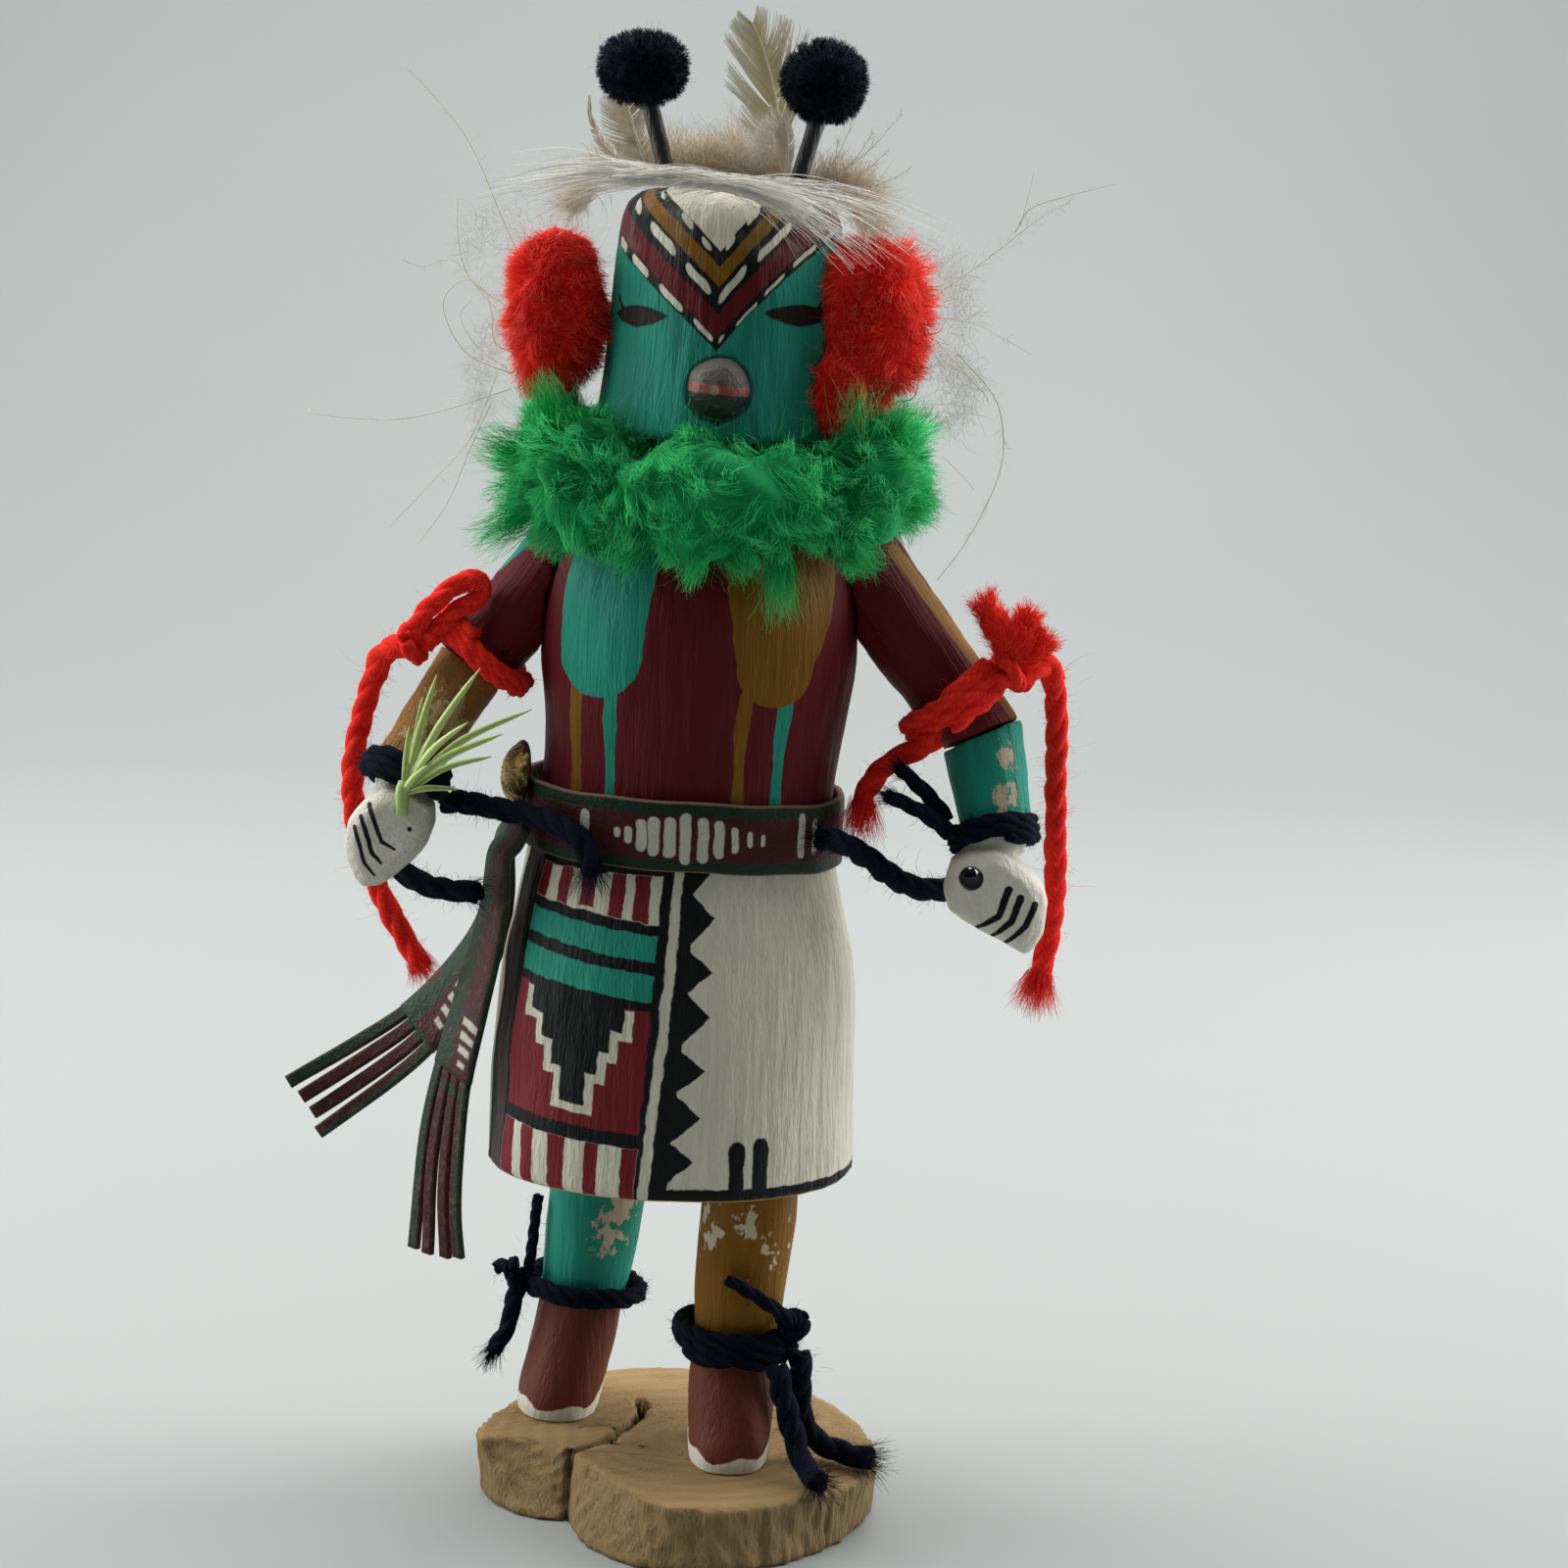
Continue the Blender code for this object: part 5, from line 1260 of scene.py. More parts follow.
def base_paint():
    paint = Paint("base_wood", rgb(160, 132, 88), roughness=0.78, specular=0.25)
    x, y, z = paint.split(paint.place())
    up = paint.split(paint.node("ShaderNodeNewGeometry").outputs["Normal"])[2]
    top = up.ramp(0.62, 0.85)
    reach = ((x - 6.0).power(2.0) + (y + 4.0).power(2.0)).math("SQRT")
    rings = (reach + paint.noise(0.05, detail=3) * 9.0).math("PINGPONG", 2.3).ramp(0.2, 1.9)
    saw = paint.noise(0.7, detail=5, vector=paint.along((0.94, 0.34, 0.0), 0.12), roughness=0.65)
    bark = paint.noise(1.1, detail=5, stretch=(1, 1, 0.06), roughness=0.66, distortion=0.3)
    fibres = paint.noise(2.6, detail=3, stretch=(1, 1, 0.07), roughness=0.6)
    paint.over((1 - top) * bark.ramp(0.35, 0.62) * 0.7, rgb(116, 98, 70))
    paint.over((1 - top) * bark.ramp(0.5, 0.30) * 0.75, rgb(74, 58, 40))
    paint.over((1 - top) * fibres.ramp(0.45, 0.3) * 0.5, rgb(62, 48, 32))
    paint.over(top * rings * 0.24, rgb(118, 92, 60))
    paint.over(top * saw.ramp(0.5, 0.75) * 0.4, rgb(168, 146, 108))
    paint.over(top * saw.ramp(0.46, 0.3) * 0.4, rgb(116, 92, 62))
    # The pith's ring line that runs from the notch across the top
    line = (y + 15.4 + (x * 0.11).sine() * 1.4 + (paint.noise(0.2) - 0.5) * 2.0)
    paint.over(top * (abs(line) - 0.22).inside(0.3) * x.between(-18.0, 16.0, 3.0) * 0.7, rgb(112, 84, 54))
    a, b = unsteady(paint, x, y, size=0.6, scale=0.5)
    # The cracks get near-black strokes along their lines: painted shade inside them
    for points, half, _ in CRACKS:
        for start, end in zip(points, points[1:]):
            paint.over(stroke_distance(a, b, start, end, half * 0.75).inside(0.3) * z.above(4.0, 1.0), rgb(30, 21, 14))
    # Painted shade down the crease between the two lobes, on the sides
    crease = (abs(x - CREASE_X) - 0.4).inside(0.6) * y.below(-10.0)
    paint.over((1 - top) * crease * 0.85, rgb(38, 28, 18))
    paint.shade(paint.noise(0.06, detail=4), 0.8, 1.2)
    paint.raise_by(top * saw * 0.35 + bark * 0.6 + fibres * 0.25)
    return paint.done()


def make_base():
    points, faces, normals = fine_mesh("base", 0.74, 2)
    on_top = smooth_step(points[:, 2], BASE_TOP - 0.9, BASE_TOP - 0.3) * smooth_step(normals[:, 2], 0.6, 0.9)
    side = 1 - smooth_step(np.abs(normals[:, 2]), 0.65, 0.85)
    furrow = 0.3 * ripple(points * (1, 1, 0.12), 4.2, 5) + 0.18 * ripple(points * (1, 1, 0.1), 1.7, 6)
    points = points + normals * (side * furrow)[:, None]
    # The lobes swell on both sides of the crease
    beside = np.abs(points[:, 0] - CREASE_X)
    crease = CREASE_DEPTH * (1 - smooth_step(beside, 0.2, 1.5)) - 0.7 * np.exp(-((beside - 3.4) / 1.6) ** 2)
    points[:, 1] += side * (points[:, 1] < -8) * crease
    sawn = 0.07 * np.sin(points @ np.array((0.9, 2.6, 0.0)) + 0.6 * ripple(points, 30, 8)) + 0.08 * ripple(points, 16, 9)
    points[:, 2] += on_top * (sawn - crack_depth(points))
    points[:, 2] = np.clip(points[:, 2], 0.0, None)
    Shell().add(points, faces).piece("sawn_base", base_paint(), "base_wood", ["base"])


make_body()
make_head()
make_peg()
make_arms()
make_base()


# Leather and brass: the belt, the two sash ends and the concho

BELT_BOTTOM, BELT_TOP = 137.5, 151.5
BELT_INNER, BELT_OUTER = 0.3, 1.8
BELT_DROP = 1.1
BELT_GREEN = rgb(13, 38, 24)
BELT_MAROON = rgb(62, 10, 16)
SUEDE = rgb(122, 100, 76)
SASH_WIDTH = 13.5
SASH_THICKNESS = 1.6
SASH_GREEN = rgb(22, 50, 32)

# Brush strokes on the belt: u round the body, middle height, half width, half height
BELT_STROKES = (
    (-20.0, 145.6, 1.15, 2.6), (-12.3, 144.5, 0.75, 0.9), (-9.8, 144.3, 0.8, 1.5), (-7.1, 144.6, 1.1, 3.0),
    (-4.6, 144.5, 1.15, 3.7), (-1.5, 144.4, 1.15, 3.9), (1.3, 144.2, 1.0, 5.0), (4.7, 144.0, 1.05, 4.4),
    (7.9, 144.4, 1.05, 3.6), (11.2, 144.6, 0.75, 2.5), (14.5, 144.9, 0.6, 1.5), (17.5, 144.7, 0.5, 1.1),
    (27.8, 145.4, 1.0, 4.4), (32.0, 145.3, 0.9, 3.5),
)

# The sash ends: the middle of each row and the way across it
SASH_BACK = (
    ((-35.4, 5.2, 143.5), (-0.2, 0.98, 0.0)), ((-36.4, 5.4, 139.6), (-0.2, 0.98, 0.0)),
    ((-38.2, 5.6, 136.0), (-0.2, 0.98, 0.0)), ((-38.8, 6.0, 126.0), (-0.25, 0.97, 0.0)),
    ((-41.4, 6.8, 115.0), (-0.4, 0.9, 0.18)), ((-47.2, 7.6, 105.0), (-0.5, 0.74, 0.44)),
    ((-55.2, 8.4, 95.4), (-0.46, 0.52, 0.72)), ((-64.6, 8.8, 87.4), (-0.46, 0.3, 0.84)),
    ((-80.0, 8.4, 76.4), (-0.48, 0.1, 0.87)))
SASH_FRONT = (
    ((-33.6, -10.6, 143.5), (-0.3, 0.95, 0.0)), ((-35.4, -10.8, 139.6), (-0.3, 0.95, 0.0)),
    ((-37.8, -11.0, 136.0), (-0.3, 0.95, 0.0)), ((-38.6, -10.0, 126.0), (-0.32, 0.95, 0.0)),
    ((-40.4, -9.0, 116.0), (-0.36, 0.93, 0.0)), ((-43.2, -8.0, 104.0), (-0.38, 0.92, 0.0)),
    ((-46.4, -7.0, 90.0), (-0.4, 0.91, 0.0)), ((-48.4, -6.0, 77.0), (-0.48, 0.88, 0.0)),
    ((-49.6, -5.0, 62.0), (-0.66, 0.75, 0.0)), ((-49.8, -4.0, 48.6), (-0.8, 0.6, 0.0)))
FRINGE_ROW = 6
STRANDS = 4
STRAND_SPREAD = 1.22


def leather_relief(paint):
    pores = paint.cells(1.5)
    crease = paint.noise(0.5, detail=5, roughness=0.65)
    paint.raise_by(pores * 0.12 + crease * 0.4)
    paint.shade(crease, 0.75, 1.25)
    return crease


def belt_paint():
    paint = Paint("belt_paint", BELT_MAROON, roughness=0.5, specular=0.2)
    plain_u, plain_v = paint.flat()
    u, v = unsteady(paint, plain_u, plain_v, size=0.35)
    crease = leather_relief(paint)
    paint.over(v.above(BELT_TOP - 2.7) | v.below(BELT_BOTTOM + 2.5), BELT_GREEN, roughness=0.48, proud=0.05)
    marks = None
    for centre, height, half_width, half_height in BELT_STROKES:
        away = (abs(v - height) - (half_height - half_width * 0.8)) | 0.0
        off = u - centre
        mark = (away * away + off * off).math("SQRT") - half_width
        marks = mark if marks is None else (marks & mark)
    white = rgb(188, 186, 172)
    paint.over(marks.inside(), white, roughness=0.55, proud=0.12)
    paint.over(marks.inside() * crease.ramp(0.62, 0.75) * 0.6, BELT_MAROON)
    # The cut edges show bare leather
    paint.over(plain_v.above(BELT_TOP - 0.35, 0.3) | plain_v.below(BELT_BOTTOM + 0.25, 0.3), SUEDE, roughness=0.8)
    return paint.done()


def make_belt():
    cx, a, b = eased(BODY_SECTIONS, BELT_BOTTOM, 0.5)
    angles = np.linspace(-math.pi, math.pi, 181)
    loop = ((BELT_INNER, 0.25), (BELT_INNER + 0.3, 0.0), (BELT_OUTER - 0.45, 0.0), (BELT_OUTER - 0.1, 0.2),
            (BELT_OUTER, 0.7), (BELT_OUTER + 0.05, 4.0), (BELT_OUTER, 8.0), (BELT_OUTER + 0.05, 11.0),
            (BELT_OUTER, 13.3), (BELT_OUTER - 0.1, 13.8), (BELT_OUTER - 0.45, 14.0), (BELT_INNER + 0.3, 14.0),
            (BELT_INNER, 13.7))
    rings, flat = [], []
    for grow, rise in (*loop, loop[0]):
        x, y = oval(angles[:-1], a + grow, b + grow, BODY_POWER)
        height = BELT_BOTTOM + rise - BELT_DROP * x / a + 0.25 * np.sin(3 * angles[:-1] + 1) + 0.12 * np.sin(11 * angles[:-1])
        rings.append(np.stack([x + cx, y, height], axis=-1))
        flat.append(np.stack([BODY_ROUND * angles, np.full_like(angles, BELT_BOTTOM + rise)], axis=-1))
    shell = Shell().rings(np.array(rings)[::-1], np.array(flat)[::-1], caps=False)
    shell.move(lambda points: points + unit(points * (1, 1, 0)) * (0.1 * ripple(points, 7, 3))[:, None])
    shell.piece("painted_belt", belt_paint(), "belt_leather", ["belt"])


def sash_paint(name, strokes_from, bar_at):
    """The strap's painted face: green borders, maroon middle, a row of white strokes. u is across, v along."""
    paint = Paint(name, BELT_MAROON, roughness=0.6, specular=0.3)
    plain_u, plain_v = paint.flat()
    u, v = unsteady(paint, plain_u, plain_v, size=0.4)
    leather_relief(paint)
    paint.over(u.below(2.3) | u.above(SASH_WIDTH - 2.3), SASH_GREEN)
    paint.over(u.between(0.0, SASH_WIDTH) & v.between(bar_at, bar_at + 1.9), SASH_GREEN)
    marks = None
    for index, (half, height) in enumerate(((0.8, 3.4), (0.8, 2.9), (0.75, 2.3), (0.6, 1.5))):
        mark = box_distance(u, v, SASH_WIDTH / 2 - height, SASH_WIDTH / 2 + height,
                            strokes_from + index * 2.9 - half, strokes_from + index * 2.9 + half)
        marks = mark if marks is None else (marks & mark)
    paint.over(marks.inside(0.4), rgb(190, 188, 172))
    worn = paint.noise(0.5, detail=5).ramp(0.55, 0.72)
    paint.over(worn * 0.3, SUEDE)
    # The back and the cut edges are bare suede; their coordinates are stored below 0
    paint.over(plain_u.below(-0.5, 0.4), SUEDE, roughness=0.9)
    return paint.done()


def strip(shell, middles, ways, low, high, walked, thickness, face):
    """A flat strap whose cross-section runs from low to high across the way at each middle."""
    middles, ways = np.asarray(middles), unit(ways)
    along = unit(np.gradient(middles, axis=0))
    ways = unit(ways - along * dot(ways, along))
    outward = np.cross(along, ways) * face
    half, edge = thickness / 2, min(0.35, thickness / 3)
    profile = [(low, -half + edge), (low, half - edge), (low + edge, half)]
    profile += [(lerp(low, high, s), half) for s in (0.25, 0.5, 0.75)]
    profile += [(high - edge, half), (high, half - edge), (high, -half + edge), (high - edge, -half), (low + edge, -half)]
    rings, flat = [], []
    for middle, way, out, far in zip(middles, ways, outward, walked):
        ring = [middle + way * float(a) + out * float(b) for a, b in profile]
        rings.append(ring)
        across = [float(a) + SASH_WIDTH / 2 if b > 0 else -2.0 for a, b in profile]
        flat.append([(a, far) for a in across + across[:1]])
    order = np.array(rings) if face > 0 else np.array(rings)[:, ::-1]
    spread = np.array(flat) if face > 0 else np.array(flat)[:, ::-1]
    shell.rings(order, spread)


def make_sash(name, node, rows, face, strokes_from, bar_at, seed):
    """A strap that hangs from the belt and is cut into strands at its lower end."""
    middles = spline([row[0] for row in rows], 90)
    ways = unit(spline([row[1] for row in rows], 90))
    walked = np.concatenate([[0], np.cumsum(np.linalg.norm(np.diff(middles, axis=0), axis=1))])
    whole = walked[-1]
    fringe = length_of(spline([row[0] for row in rows[:FRINGE_ROW + 1]], 60))
    shell = Shell()
    upper = walked <= fringe + 1.0
    strip(shell, middles[upper], ways[upper], -SASH_WIDTH / 2, SASH_WIDTH / 2, walked[upper], SASH_THICKNESS, face)
    lower = walked >= fringe - 0.2
    rng = np.random.default_rng(seed)
    share = SASH_WIDTH / STRANDS
    far = np.clip((walked[lower] - fringe) / (whole - fringe), 0, 1)
    along = unit(np.gradient(middles, axis=0))[lower]
    out = np.cross(along, ways[lower])
    for strand in range(STRANDS):
        centre = -SASH_WIDTH / 2 + share * (strand + 0.5)
        spread = (centre * (1 + (STRAND_SPREAD - 1) * far) - centre) [:, None] * ways[lower]
        sway = (rng.uniform(-1.3, 1.3) * far ** 1.6 + 0.4 * np.sin(far * 7 + strand) * far)[:, None] * out
        end = walked[lower] <= whole - rng.uniform(0.0, 2.5)
        strip(shell, (middles[lower] + spread + sway)[end], ways[lower][end], centre - share / 2 + 0.22,
              centre + share / 2 - 0.22, walked[lower][end], SASH_THICKNESS * 0.92, face)
    piece = shell.piece(name, sash_paint(name + "_paint", strokes_from, bar_at), "sash_leather", [node])
    return whole


CONCHO_MIDDLE = np.array((-35.0, -6.0, 152.4))
CONCHO_FACING = (-0.93, -0.34, 0.12)
CONCHO_RADIUS = 7.0
CONCHO_RISE = 4.4
CONCHO_RIDGES = 9


def make_concho():
    """A domed brass button with fluted rays, pressed from sheet, dark in its hollows."""
    facing = unit(CONCHO_FACING)
    across = unit(np.cross(facing, (0, 0, 1)))
    up = np.cross(across, facing)
    turns = np.linspace(0, TAU, 109)[:-1]
    rings = []
    for share, lift in ((0.25, -0.95), (0.9, -0.95), (0.98, -0.75), (1.0, -0.4), (0.98, -0.05), (0.93, 0.12), (0.86, 0.16),
                        (0.78, 0.42), (0.66, 0.66), (0.52, 0.84), (0.38, 0.94), (0.26, 0.97), (0.22, 1.05),
                        (0.14, 1.12), (0.06, 1.15)):
        flute = 1 + 0.05 * np.cos(CONCHO_RIDGES * 2 * turns) * (0.3 < share < 0.9)
        ray = 0.42 * np.abs(np.sin(CONCHO_RIDGES * turns)) * (0.3 < share < 0.9)
        height = CONCHO_RISE * 0.62 * max(lift, 0.0) + 0.8 * min(lift, 0.0) + ray
        radius = CONCHO_RADIUS * share * flute
        rings.append(CONCHO_MIDDLE + facing * height[:, None] + radius[:, None] * (
            np.cos(turns)[:, None] * across + np.sin(turns)[:, None] * up))
    shell = Shell().rings(np.array(rings)[:, ::-1])
    paint = Paint("concho_metal", rgb(176, 148, 92), roughness=0.32, metallic=1.0)
    out = Num(paint.tree, paint.vector("DOT_PRODUCT", paint.vector(
        "SUBTRACT", paint.place(), tuple(CONCHO_MIDDLE)), tuple(facing)))
    patina = paint.noise(0.8, detail=5, roughness=0.7)
    paint.over((patina + (out * -0.16)).ramp(0.28, 0.45) * 0.9, rgb(38, 28, 20), roughness=0.6)
    paint.shade(paint.noise(2.0, detail=3), 0.75, 1.2)
    paint.raise_by(patina * 0.25)
    shell.piece("brass_concho", paint.done(), "concho_metal", ["concho"])


make_belt()
SASH_LENGTHS = (
    make_sash("sash_back_strap", "sash_back", SASH_BACK, -1, 40.7, 53.7, 3),
    make_sash("sash_front_strap", "sash_front", SASH_FRONT, -1, 44.2, 58.2, 4),
)
make_concho()


# Combed wool: the ears, the ruff and the pom-poms, and the wound bands with their knots

def surface(centre, radii, ways, lump, wavelength, seed, power=2.0):
    """Points and outward ways on a lumpy ball, for unit vectors ways. A power over 2 squares it off."""
    stretch = (np.abs(ways) ** power).sum(axis=1) ** (-1 / power)
    swell = stretch * (1 + lump * ripple(ways * np.asarray(radii) + centre, wavelength, seed))
    points = np.asarray(centre) + ways * radii * swell[:, None]
    return points, unit(np.sign(ways) * np.abs(ways) ** (power - 1) / np.asarray(radii))


def ball_core(shell, centre, radii, lump, wavelength, seed, shrink=0.9, columns=48, rows=30, slot=1, power=2.0):
    """The dense middle of a tuft, which its fibres stand on."""
    turns = np.linspace(0, TAU, columns + 1)[:-1]
    rings = []
    for lift in np.linspace(0.03, math.pi - 0.03, rows):
        ways = np.stack([np.sin(lift) * np.cos(turns), np.sin(lift) * np.sin(turns), np.full(columns, math.cos(lift))], -1)
        points, _ = surface(centre, np.asarray(radii) * shrink, ways, lump, wavelength, seed, power)
        rings.append(points)
    shell.rings(np.array(rings)[::-1], slot=slot)


def fur(shell, roots, normals, flow, length, width, seed, locks=0, pull=0.6, lift=0.8, curl=0.5, steps=4, droop=0.0,
        scatter=0.3, light_from=None, slot=0):
    """Fibres on a surface that lean along flow and gather into locks."""
    rng = np.random.default_rng(seed)
    count = len(roots)
    ways = unit(normals * lift + flow + rng.normal(0, scatter, (count, 3)))
    lengths = length * rng.uniform(0.55, 1.0, count)
    lines = strands(roots, ways, lengths, curl, seed, steps=steps, droop=droop)
    shade = rng.uniform(0, 1, count)
    facing = normals
    if locks:
        pick = rng.choice(count, locks, replace=False)
        near = np.concatenate([
            np.argmin(((part[:, None] - roots[pick][None]) ** 2).sum(axis=2), axis=1)
            for part in np.array_split(roots, max(1, count // 4000))])
        t = np.linspace(0, 1, steps)[None, :, None]
        lines += (lines[pick][near][:, -1:] - lines[:, -1:]) * pull * t ** 1.6
        lock_shade = rng.uniform(0, 1, locks)
        shade = np.clip(0.65 * lock_shade[near] + 0.35 * shade, 0, 1)
        aside = roots - roots[pick][near]
        size = np.linalg.norm(aside, axis=1).mean() + 1e-6
        facing = unit(normals + 0.55 * aside / size * 0.7 + rng.normal(0, 0.12, (count, 3)))
    shell.fibres(lines, width, facing=facing, shade=shade, slot=slot)


EARS = {
    # centre, radii, lump, seed
    "ear_right": ((-30.4, -3.0, 246.2), (10.8, 8.8, 18.8), 0.07, 3),
    "ear_left": ((31.6, -9.0, 246.6), (13.0, 9.8, 18.4), 0.07, 8),
}
EAR_LOBE = ((26.4, -15.0, 231.6), (6.4, 4.8, 10.6))
EAR_POWER = 2.7


def make_ears():
    for name, (centre, radii, lump, seed) in EARS.items():
        shell = Shell()
        parts = [(centre, radii, 8400)]
        if name == "ear_left":
            parts.append((*EAR_LOBE, 1700))
        for index, (middle, size, count) in enumerate(parts):
            ball_core(shell, middle, size, lump, 14.0, seed, shrink=0.8, power=EAR_POWER)
            roots, normals = surface(middle, np.asarray(size) * 0.8, scattered(seed + index, count), lump, 14.0, seed,
                                     EAR_POWER)
            swirl = np.stack([ripple(roots, 15.0, seed + part) for part in (31, 32, 33)], axis=1) * 0.5
            hang = swirl + np.array((0.0, 0.0, -0.5)) + unit((roots - middle) * (1, 1, 0)) * 0.2
            low = smooth_step(middle[2] - roots[:, 2], 0.55 * size[2], size[2])
            fur(shell, roots, normals, hang, 3.8 + 1.6 * ripple(roots, 9.0, seed + 40).clip(-0.5, 1) + 2.2 * low, 0.18,
                seed, locks=count // 33, pull=0.42, lift=0.7, curl=0.5, scatter=0.3)
            wild = np.random.default_rng(seed + index).choice(count, count // 10, replace=False)
            fur(shell, roots[wild], normals[wild], hang[wild] * 0.5, 6.4, 0.06, seed + 9, lift=1.0, curl=0.9, scatter=0.5)
        shell.piece(name + "_wool", [RED_WOOL, RED_WOOL], "red_wool", [name], "Fibre", soft_light=True)


# The ruff: a thick roll of wool round the neck, whose middle line rises at the sides

def ruff_middle(turn):
    c, s = np.cos(turn), np.sin(turn)
    return np.stack([2.4 + 33.6 * c, 28.6 * s, 211 + 5 * np.abs(c) ** 3], axis=-1)


def ruff_surface(turn, round_angle, grow):
    """A point of the ruff and its outward way, at a place along it and an angle round it."""
    c = np.cos(turn)
    wave = np.sin(3 * turn + 0.6) * 0.7 + np.sin(7 * turn) * 0.8 + np.sin(11 * turn + 2) * 0.6
    half_height, half_depth = 13.2 + 2.6 * np.abs(c) ** 3 + wave, 11.4 + 0.5 * wave
    middle = ruff_middle(turn)
    outward = unit(np.stack([np.cos(turn) * 28.6, np.sin(turn) * 33.6, np.zeros_like(turn)], axis=-1))
    up = np.array((0.0, 0.0, 1.0))
    points = middle + grow * (outward * (half_depth * np.cos(round_angle))[..., None] +
                              up * (half_height * np.sin(round_angle))[..., None])
    ways = unit(outward * (np.cos(round_angle) / half_depth)[..., None] + up * (np.sin(round_angle) / half_height)[..., None])
    return points, ways


def ruff_swell(points):
    """How far the wool's puffs stand out of the roll, with deep hollows between them."""
    puffs = ripple(points, 21.0, 51)
    return 1.9 * puffs.clip(-1.1, 1.3) + 0.9 * ripple(points, 9.0, 52) - 1.5 * np.exp(-((puffs + 0.35) / 0.22) ** 2)


RUFF_CORE = 0.74
# Tufts that hang below the roll or stand up from it: root, way, length, radius
RUFF_TUFTS = (
    ((15.6, -27.0, 202.0), (0.12, -0.2, -1.0), 15.0, 3.0), ((8.0, -30.0, 203.0), (0.3, -0.3, -0.8), 8.0, 5.0),
    ((-12.0, -28.0, 203.0), (-0.5, -0.3, -0.7), 8.0, 4.4), ((-34.0, -17.0, 206.0), (-0.9, -0.2, -0.5), 13.0, 4.4),
    ((29.0, -22.0, 204.0), (0.8, -0.2, -0.7), 9.0, 4.4), ((38.0, -14.0, 211.0), (1.0, -0.2, 0.1), 10.0, 4.6),
    ((-29.0, -17.0, 222.0), (-0.35, -0.1, 1.0), 13.0, 4.4), ((-36.0, -12.0, 217.0), (-1.0, -0.2, 0.35), 10.0, 5.0),
    ((29.0, -18.0, 222.0), (0.05, -0.15, 1.0), 14.0, 4.4), ((36.0, -14.0, 219.0), (0.7, -0.2, 0.7), 10.0, 4.6),
)


def make_ruff():
    columns, rows = 190, 44
    turns = np.linspace(0, TAU, columns + 1)
    rings = []
    for turn in turns:
        points, ways = ruff_surface(np.full(rows, turn), np.linspace(0, TAU, rows + 1)[:-1], RUFF_CORE)
        rings.append(points + ways * (ruff_swell(points) - 0.5 - 0.6 * ways[:, 2].clip(0, 1))[:, None])
    for part, (name, low, high, count) in enumerate((
            ("ruff_front_wool", math.pi - 0.03, TAU + 0.03, 15000), ("ruff_back_wool", -0.03, math.pi + 0.03, 8200))):
        shell = Shell()
        shell.rings(np.array([ring for ring, turn in zip(rings, turns) if low <= turn <= high]), slot=1)
        rng = np.random.default_rng(70 + part)
        turn = rng.uniform(low, high, count * 3)
        angle = rng.uniform(0, TAU, count * 3)
        # Few fibres grow low on the inner side, against the neck
        keep = rng.uniform(0, 1, count * 3) < np.where((np.cos(angle) < -0.5) & (np.sin(angle) < 0.35), 0.1, 1.0)
        turn, angle = turn[keep][:count], angle[keep][:count]
        roots, ways = ruff_surface(turn, angle, RUFF_CORE)
        swell = ruff_swell(roots)
        swirl = np.stack([ripple(roots, 24.0, 81), ripple(roots, 24.0, 82), ripple(roots, 24.0, 83)], axis=1)
        peak = smooth_step(np.abs(np.cos(turn)), 0.8, 1.0) * smooth_step(np.sin(angle), 0.2, 0.9)
        flow = 0.85 * swirl + np.array((0.0, 0.0, -0.25)) + unit(roots * (1, 1, 0)) * 0.2
        flow = flow + peak[:, None] * np.array((0.0, 0.0, 1.0))
        roots = roots + ways * (swell - 0.7)[:, None]
        length = 6.2 + 2.2 * ripple(roots, 14.0, 84).clip(-0.8, 1) + 2.0 * peak
        # The top of the roll is combed forward from under the chin
        chin = smooth_step(ways[:, 2], 0.3, 0.9) * smooth_step(-roots[:, 1], 8.0, 20.0) * (1 - peak)
        flow = flow - chin[:, None] * np.array((0.0, 0.8, 0.0))
        length = length * (1 - 0.2 * chin)
        fur(shell, roots, ways, flow, length, 0.18, 90 + part, locks=count // 44, pull=0.62, lift=0.62, curl=0.8,
            scatter=0.3, steps=5)
        wild = rng.choice(len(roots), count // 11, replace=False)
        fur(shell, roots[wild], ways[wild], flow[wild] * 0.6, 8.5, 0.06, 95 + part, lift=1.0, curl=1.1, scatter=0.6,
            steps=5)
        if part == 0:
            for seed, (root, way, reach, radius) in enumerate(RUFF_TUFTS):
                loose_tuft(shell, root, way, reach, radius, 200 + seed)
        shell.piece(name, [GREEN_WOOL, GREEN_WOOL], "green_wool", ["ruff"], "Fibre", soft_light=True)


def loose_tuft(shell, root, way, reach, radius, seed, count=240):
    """A lock of wool that leaves the roll and narrows to a wispy tip."""
    rng = np.random.default_rng(seed)
    way = unit(way)
    aside = unit(np.cross(way, (0.2, 1.0, 0.1)))
    up = np.cross(way, aside)
    turn, out = rng.uniform(0, TAU, count)[:, None], np.sqrt(rng.uniform(0, 1, count))[:, None]
    off = np.cos(turn) * aside + np.sin(turn) * up
    roots = np.asarray(root) + off * out * radius + way * rng.uniform(-1.5, 2.5, (count, 1))
    ways = way + off * (0.35 - 0.25 * out) * rng.normal(0.4, 0.5, (count, 1)) + rng.normal(0, 0.14, (count, 3))
    lines = strands(roots, ways, reach * rng.uniform(0.25, 1.0, count), 0.6, seed, steps=6)
    t = np.linspace(0, 1, 6)[None, :, None]
    tip = np.asarray(root) + way * reach
    lines += (tip - lines[:, -1:]) * rng.uniform(0.2, 0.65, (count, 1, 1)) * t ** 2 * (1 - 0.3 * out[:, None])
    shell.fibres(lines, 0.14, facing=unit(off + 0.35 * rng.normal(size=(count, 3))),
                 shade=rng.uniform(0.2, 1, count))


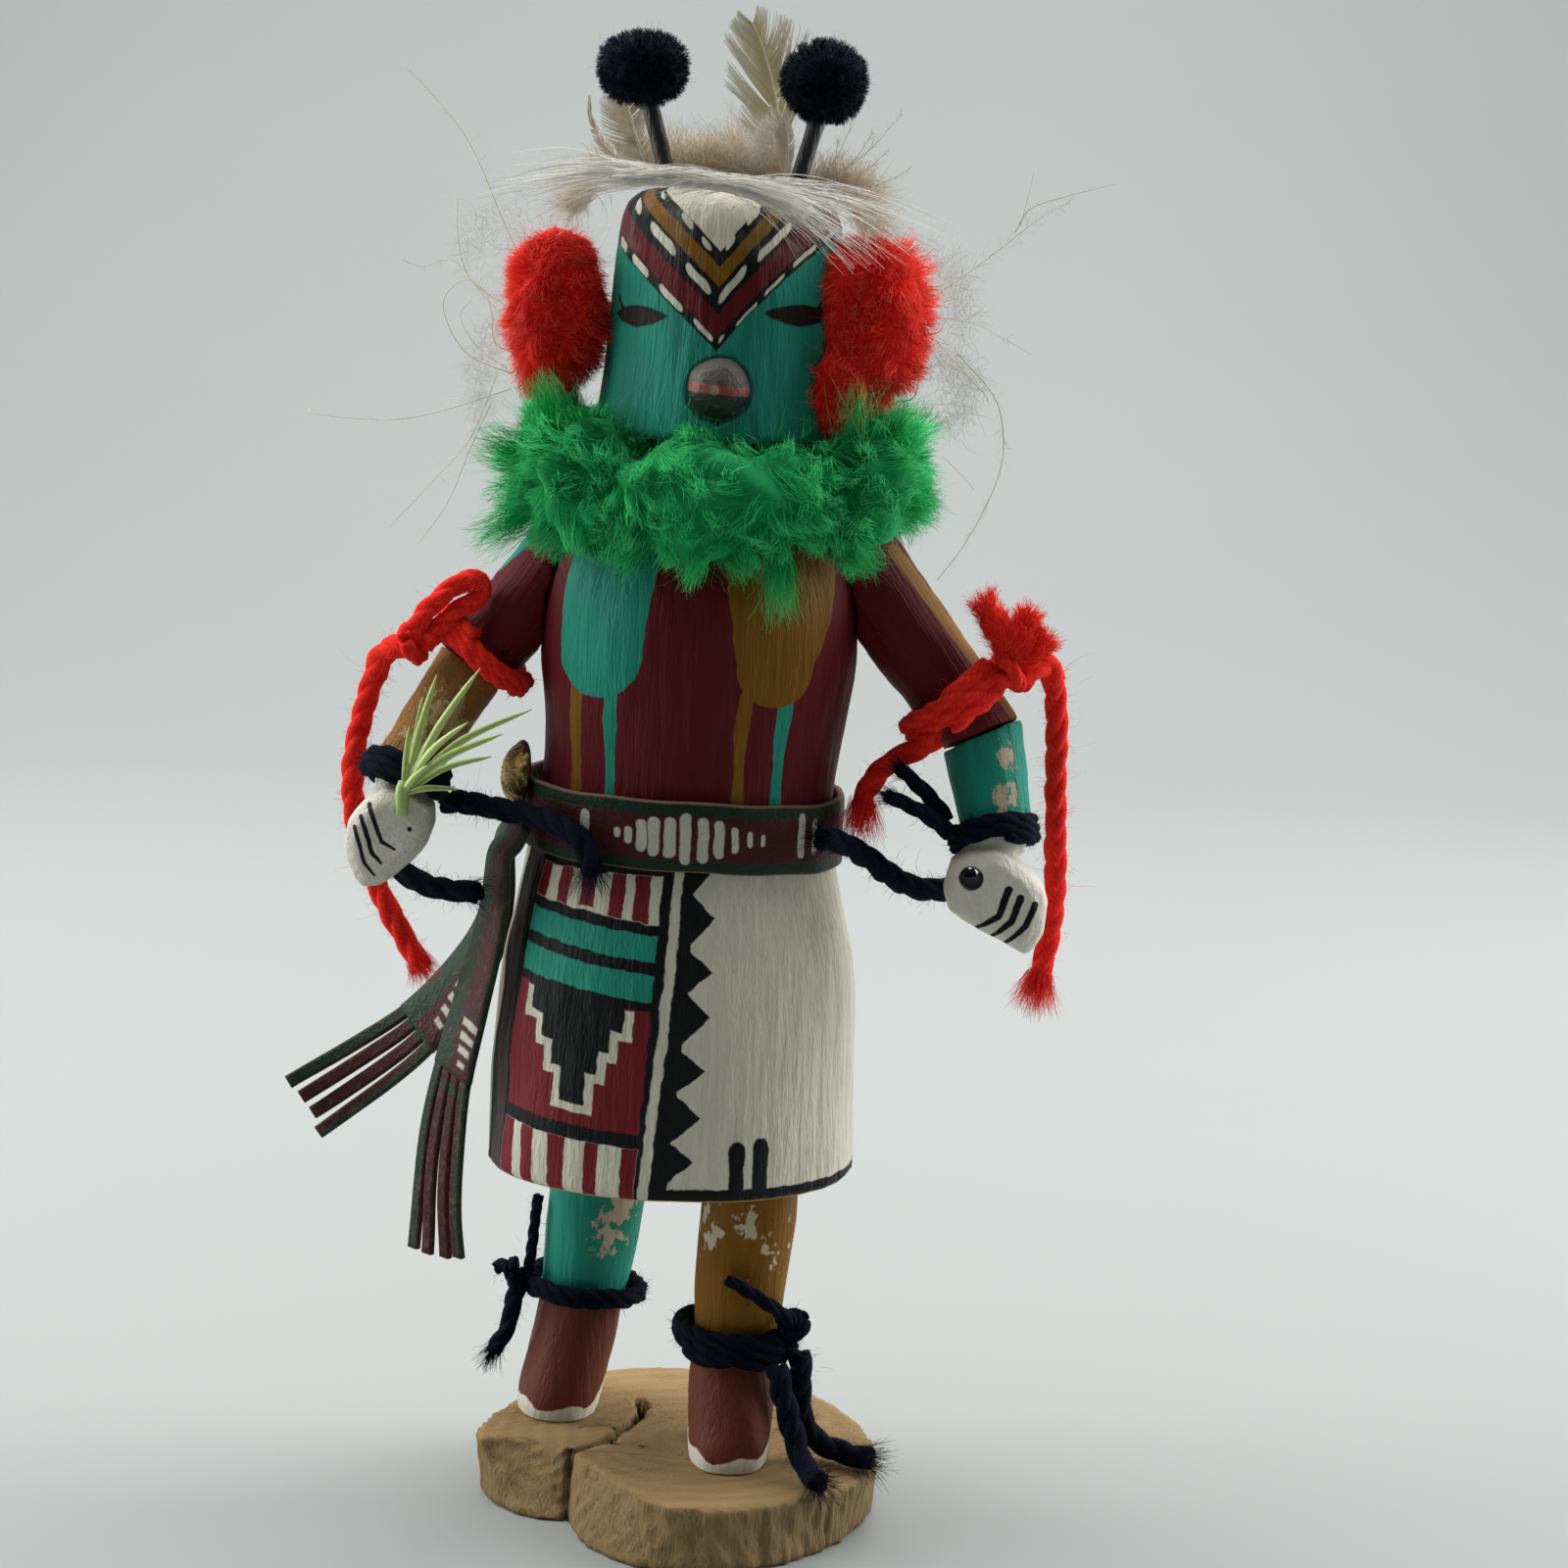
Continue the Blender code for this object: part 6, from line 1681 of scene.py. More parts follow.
ANTENNAE = {
    # foot, tip, pom-pom radii, how far aside the pom-pom sits
    "right": ((-8.9, -5.0, 271.2), (-13.0, -5.0, 285.4), (9.5, 8.4, 7.5), 0.4),
    "left": ((16.0, -5.0, 271.2), (19.2, -5.0, 283.0), (8.9, 8.6, 8.5), -0.8),
}
ROD_RADIUS = 1.7


def make_antennae():
    rod = Paint("rod_paint", rgb(20, 20, 20), roughness=0.38, specular=0.5)
    grain = rod.noise(1.4, detail=4, stretch=(1, 1, 0.15))
    rod.shade(grain, 0.7, 1.6)
    rod.over(rod.noise(0.9, detail=3).ramp(0.66, 0.72) * 0.5, rgb(84, 66, 46))
    rod.raise_by(grain * 0.4)
    rod_material = rod.done()
    for side, (foot, tip, radii, aside) in ANTENNAE.items():
        foot, tip = np.array(foot), np.array(tip)
        line = lerp(foot, tip + unit(tip - foot) * 2.5, np.linspace(0, 1, 14)[:, None])
        whittled = ROD_RADIUS * (1 + 0.03 * ripple(line, 5, 2))
        shell = Shell().tube(line, whittled, sides=18)
        shell.piece(f"antenna_{side}_rod", rod_material, "rod_paint", [f"antenna_{side}"])
        centre = tip + unit(tip - foot) * (radii[2] + 0.6) + (aside, 0, 0)
        pile = Shell()
        seed = 20 + len(side)
        ball_core(pile, centre, radii, 0.04, 7.0, seed, shrink=0.88, columns=32, rows=20)
        roots, ways = surface(centre, np.array(radii) * 0.86, scattered(seed, 5200), 0.04, 7.0, seed)
        fur(pile, roots, ways, np.zeros(3), 1.9, 0.2, seed, locks=320, pull=0.45, lift=1.0, curl=0.5, scatter=0.25,
            steps=3)
        wild = np.arange(0, len(roots), 30)
        fur(pile, roots[wild], ways[wild], np.zeros(3), 3.6, 0.07, seed + 1, lift=1.0, curl=1.2, scatter=0.7)
        pile.piece(f"pompom_{side}_wool", [NAVY_WOOL, NAVY_WOOL], "navy_yarn", [f"pompom_{side}"], "Fibre", soft_light=True)


def wound(shell, centre, way, inner, height, diameter, turns, seed, start=0.0, hairs=5.0):
    """Yarn wound round a limb: a few turns side by side, each a little astray."""
    way = unit(way)
    across = unit(np.cross(way, (0, 1, 0)))
    up = np.cross(way, across)
    count = int(TAU * (inner + diameter / 2) * turns / 0.95)
    t = np.linspace(0, turns, count)
    angle = (t + start) * TAU
    lift = (t / turns - 0.5) * max(height - diameter, 0.0)
    spiral = np.asarray(centre) + lift[:, None] * way
    line = spiral + (inner + diameter / 2) * (np.cos(angle)[:, None] * across + np.sin(angle)[:, None] * up)
    line = line + way * (0.35 * ripple(line, 9.0, seed))[:, None]
    spun(shell, line, diameter, seed=seed, sides=7)
    fuzz(shell, line, diameter / 2, int(hairs * length_of(line)), 2.6, seed)
    return line


def knot(shell, points, diameter, seed):
    """A knot pulled tight: a short thick run, crossed by one loop."""
    points = np.asarray(points, float)
    line = spline(points, 26)
    tangent, side, up = frames(line)
    turn = np.linspace(0, TAU * 1.6, 26)[:, None]
    spun(shell, line + 0.9 * (np.cos(turn) * side + np.sin(turn) * up), diameter * 0.85, seed=seed)
    middle = line[13]
    angles = np.linspace(0.4, TAU + 0.2, 24)[:, None]
    reach = diameter * 0.62
    loop = middle + reach * (np.cos(angles) * side[13] + np.sin(angles) * up[13]) + tangent[13] * 0.8 * np.sin(angles)
    spun(shell, loop, diameter * 0.7, seed=seed + 1)
    fuzz(shell, line, diameter * 0.7, 60, 3.0, seed)


def tuft(shell, points, radii, seed, count=1000, length=2.8):
    """A brush of unspun wool along a line, thicker where radii say, that fans out at its end."""
    steps = 36
    line = spline(points, steps)
    thick = np.interp(np.linspace(0, 1, steps), np.linspace(0, 1, len(radii)), radii)
    shell.tube(line, thick * 0.76 * (1 + 0.12 * ripple(line, 4, seed)), sides=12, slot=1)
    rng = np.random.default_rng(seed)
    tangent, side, up = frames(line)
    pick, turn = rng.integers(0, steps, count), rng.uniform(0, TAU, count)[:, None]
    out = np.cos(turn) * side[pick] + np.sin(turn) * up[pick]
    fur(shell, line[pick] + out * (thick[pick] * 0.72)[:, None], out, tangent[pick], length, 0.16, seed,
        locks=140, pull=0.3, lift=0.6, curl=0.5, slot=1)
    fray(shell, line[-1], tangent[-1], thick[-1] * 0.8, length * 1.4, 220, seed + 50, spread=0.6, droop=0.0)


RED_PAIR = (RED_SPUN, RED_WOOL)
NAVY_PAIR = (NAVY_SPUN, NAVY_WOOL)


def make_bands():
    right = lerp(RIGHT_SHOULDER, RIGHT_ELBOW, 0.86)
    left = lerp(LEFT_SHOULDER, LEFT_ELBOW, 0.80)

    shell = Shell()
    wound(shell, right, np.subtract(RIGHT_ELBOW, RIGHT_SHOULDER), 8.6, 7.4, 3.6, 2.1, 5, start=0.3)
    knot(shell, ((-52.0, -8.9, 178.8), (-56.4, -8.6, 178.4), (-60.6, -6.8, 177.2)), 4.8, 15)
    # The yarn's other end stands up from the knot, doubled
    yarn_run(shell, ((-57.0, -8.4, 178.8), (-55.2, -9.2, 183.4), (-51.6, -9.4, 187.6), (-46.8, -8.6, 191.4),
                     (-43.6, -8.0, 191.2), (-43.4, -7.8, 188.4), (-49.0, -8.6, 184.4), (-54.6, -8.2, 177.6)), 4.4, 25, hairs=5.0)
    fray(shell, (-44.6, -8.2, 191.0), (0.6, -0.1, 0.8), 1.8, 3.0, 140, 26, spread=0.7, droop=0.0)
    yarn_run(shell, ((-57.6, -8.0, 177.8), (-60.6, -6.4, 177.2), (-63.0, -4.0, 175.4), (-64.3, -2.7, 172.6),
                     (-65.0, -2.2, 170.4)), 5.3, 27, hairs=5.0)
    shell.piece("armband_right_yarn", RED_PAIR, "red_wool", ["armband_right"], "Fibre")

    shell = Shell()
    wound(shell, left, np.subtract(LEFT_ELBOW, LEFT_SHOULDER), 9.2, 9.2, 4.0, 2.2, 6, start=0.1)
    knot(shell, ((60.6, -9.8, 174.6), (63.2, -9.2, 177.6), (65.2, -7.8, 180.4)), 4.4, 16)
    # The unspun ends stand up from the knot as one brush with three tips
    tuft(shell, ((63.0, -8.0, 178.6), (61.0, -8.6, 185.0), (56.8, -8.0, 191.8)), (3.0, 4.0, 3.2), 26)
    tuft(shell, ((64.0, -8.2, 179.2), (64.8, -8.8, 185.0), (66.2, -8.2, 189.6)), (3.0, 3.9, 2.9), 27)
    tuft(shell, ((64.6, -7.8, 178.8), (67.4, -7.8, 182.4), (69.6, -7.2, 185.0)), (3.0, 4.0, 3.3), 30)
    yarn_run(shell, ((65.0, -8.4, 175.8), (68.2, -6.6, 178.6), (70.6, -4.2, 179.2), (71.9, -2.5, 177.2), (72.4, -1.8, 175.2)),
             5.3, 31, hairs=5.0)
    tail = yarn_run(shell, ((48.9, -11.0, 164.3), (44.4, -7.8, 160.8), (39.4, -5.6, 157.4), (35.8, -6.0, 152.6),
                            (34.8, -7.2, 148.0)), 4.8, 28, hairs=5.0)
    fray(shell, tail[-1], (-0.1, -0.2, -1.0), 3.0, 8.0, 480, 29, spread=0.4, droop=0.1)
    shell.piece("armband_left_yarn", RED_PAIR, "red_wool", ["armband_left"], "Fibre")

    shell = Shell()
    wound(shell, lerp(RIGHT_ELBOW, RIGHT_WRIST, 1.02) + (0.8, 0.0, 0.0), (-0.25, -0.35, -0.9), 5.8, 7.6, 3.8, 2.4, 7)
    shell.piece("wristband_right_yarn", NAVY_PAIR, "navy_yarn", ["wristband_right"], "Fibre")

    shell = Shell()
    wound(shell, lerp(LEFT_ELBOW, LEFT_WRIST, 1.12) - (0.8, 0.0, 0.0), np.subtract(LEFT_WRIST, LEFT_ELBOW), 5.9, 7.0, 3.7,
          2.2, 8)
    for seed, points in ((38, ((51.6, -10.6, 147.6), (47.4, -12.4, 153.0), (41.4, -13.4, 158.4))),
                         (39, ((52.4, -13.2, 145.4), (47.2, -15.2, 149.4), (39.2, -15.8, 153.0)))):
        tail = yarn_run(shell, points, 3.8, seed, thin=np.linspace(1.0, 0.8, steps_for(points, 0.9)))
        fray(shell, tail[-1], tail[-1] - tail[-3], 1.6, 4.0, 160, seed + 4)
    shell.piece("wristband_left_yarn", NAVY_PAIR, "navy_yarn", ["wristband_left"], "Fibre")

    shell = Shell()
    wound(shell, (-19.1, 16.0, 38.6), (-1.5, 0.0, -16.0), 10.2, 5.8, 3.2, 2.0, 9)
    knot(shell, ((-30.8, 12.8, 39.4), (-33.6, 12.2, 41.4), (-38.0, 12.0, 42.8)), 3.6, 19)
    tail = yarn_run(shell, ((-32.4, 12.4, 40.6), (-34.0, 12.0, 35.6), (-35.2, 12.0, 29.4), (-38.2, 12.0, 24.0)), 4.0, 43)
    fray(shell, tail[-1], tail[-1] - tail[-3], 1.8, 5.0, 220, 44)
    yarn_run(shell, ((-31.4, 12.8, 39.6), (-30.6, 12.8, 47.0), (-29.6, 13.2, 58.6)), 2.6, 45)
    shell.piece("ankle_yarn_right_wound", NAVY_PAIR, "navy_yarn", ["ankle_yarn_right"], "Fibre")

    shell = Shell()
    wound(shell, (13.8, -7.7, 37.2), (-1.0, 0.0, -16.0), 9.7, 8.4, 3.8, 2.4, 10)
    knot(shell, ((24.4, -14.6, 38.0), (25.8, -15.0, 41.6), (23.6, -17.2, 44.6)), 3.8, 20)
    yarn_run(shell, ((24.4, -14.6, 38.0), (25.8, -15.0, 41.6), (20.8, -19.0, 47.0), (11.6, -20.0, 52.6)), 3.8, 46,
             thin=np.linspace(1.0, 0.65, steps_for(((24.4, -14.6, 38.0), (25.8, -15.0, 41.6), (20.8, -19.0, 47.0),
                                                    (11.6, -20.0, 52.6)), 0.9)))
    shell.piece("ankle_yarn_left_wound", NAVY_PAIR, "navy_yarn", ["ankle_yarn_left"], "Fibre")


make_ears()
make_ruff()
make_antennae()
make_bands()


# Feathers: shafts with their barbs, tufts of down, and the long loose barbs at each side

PALE = rgb(236, 232, 218)
BEIGE = rgb(222, 208, 178)
OLIVE = rgb(204, 188, 140)
DOWN_BROWN = rgb(168, 136, 98)
WISP = rgb(226, 227, 220)


def feather_paint(name, edge, middle, dark=None):
    """u runs out along each barb, v along the shaft, with a fraction that tells the barbs apart."""
    paint = Paint(name, middle, roughness=0.7, specular=0.3, sheen=0.25, sheen_roughness=0.5)
    out, along = paint.flat("Fibre")
    paint.over(out.ramp(0.25, 0.95), edge)
    if dark is not None:
        paint.over(paint.noise(0.35, detail=2).ramp(0.48, 0.62) * out.ramp(1.0, 0.3) * 0.75, dark)
    paint.shade(paint.noise(0.9, detail=3, stretch=(1, 1, 0.25)), 0.82, 1.15)
    return paint.done()


def down_paint(name, root, tip):
    paint = Paint(name, tip, roughness=0.8, specular=0.2, sheen=0.3, sheen_roughness=0.5)
    out, lock = paint.flat("Fibre")
    paint.over(out.ramp(0.8, 0.1) * 0.9, root)
    paint.shade(lock, 0.8, 1.15)
    return paint.done()


FEATHER_BEIGE = feather_paint("feather_beige", PALE, BEIGE)
FEATHER_OLIVE = feather_paint("feather_olive", PALE, OLIVE)
FEATHER_RIBBED = feather_paint("feather_ribbed", PALE, BEIGE, rgb(166, 146, 112))
FEATHER_WHITE = feather_paint("feather_white", rgb(245, 243, 236), rgb(240, 237, 226))
SHAFT_PALE = down_paint("shaft_pale", rgb(238, 230, 208), rgb(245, 242, 230))
DOWN_BEIGE = down_paint("down_beige", rgb(196, 172, 136), rgb(236, 222, 196))
DOWN_DARK = down_paint("down_brown", DOWN_BROWN, rgb(214, 190, 152))
DOWN_WHITE = down_paint("down_white", rgb(236, 230, 218), rgb(246, 243, 234))
WISPS = down_paint("wisp", WISP, WISP)


def vane(shell, shaft, reaches, angles, facing, side, seed, spacing=0.2, width=0.34, bow=0.3, cup=0.12, gaps=0.0,
         slot=0, steps=8, first=0.06, last=1.0, wander=0.03, shaft_width=0.0):
    """Barbs on one side of a shaft. reaches are their lengths and angles their turn from the shaft's way, tip last."""
    rng = np.random.default_rng(seed)
    shaft = np.asarray(shaft, float)
    total = length_of(shaft)
    count = int(total / spacing)
    line = spline(shaft, 80)
    tangent = unit(np.gradient(line, axis=0))
    facing = unit(facing)
    where = np.linspace(first, last, count) + rng.uniform(-0.2, 0.2, count) / count
    where = np.clip(where, 0, 1)
    reach = np.interp(where, np.linspace(0, 1, len(reaches)), reaches) * rng.uniform(0.95, 1.03, count)
    turn = np.radians(np.interp(where, np.linspace(0, 1, len(angles)), angles))
    # Barbs hold together in bunches with gaps between, as a worn vane does
    bunch = np.sin(where * total * 0.9 + seed) + 0.6 * np.sin(where * total * 2.3 + seed * 2)
    turn = turn + gaps * 0.10 * np.sign(bunch) * np.abs(bunch) ** 0.5 + rng.normal(0, wander, count)
    spot = where * (len(line) - 1)
    low = np.clip(spot.astype(int), 0, len(line) - 2)
    part = (spot - low)[:, None]
    root = line[low] * (1 - part) + line[low + 1] * part
    way = unit(tangent[low] * (1 - part) + tangent[low + 1] * part)
    across = unit(np.cross(way, facing)) * side
    t = np.linspace(0, 1, steps)
    lines = np.zeros((count, steps, 3))
    spot = root.copy()
    lines[:, 0] = spot
    for step in range(1, steps):
        now = turn * (1 - bow * t[step])
        ahead = np.cos(now)[:, None] * way + np.sin(now)[:, None] * across
        spot = spot + ahead * (reach / (steps - 1))[:, None] - facing * (cup * reach / (steps - 1) * t[step])[:, None]
        lines[:, step] = spot
    lift = rng.uniform(-0.06, 0.06, count)[:, None, None] * facing
    keep = np.ones(count, bool)
    if gaps:
        keep = rng.uniform(0, 1, count) > 0.12 * gaps
    facings = unit(facing + across * 0.25 + rng.normal(0, 0.05, (count, 3)))
    shell.fibres((lines + lift)[keep], width, facing=facings[keep], shade=where[keep], taper=0.3, slot=slot)


def quill(shell, line, thick, thin=0.12, slot=1, sides=6):
    line = spline(line, 28)
    shell.tube(line, np.linspace(thick, thin, 28), sides=sides, slot=slot)


def tufted(shell, points, count, length, way, seed, width=0.09, spread=0.6, curl=0.8, slot=0, steps=6, thick=1.6,
           droop=0.0):
    """Down: long soft barbs that rise from a line and curl over each other."""
    rng = np.random.default_rng(seed)
    line = spline(points, 40)
    roots = line[rng.integers(0, 40, count)] + rng.normal(0, thick / 2, (count, 3))
    ways = np.asarray(way, float) + rng.normal(0, spread, (count, 3))
    lines = strands(roots, ways, length * rng.uniform(0.35, 1.0, count), curl, seed, steps=steps, droop=droop)
    toward = unit(np.array((0.0, -1.0, 0.35)) + rng.normal(0, 0.25, (count, 3)))
    shell.fibres(lines, width, facing=toward, shade=rng.uniform(0, 1, count), taper=0.35, slot=slot)


def plume(shell, points, count, length, seed, width=0.07, start=0.0, lean=0.9, slot=0, curl=0.5, spread=0.5):
    """A loose shaft with fine separate barbs along it, thinning toward its tip."""
    rng = np.random.default_rng(seed)
    line = spline(points, 60)
    tangent = unit(np.gradient(line, axis=0))
    pick = (start + (1 - start) * rng.uniform(0, 1, count) ** 1.2) * 59
    pick = pick.astype(int)
    side = unit(np.cross(tangent[pick], (0, 1, 0))) * rng.choice((-1, 1), count)[:, None]
    ways = tangent[pick] * lean + side + rng.normal(0, spread, (count, 3)) * (1, 0.5, 1)
    reach = length * (1 - 0.6 * pick / 59) * rng.uniform(0.5, 1, count)
    lines = strands(line[pick], ways, reach, curl, seed, steps=6)
    toward = unit(np.array((0.0, -1.0, 0.3)) + rng.normal(0, 0.2, (count, 3)))
    shell.fibres(lines, width, facing=toward, shade=rng.uniform(0, 1, count), slot=slot)


FRONT = (0.1, -1.0, 0.15)


def make_tall_feather():
    shell = Shell()
    shaft = ((14.2, 9.0, 271.0), (13.3, 8.8, 279.0), (12.0, 8.5, 285.0), (10.4, 8.2, 292.0), (8.2, 8.0, 298.6),
             (6.0, 7.8, 303.2))
    quill(shell, shaft, 0.45)
    vane(shell, shaft, (8.0, 13.0, 15.0, 14.5, 9.5, 4.0), (46, 43, 38, 32, 28, 22), FRONT, -1, 3, gaps=0.9, bow=0.3,
         first=0.1, spacing=0.11, width=0.36)
    vane(shell, shaft, (6.0, 13.0, 17.0, 14.0, 9.0, 4.0), (24, 30, 36, 44, 48, 44), FRONT, 1, 4, gaps=1.8, bow=0.5,
         first=0.2, spacing=0.17, width=0.32)
    tufted(shell, ((14.0, 8.0, 272.0), (12.4, 8.0, 279.0)), 420, 9.0, (-0.9, 0, 0.8), 5, spread=0.35, curl=0.6, slot=2)
    tufted(shell, ((6.4, 8.0, 283.0), (2.6, 8.0, 279.0)), 60, 8.0, (-0.5, 0, 1.0), 6, spread=0.2, slot=2, width=0.07)
    shell.piece("tall_feather", [FEATHER_OLIVE, SHAFT_PALE, DOWN_BEIGE], "feather", ["feather_tall"], "Fibre",
                soft_light=True)


def make_curled_feather():
    shell = Shell()
    shaft = ((-13.4, 7.0, 271.0), (-14.4, 6.8, 275.3), (-16.6, 6.6, 281.0), (-18.2, 6.2, 286.0), (-20.2, 6.0, 289.0))
    quill(shell, shaft, 0.5)
    vane(shell, shaft, (2.5, 5.5, 7.5, 6.6, 2.0), (78, 72, 66, 62, 30), FRONT, -1, 7, spacing=0.17, bow=0.35, gaps=0.4,
         cup=0.3)
    vane(shell, shaft, (1.0, 3.2, 5.5, 5.0, 2.0), (60, 60, 60, 60, 30), FRONT, 1, 8, spacing=0.3, bow=0.4, gaps=1.6,
         cup=0.35, last=0.8)
    # A small curved feather stands behind it, seen from its edge
    outer = ((-14.6, 8.0, 271.6), (-18.0, 7.6, 274.4), (-22.4, 7.2, 278.0), (-25.4, 7.0, 282.4), (-26.0, 7.0, 287.4))
    quill(shell, outer, 0.25, thin=0.08)
    vane(shell, outer, (4.0, 3.4, 2.4, 1.8, 0.6), (50, 50, 44, 34, 20), FRONT, 1, 9, spacing=0.3, gaps=1.5)
    vane(shell, outer, (4.0, 3.0, 1.2, 0.6), (40, 40, 30, 20), FRONT, -1, 10, spacing=0.35, gaps=1.5)
    tufted(shell, ((-13.0, 7.4, 272.0), (-9.6, 7.4, 274.0)), 520, 11.0, (0.1, 0, 1.0), 11, spread=0.3, curl=0.5, slot=2)
    tufted(shell, ((-17.0, 6.8, 273.0), (-24.0, 6.0, 274.0)), 260, 5.5, (-0.7, -0.2, 0.8), 12, spread=0.5, slot=2)
    shell.piece("curled_feather", [FEATHER_RIBBED, SHAFT_PALE, DOWN_BEIGE], "feather", ["feather_curled"], "Fibre",
                soft_light=True)


def make_spoon_feather():
    shell = Shell()
    shaft = ((14.0, 2.6, 270.8), (14.0, 2.5, 277.0), (13.9, 2.2, 281.0), (13.0, 1.8, 284.8))
    quill(shell, shaft, 0.42, thin=0.2)
    vane(shell, shaft, (1.5, 4.6, 5.6, 4.6), (70, 66, 60, 50), FRONT, -1, 13, spacing=0.2, bow=0.9, cup=0.4, gaps=0.6,
         first=0.3)
    vane(shell, shaft, (1.0, 2.0, 2.4, 2.0), (50, 50, 44, 30), FRONT, 1, 14, spacing=0.24, bow=0.3, gaps=1.0, first=0.2)
    tufted(shell, ((12.6, 2.2, 284.0), (9.6, 2.4, 281.6), (8.6, 2.6, 278.4)), 420, 3.6, (-0.4, -0.3, 0.2), 15,
           spread=0.6, curl=1.0, slot=2, thick=1.4)
    shell.piece("spoon_feather", [FEATHER_BEIGE, SHAFT_PALE, DOWN_WHITE], "feather", ["feather_spoon"], "Fibre",
                soft_light=True)


def make_down():
    shell = Shell()
    tufted(shell, ((-9.0, 8.4, 272.6), (0.0, 8.6, 272.8), (10.0, 8.4, 272.6)), 1900, 10.5, (0.0, -0.05, 1.0), 21,
           spread=0.42, curl=0.9, thick=2.6)
    tufted(shell, ((-5.4, 7.4, 273.6), (1.4, 7.2, 274.2)), 700, 7.0, (0.2, -0.1, 0.9), 22, spread=0.5, curl=0.9, slot=1)
    tufted(shell, ((4.0, 8.6, 273.4), (10.6, 8.4, 273.4)), 450, 11.0, (-0.6, 0, 1.0), 23, spread=0.3, curl=0.5, slot=0)
    shell.piece("down_tuft", [DOWN_BEIGE, DOWN_DARK], "feather", ["feather_down"], "Fibre", soft_light=True)

    shell = Shell()
    tufted(shell, ((17.6, 5.6, 271.4), (24.0, 5.8, 270.8), (30.4, 6.0, 268.4)), 1600, 8.6, (0.45, -0.05, 0.8), 24,
           spread=0.42, curl=0.7, thick=2.2)
    for seed, tip in enumerate(((26.7, 4.6, 284.8), (36.6, 4.6, 287.1), (31.0, 4.6, 283.2), (34.4, 4.6, 280.0),
                                (24.0, 4.4, 281.6), (39.0, 5.0, 276.4))):
        start = np.array((17.6 + seed * 0.7, 5.0, 271.6))
        tip = np.array(tip)
        bend = lerp(start, tip, 0.5) + (1.0, 0, -1.6)
        quill(shell, (start, bend, tip), 0.16, thin=0.05, slot=1, sides=5)
        plume(shell, (start, bend, tip), 46, 4.2, 30 + seed, width=0.07, lean=1.6, slot=2, curl=0.3, spread=0.2)
    shell.piece("fluff_tuft", [DOWN_BEIGE, SHAFT_PALE, DOWN_WHITE], "feather", ["feather_fluff"], "Fibre",
                soft_light=True)


def make_brow_feather():
    """A white feather laid across the forehead, its barbs long, loose and swept to both sides."""
    shell = Shell()
    shaft = ((-16.0, -24.6, 271.4), (-6.0, -26.2, 272.0), (3.0, -26.8, 271.4), (11.0, -26.6, 269.8))
    quill(shell, shaft, 0.5, thin=0.4)
    up = (0.1, -0.85, 0.5)
    rng = np.random.default_rng(31)
    # root, tip, strands, spread of the roots, spread of the tips
    groups = (
        ((-10.0, -25.4, 271.8), (-39.6, -19.6, 268.8), 42, 0.8, 1.2), ((-13.0, -24.8, 272.6), (-37.0, -20.0, 275.4), 4, 0.4, 0.4),
        ((-10.0, -25.4, 271.2), (-34.0, -20.4, 266.2), 26, 0.9, 1.9), ((-8.0, -25.6, 272.2), (-31.0, -21.4, 272.6), 46, 0.8, 1.3),
        ((-6.0, -26.0, 271.4), (-26.0, -22.6, 268.4), 40, 0.9, 1.5), ((12.0, -25.8, 270.8), (-8.0, -26.2, 269.8), 70, 0.8, 1.0),
        ((3.0, -26.6, 271.2), (24.8, -26.6, 260.4), 50, 0.8, 1.3), ((8.0, -26.6, 270.6), (29.4, -26.2, 257.2), 26, 0.6, 1.3),
        ((3.0, -26.6, 271.6), (33.0, -22.0, 265.8), 46, 0.9, 1.5), ((8.0, -26.2, 271.0), (44.4, -18.0, 265.2), 18, 0.7, 1.4),
        ((10.0, -26.0, 270.4), (38.0, -21.0, 260.6), 18, 0.7, 2.0), ((-2.0, -26.8, 271.6), (18.0, -26.6, 267.0), 120, 0.9, 1.1),
        ((-14.0, -25.2, 271.8), (4.0, -27.0, 271.2), 140, 0.9, 0.8),
    )
    steps = 10
    t = np.linspace(0, 1, steps)[None, :, None]
    for root, tip, count, near, far in groups:
        roots = np.asarray(root) + rng.normal(0, near, (count, 3)) * (3.0, 0.3, 0.5)
        tips = np.asarray(tip) + rng.normal(0, far, (count, 3)) * (2.4, 0.5, 1.0)
        # Each barb rises a little before it droops
        arch = np.linalg.norm(tips - roots, axis=1)[:, None, None] * rng.uniform(0.02, 0.11, count)[:, None, None]
        lines = roots[:, None] * (1 - t) + tips[:, None] * t + arch * np.sin(math.pi * t) * np.array((0.0, -0.25, 1.0))
        lines = lines + rng.normal(0, 0.12, (count, 1, 3)) * np.sin(math.pi * 1.7 * t)
        shell.fibres(lines, rng.uniform(0.09, 0.24, count), facing=unit(np.asarray(up) + rng.normal(0, 0.25, (count, 3))),
                     shade=rng.uniform(0, 1, count), taper=0.2, slot=0)
    vane(shell, shaft, (4.0, 5.0, 5.0, 4.0), (18, 20, 22, 24), up, 1, 33, spacing=0.09, gaps=1.0, width=0.4)
    vane(shell, shaft, (4.0, 5.0, 5.0, 4.0), (14, 16, 18, 22), up, -1, 34, spacing=0.09, gaps=1.0, width=0.4)
    tufted(shell, ((-27.0, -8.0, 266.0), (-22.6, -12.0, 270.0)), 520, 8.0, (-0.75, -0.25, 0.0), 35, spread=0.45, slot=3)
    tufted(shell, ((27.0, -10.0, 267.6), (31.0, -9.0, 265.0)), 520, 8.5, (0.8, -0.25, 0.0), 36, spread=0.45, slot=3)
    shell.piece("brow_feather", [FEATHER_WHITE, SHAFT_PALE, DOWN_WHITE, DOWN_BEIGE], "feather", ["feather_brow"], "Fibre",
                soft_light=True)


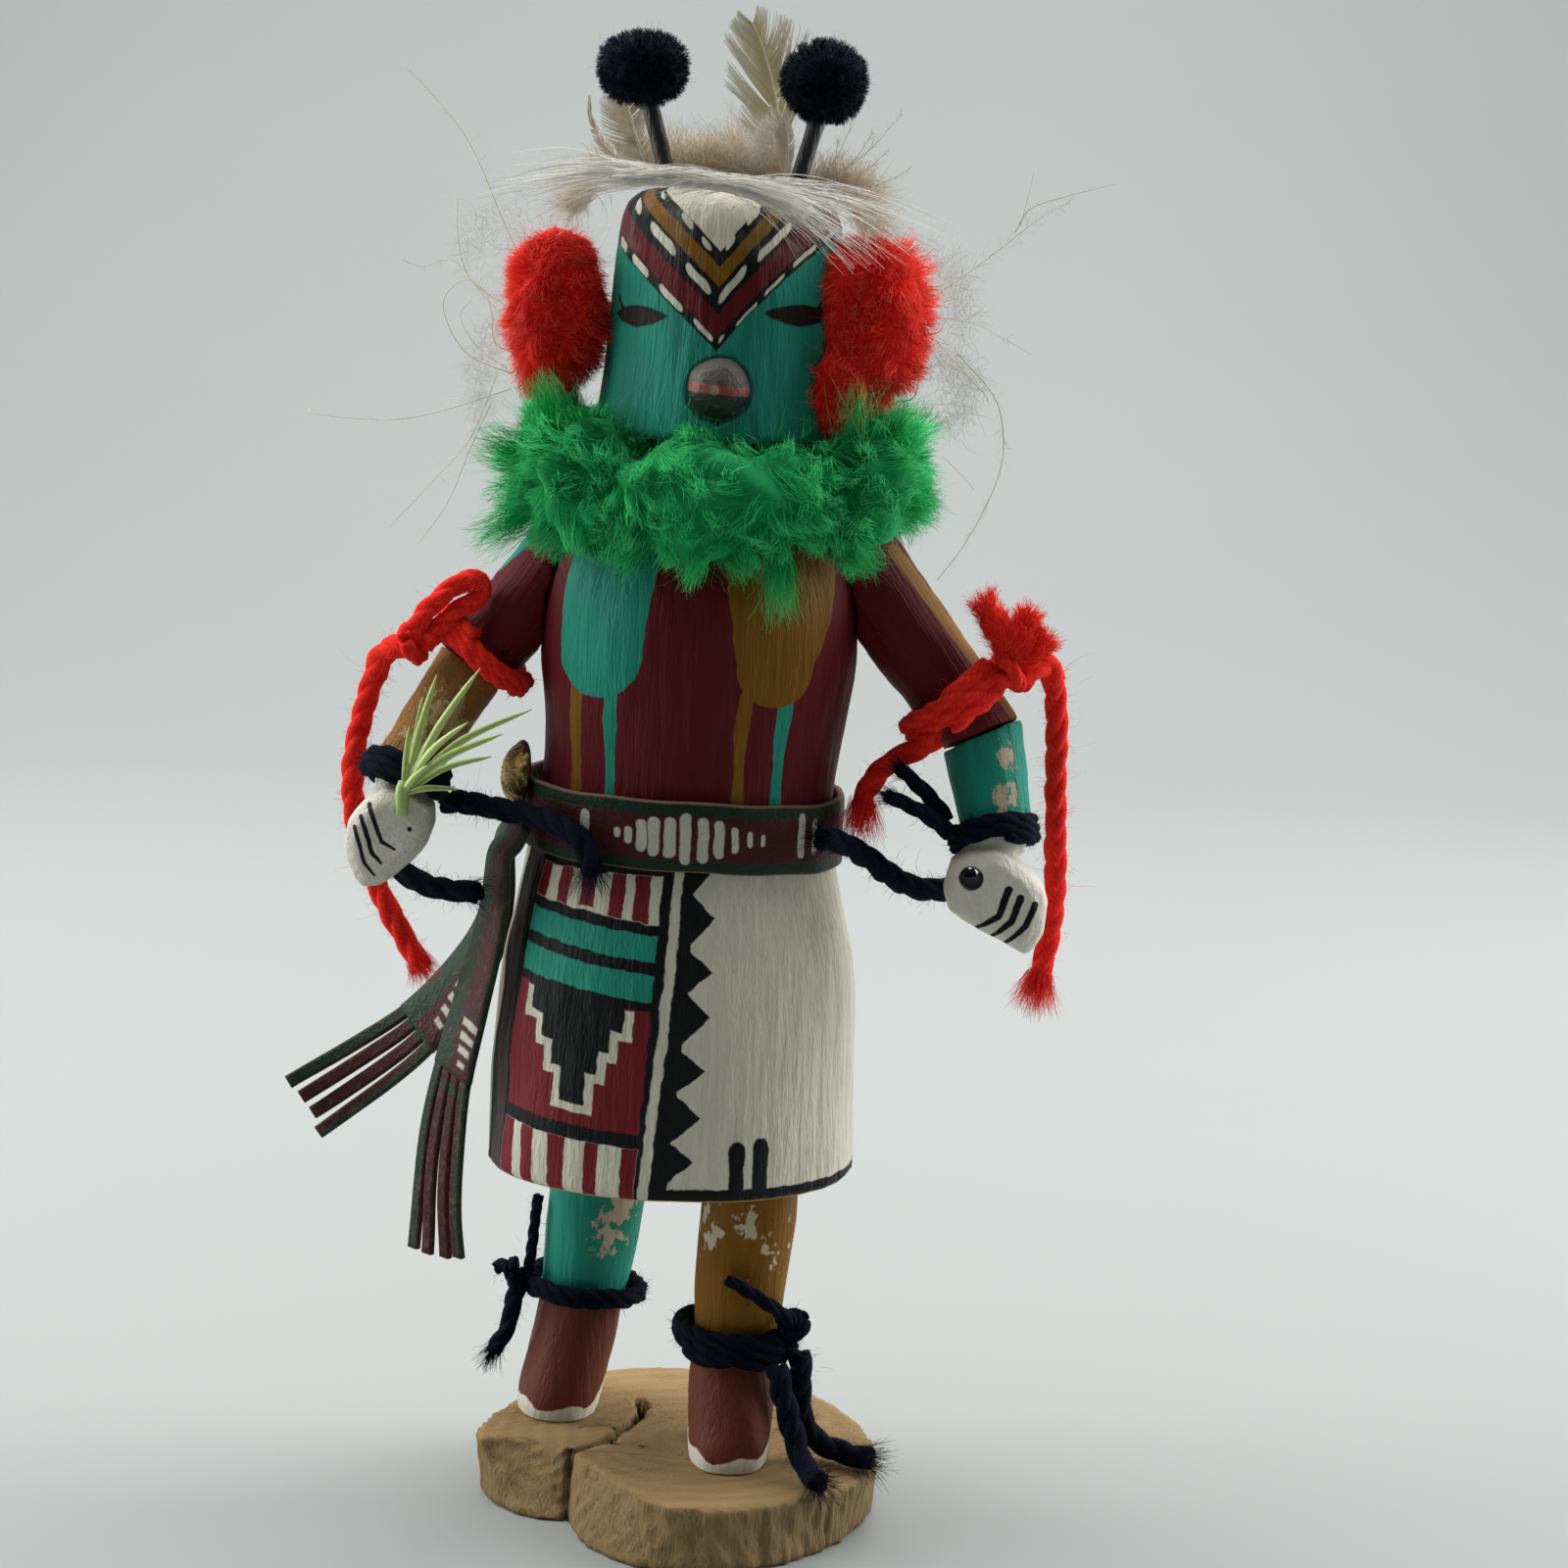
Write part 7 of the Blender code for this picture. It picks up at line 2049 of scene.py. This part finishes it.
def make_side_feathers():
    shell = Shell()
    for seed, (points, thick, count, length) in enumerate((
            (((-33.0, 8.0, 244.0), (-42.4, 11.0, 261.8), (-51.0, 12.0, 279.0), (-63.7, 12.0, 292.7)), 0.22, 60, 5.0),
            (((-38.0, 9.0, 244.0), (-48.6, 12.0, 250.0), (-51.8, 12.0, 258.0), (-52.2, 12.0, 267.0)), 0.2, 40, 4.0),
            (((-38.0, 9.0, 240.0), (-46.0, 11.0, 247.0), (-52.6, 12.0, 254.0), (-59.0, 12.0, 252.6), (-63.6, 12.0, 254.0)),
             0.08, 36, 5.0),
            (((-40.0, 10.0, 232.0), (-50.0, 12.0, 236.0), (-54.6, 12.0, 245.4), (-50.0, 12.0, 250.4), (-45.0, 11.0, 247.4)),
             0.2, 0, 1.0),
            (((-41.0, 10.0, 233.0), (-47.4, 12.0, 237.0), (-51.0, 12.0, 243.0), (-48.4, 12.0, 246.6)), 0.14, 0, 1.0),
            (((-38.0, 8.0, 236.0), (-43.4, 9.0, 238.0), (-44.4, 9.0, 244.0), (-45.6, 9.0, 248.2)), 0.24, 30, 3.0),
            (((-40.0, 9.0, 229.0), (-51.3, 12.0, 224.7), (-61.2, 12.0, 221.9), (-72.0, 12.0, 221.4), (-82.6, 12.0, 222.3)),
             0.12, 30, 3.5),
            (((-43.0, 10.0, 232.0), (-48.0, 12.0, 219.0), (-54.0, 12.0, 211.4), (-64.3, 12.0, 199.6)), 0.11, 26, 4.0),
            (((-44.0, 10.0, 226.0), (-48.4, 12.0, 216.0), (-52.6, 12.0, 205.0), (-58.6, 12.0, 196.1)), 0.11, 20, 3.5))):
        quill(shell, points, thick, thin=0.05, slot=1, sides=5)
        if count:
            plume(shell, points, count, length, 50 + seed, width=0.055, lean=1.0, slot=0)
    tufted(shell, ((-36.0, 8.0, 258.0), (-45.0, 11.0, 262.0), (-48.0, 12.0, 254.0)), 240, 6.0, (-0.5, 0, 0.6), 61,
           width=0.055, spread=0.8, thick=4.0)
    tufted(shell, ((-41.0, 9.0, 243.0), (-46.0, 11.0, 234.0), (-45.0, 11.0, 224.0)), 620, 5.0, (-0.4, 0, -0.3), 62,
           width=0.055, spread=0.9, thick=3.4)
    shell.piece("side_feather_right", [WISPS, SHAFT_PALE], "feather", ["feather_side_right"], "Fibre", soft_light=True)

    shell = Shell()
    for seed, (points, thick, count, length) in enumerate((
            (((36.0, 8.0, 246.0), (46.0, 11.0, 252.0), (54.6, 12.0, 258.6), (66.0, 12.0, 268.0), (72.4, 12.0, 271.6)),
             0.2, 110, 6.5),
            (((60.6, 12.0, 264.6), (63.4, 12.0, 269.4), (70.0, 12.0, 272.0), (80.6, 12.0, 275.2)), 0.14, 12, 3.0),
            (((61.6, 12.0, 266.0), (62.8, 12.0, 271.6), (63.9, 12.0, 277.6)), 0.1, 0, 1.0),
            (((36.0, 7.0, 240.0), (40.8, 2.0, 246.4), (44.7, 2.0, 243.3), (50.6, 8.0, 237.4), (57.0, 11.0, 231.0)),
             0.2, 150, 7.0),
            (((38.0, 7.0, 230.0), (41.6, 1.0, 231.4), (42.8, 1.0, 238.4), (46.6, 2.0, 247.4)), 0.2, 0, 1.0),
            (((50.0, 9.0, 240.0), (58.4, 12.0, 231.0), (60.6, 12.0, 221.0), (58.8, 12.0, 212.0), (53.6, 12.0, 201.0),
              (48.4, 12.0, 193.5)), 0.16, 90, 4.0),
            (((48.0, 11.0, 219.0), (52.0, 12.0, 215.6), (55.0, 12.0, 212.4)), 0.06, 0, 1.0),
            (((42.0, 9.0, 247.0), (52.0, 12.0, 246.4), (60.0, 12.0, 243.0), (65.4, 12.0, 240.2)), 0.08, 40, 4.0))):
        quill(shell, points, thick, thin=0.05, slot=1, sides=5)
        if count:
            plume(shell, points, count, length, 70 + seed, width=0.055, lean=1.0, slot=0)
    tufted(shell, ((38.0, 7.0, 258.0), (48.0, 10.0, 254.0), (50.0, 10.0, 244.0)), 520, 6.5, (0.6, 0, 0.4), 81,
           width=0.055, spread=0.8, thick=4.0)
    tufted(shell, ((44.0, 8.0, 240.0), (52.0, 11.0, 234.0), (48.0, 11.0, 226.0)), 620, 6.0, (0.5, 0, -0.5), 82,
           width=0.055, spread=0.8, thick=4.0)
    shell.piece("side_feather_left", [WISPS, SHAFT_PALE], "feather", ["feather_side_left"], "Fibre", soft_light=True)


make_tall_feather()
make_curled_feather()
make_spoon_feather()
make_down()
make_brow_feather()
make_side_feathers()


# The plastic sprig in the right fist

SPRIG_ROOT = (-56.4, -23.0, 149.2)
# tip, widest half width, how far the leaf bows
LEAVES = (
    ((-50.5, -20.0, 173.8), 1.0, 1.6), ((-53.4, -18.0, 169.0), 0.9, -1.0), ((-41.6, -24.0, 176.0), 1.0, 2.0),
    ((-43.4, -26.0, 165.6), 0.95, 2.4), ((-36.8, -24.0, 163.2), 1.0, 2.2), ((-31.4, -22.0, 168.0), 0.95, 3.0),
    ((-45.2, -23.0, 151.6), 0.8, 1.0), ((-51.0, -24.6, 156.6), 0.9, 0.6), ((-47.6, -19.0, 166.4), 0.85, 1.6),
    ((-55.6, -21.0, 163.4), 0.8, -0.6), ((-39.2, -20.4, 158.0), 0.85, 2.0),
)


def make_sprig():
    leaf = Paint("leaf_plastic", rgb(178, 206, 104), roughness=0.42, specular=0.5)
    across, along = leaf.flat()
    # Painted highlight along the leaf edges, and painted shade towards each leaf's root
    leaf.over(abs(across - 0.5).above(0.34, 0.12) * 0.8, rgb(214, 224, 164))
    leaf.over(along.ramp(0.35, 0.0) * 0.6, rgb(120, 164, 56))
    leaf.shade(leaf.noise(1.2, detail=3), 0.78, 1.18)
    leaf.raise_by(abs(across - 0.5).below(0.05, 0.06) * 0.2)
    shell = Shell()
    root = np.array(SPRIG_ROOT)
    shell.tube([root + (0, 0.2, lift) for lift in (-3.2, -1.0, 0.6, 2.2, 3.6)], (1.2, 1.25, 1.5, 1.3, 0.8), sides=12)
    steps = 18
    t = np.linspace(0, 1, steps)
    for number, (tip, half, bow) in enumerate(LEAVES):
        turn = TAU * number / len(LEAVES)
        start = root + (0.5 * math.cos(turn), 0.5 * math.sin(turn), 0.6)
        tip = np.array(tip)
        bend = lerp(start, tip, 0.45) + (0.0, -0.6, bow)
        line = spline((start, bend, tip), steps)
        tangent = unit(np.gradient(line, axis=0))
        sideways = unit(np.cross(tangent, unit((0.25 * math.sin(turn * 3), -1.0, 0.35))))
        facing = np.cross(sideways, tangent)
        wide = half * np.interp(t, (0, 0.12, 0.5, 0.85, 1), (0.5, 0.62, 0.85, 0.55, 0.08))[:, None]
        fold = 0.22 * wide
        rows = [line - sideways * wide + facing * fold, line + facing * 0.10, line + sideways * wide + facing * fold,
                line + sideways * wide * 0.96 + facing * (fold - 0.16), line - facing * 0.14,
                line - sideways * wide * 0.96 + facing * (fold - 0.16)]
        shares = (0, 0.5, 1, 1, 0.5, 0, 0)
        flat = np.stack(np.broadcast_arrays(np.array(shares)[None, :], t[:, None]), axis=-1)
        shell.rings(np.stack(rows, axis=1)[::-1], flat[::-1])
    shell.piece("sprig_leaves", leaf.done(), "leaf_plastic", ["sprig"])


make_sprig()
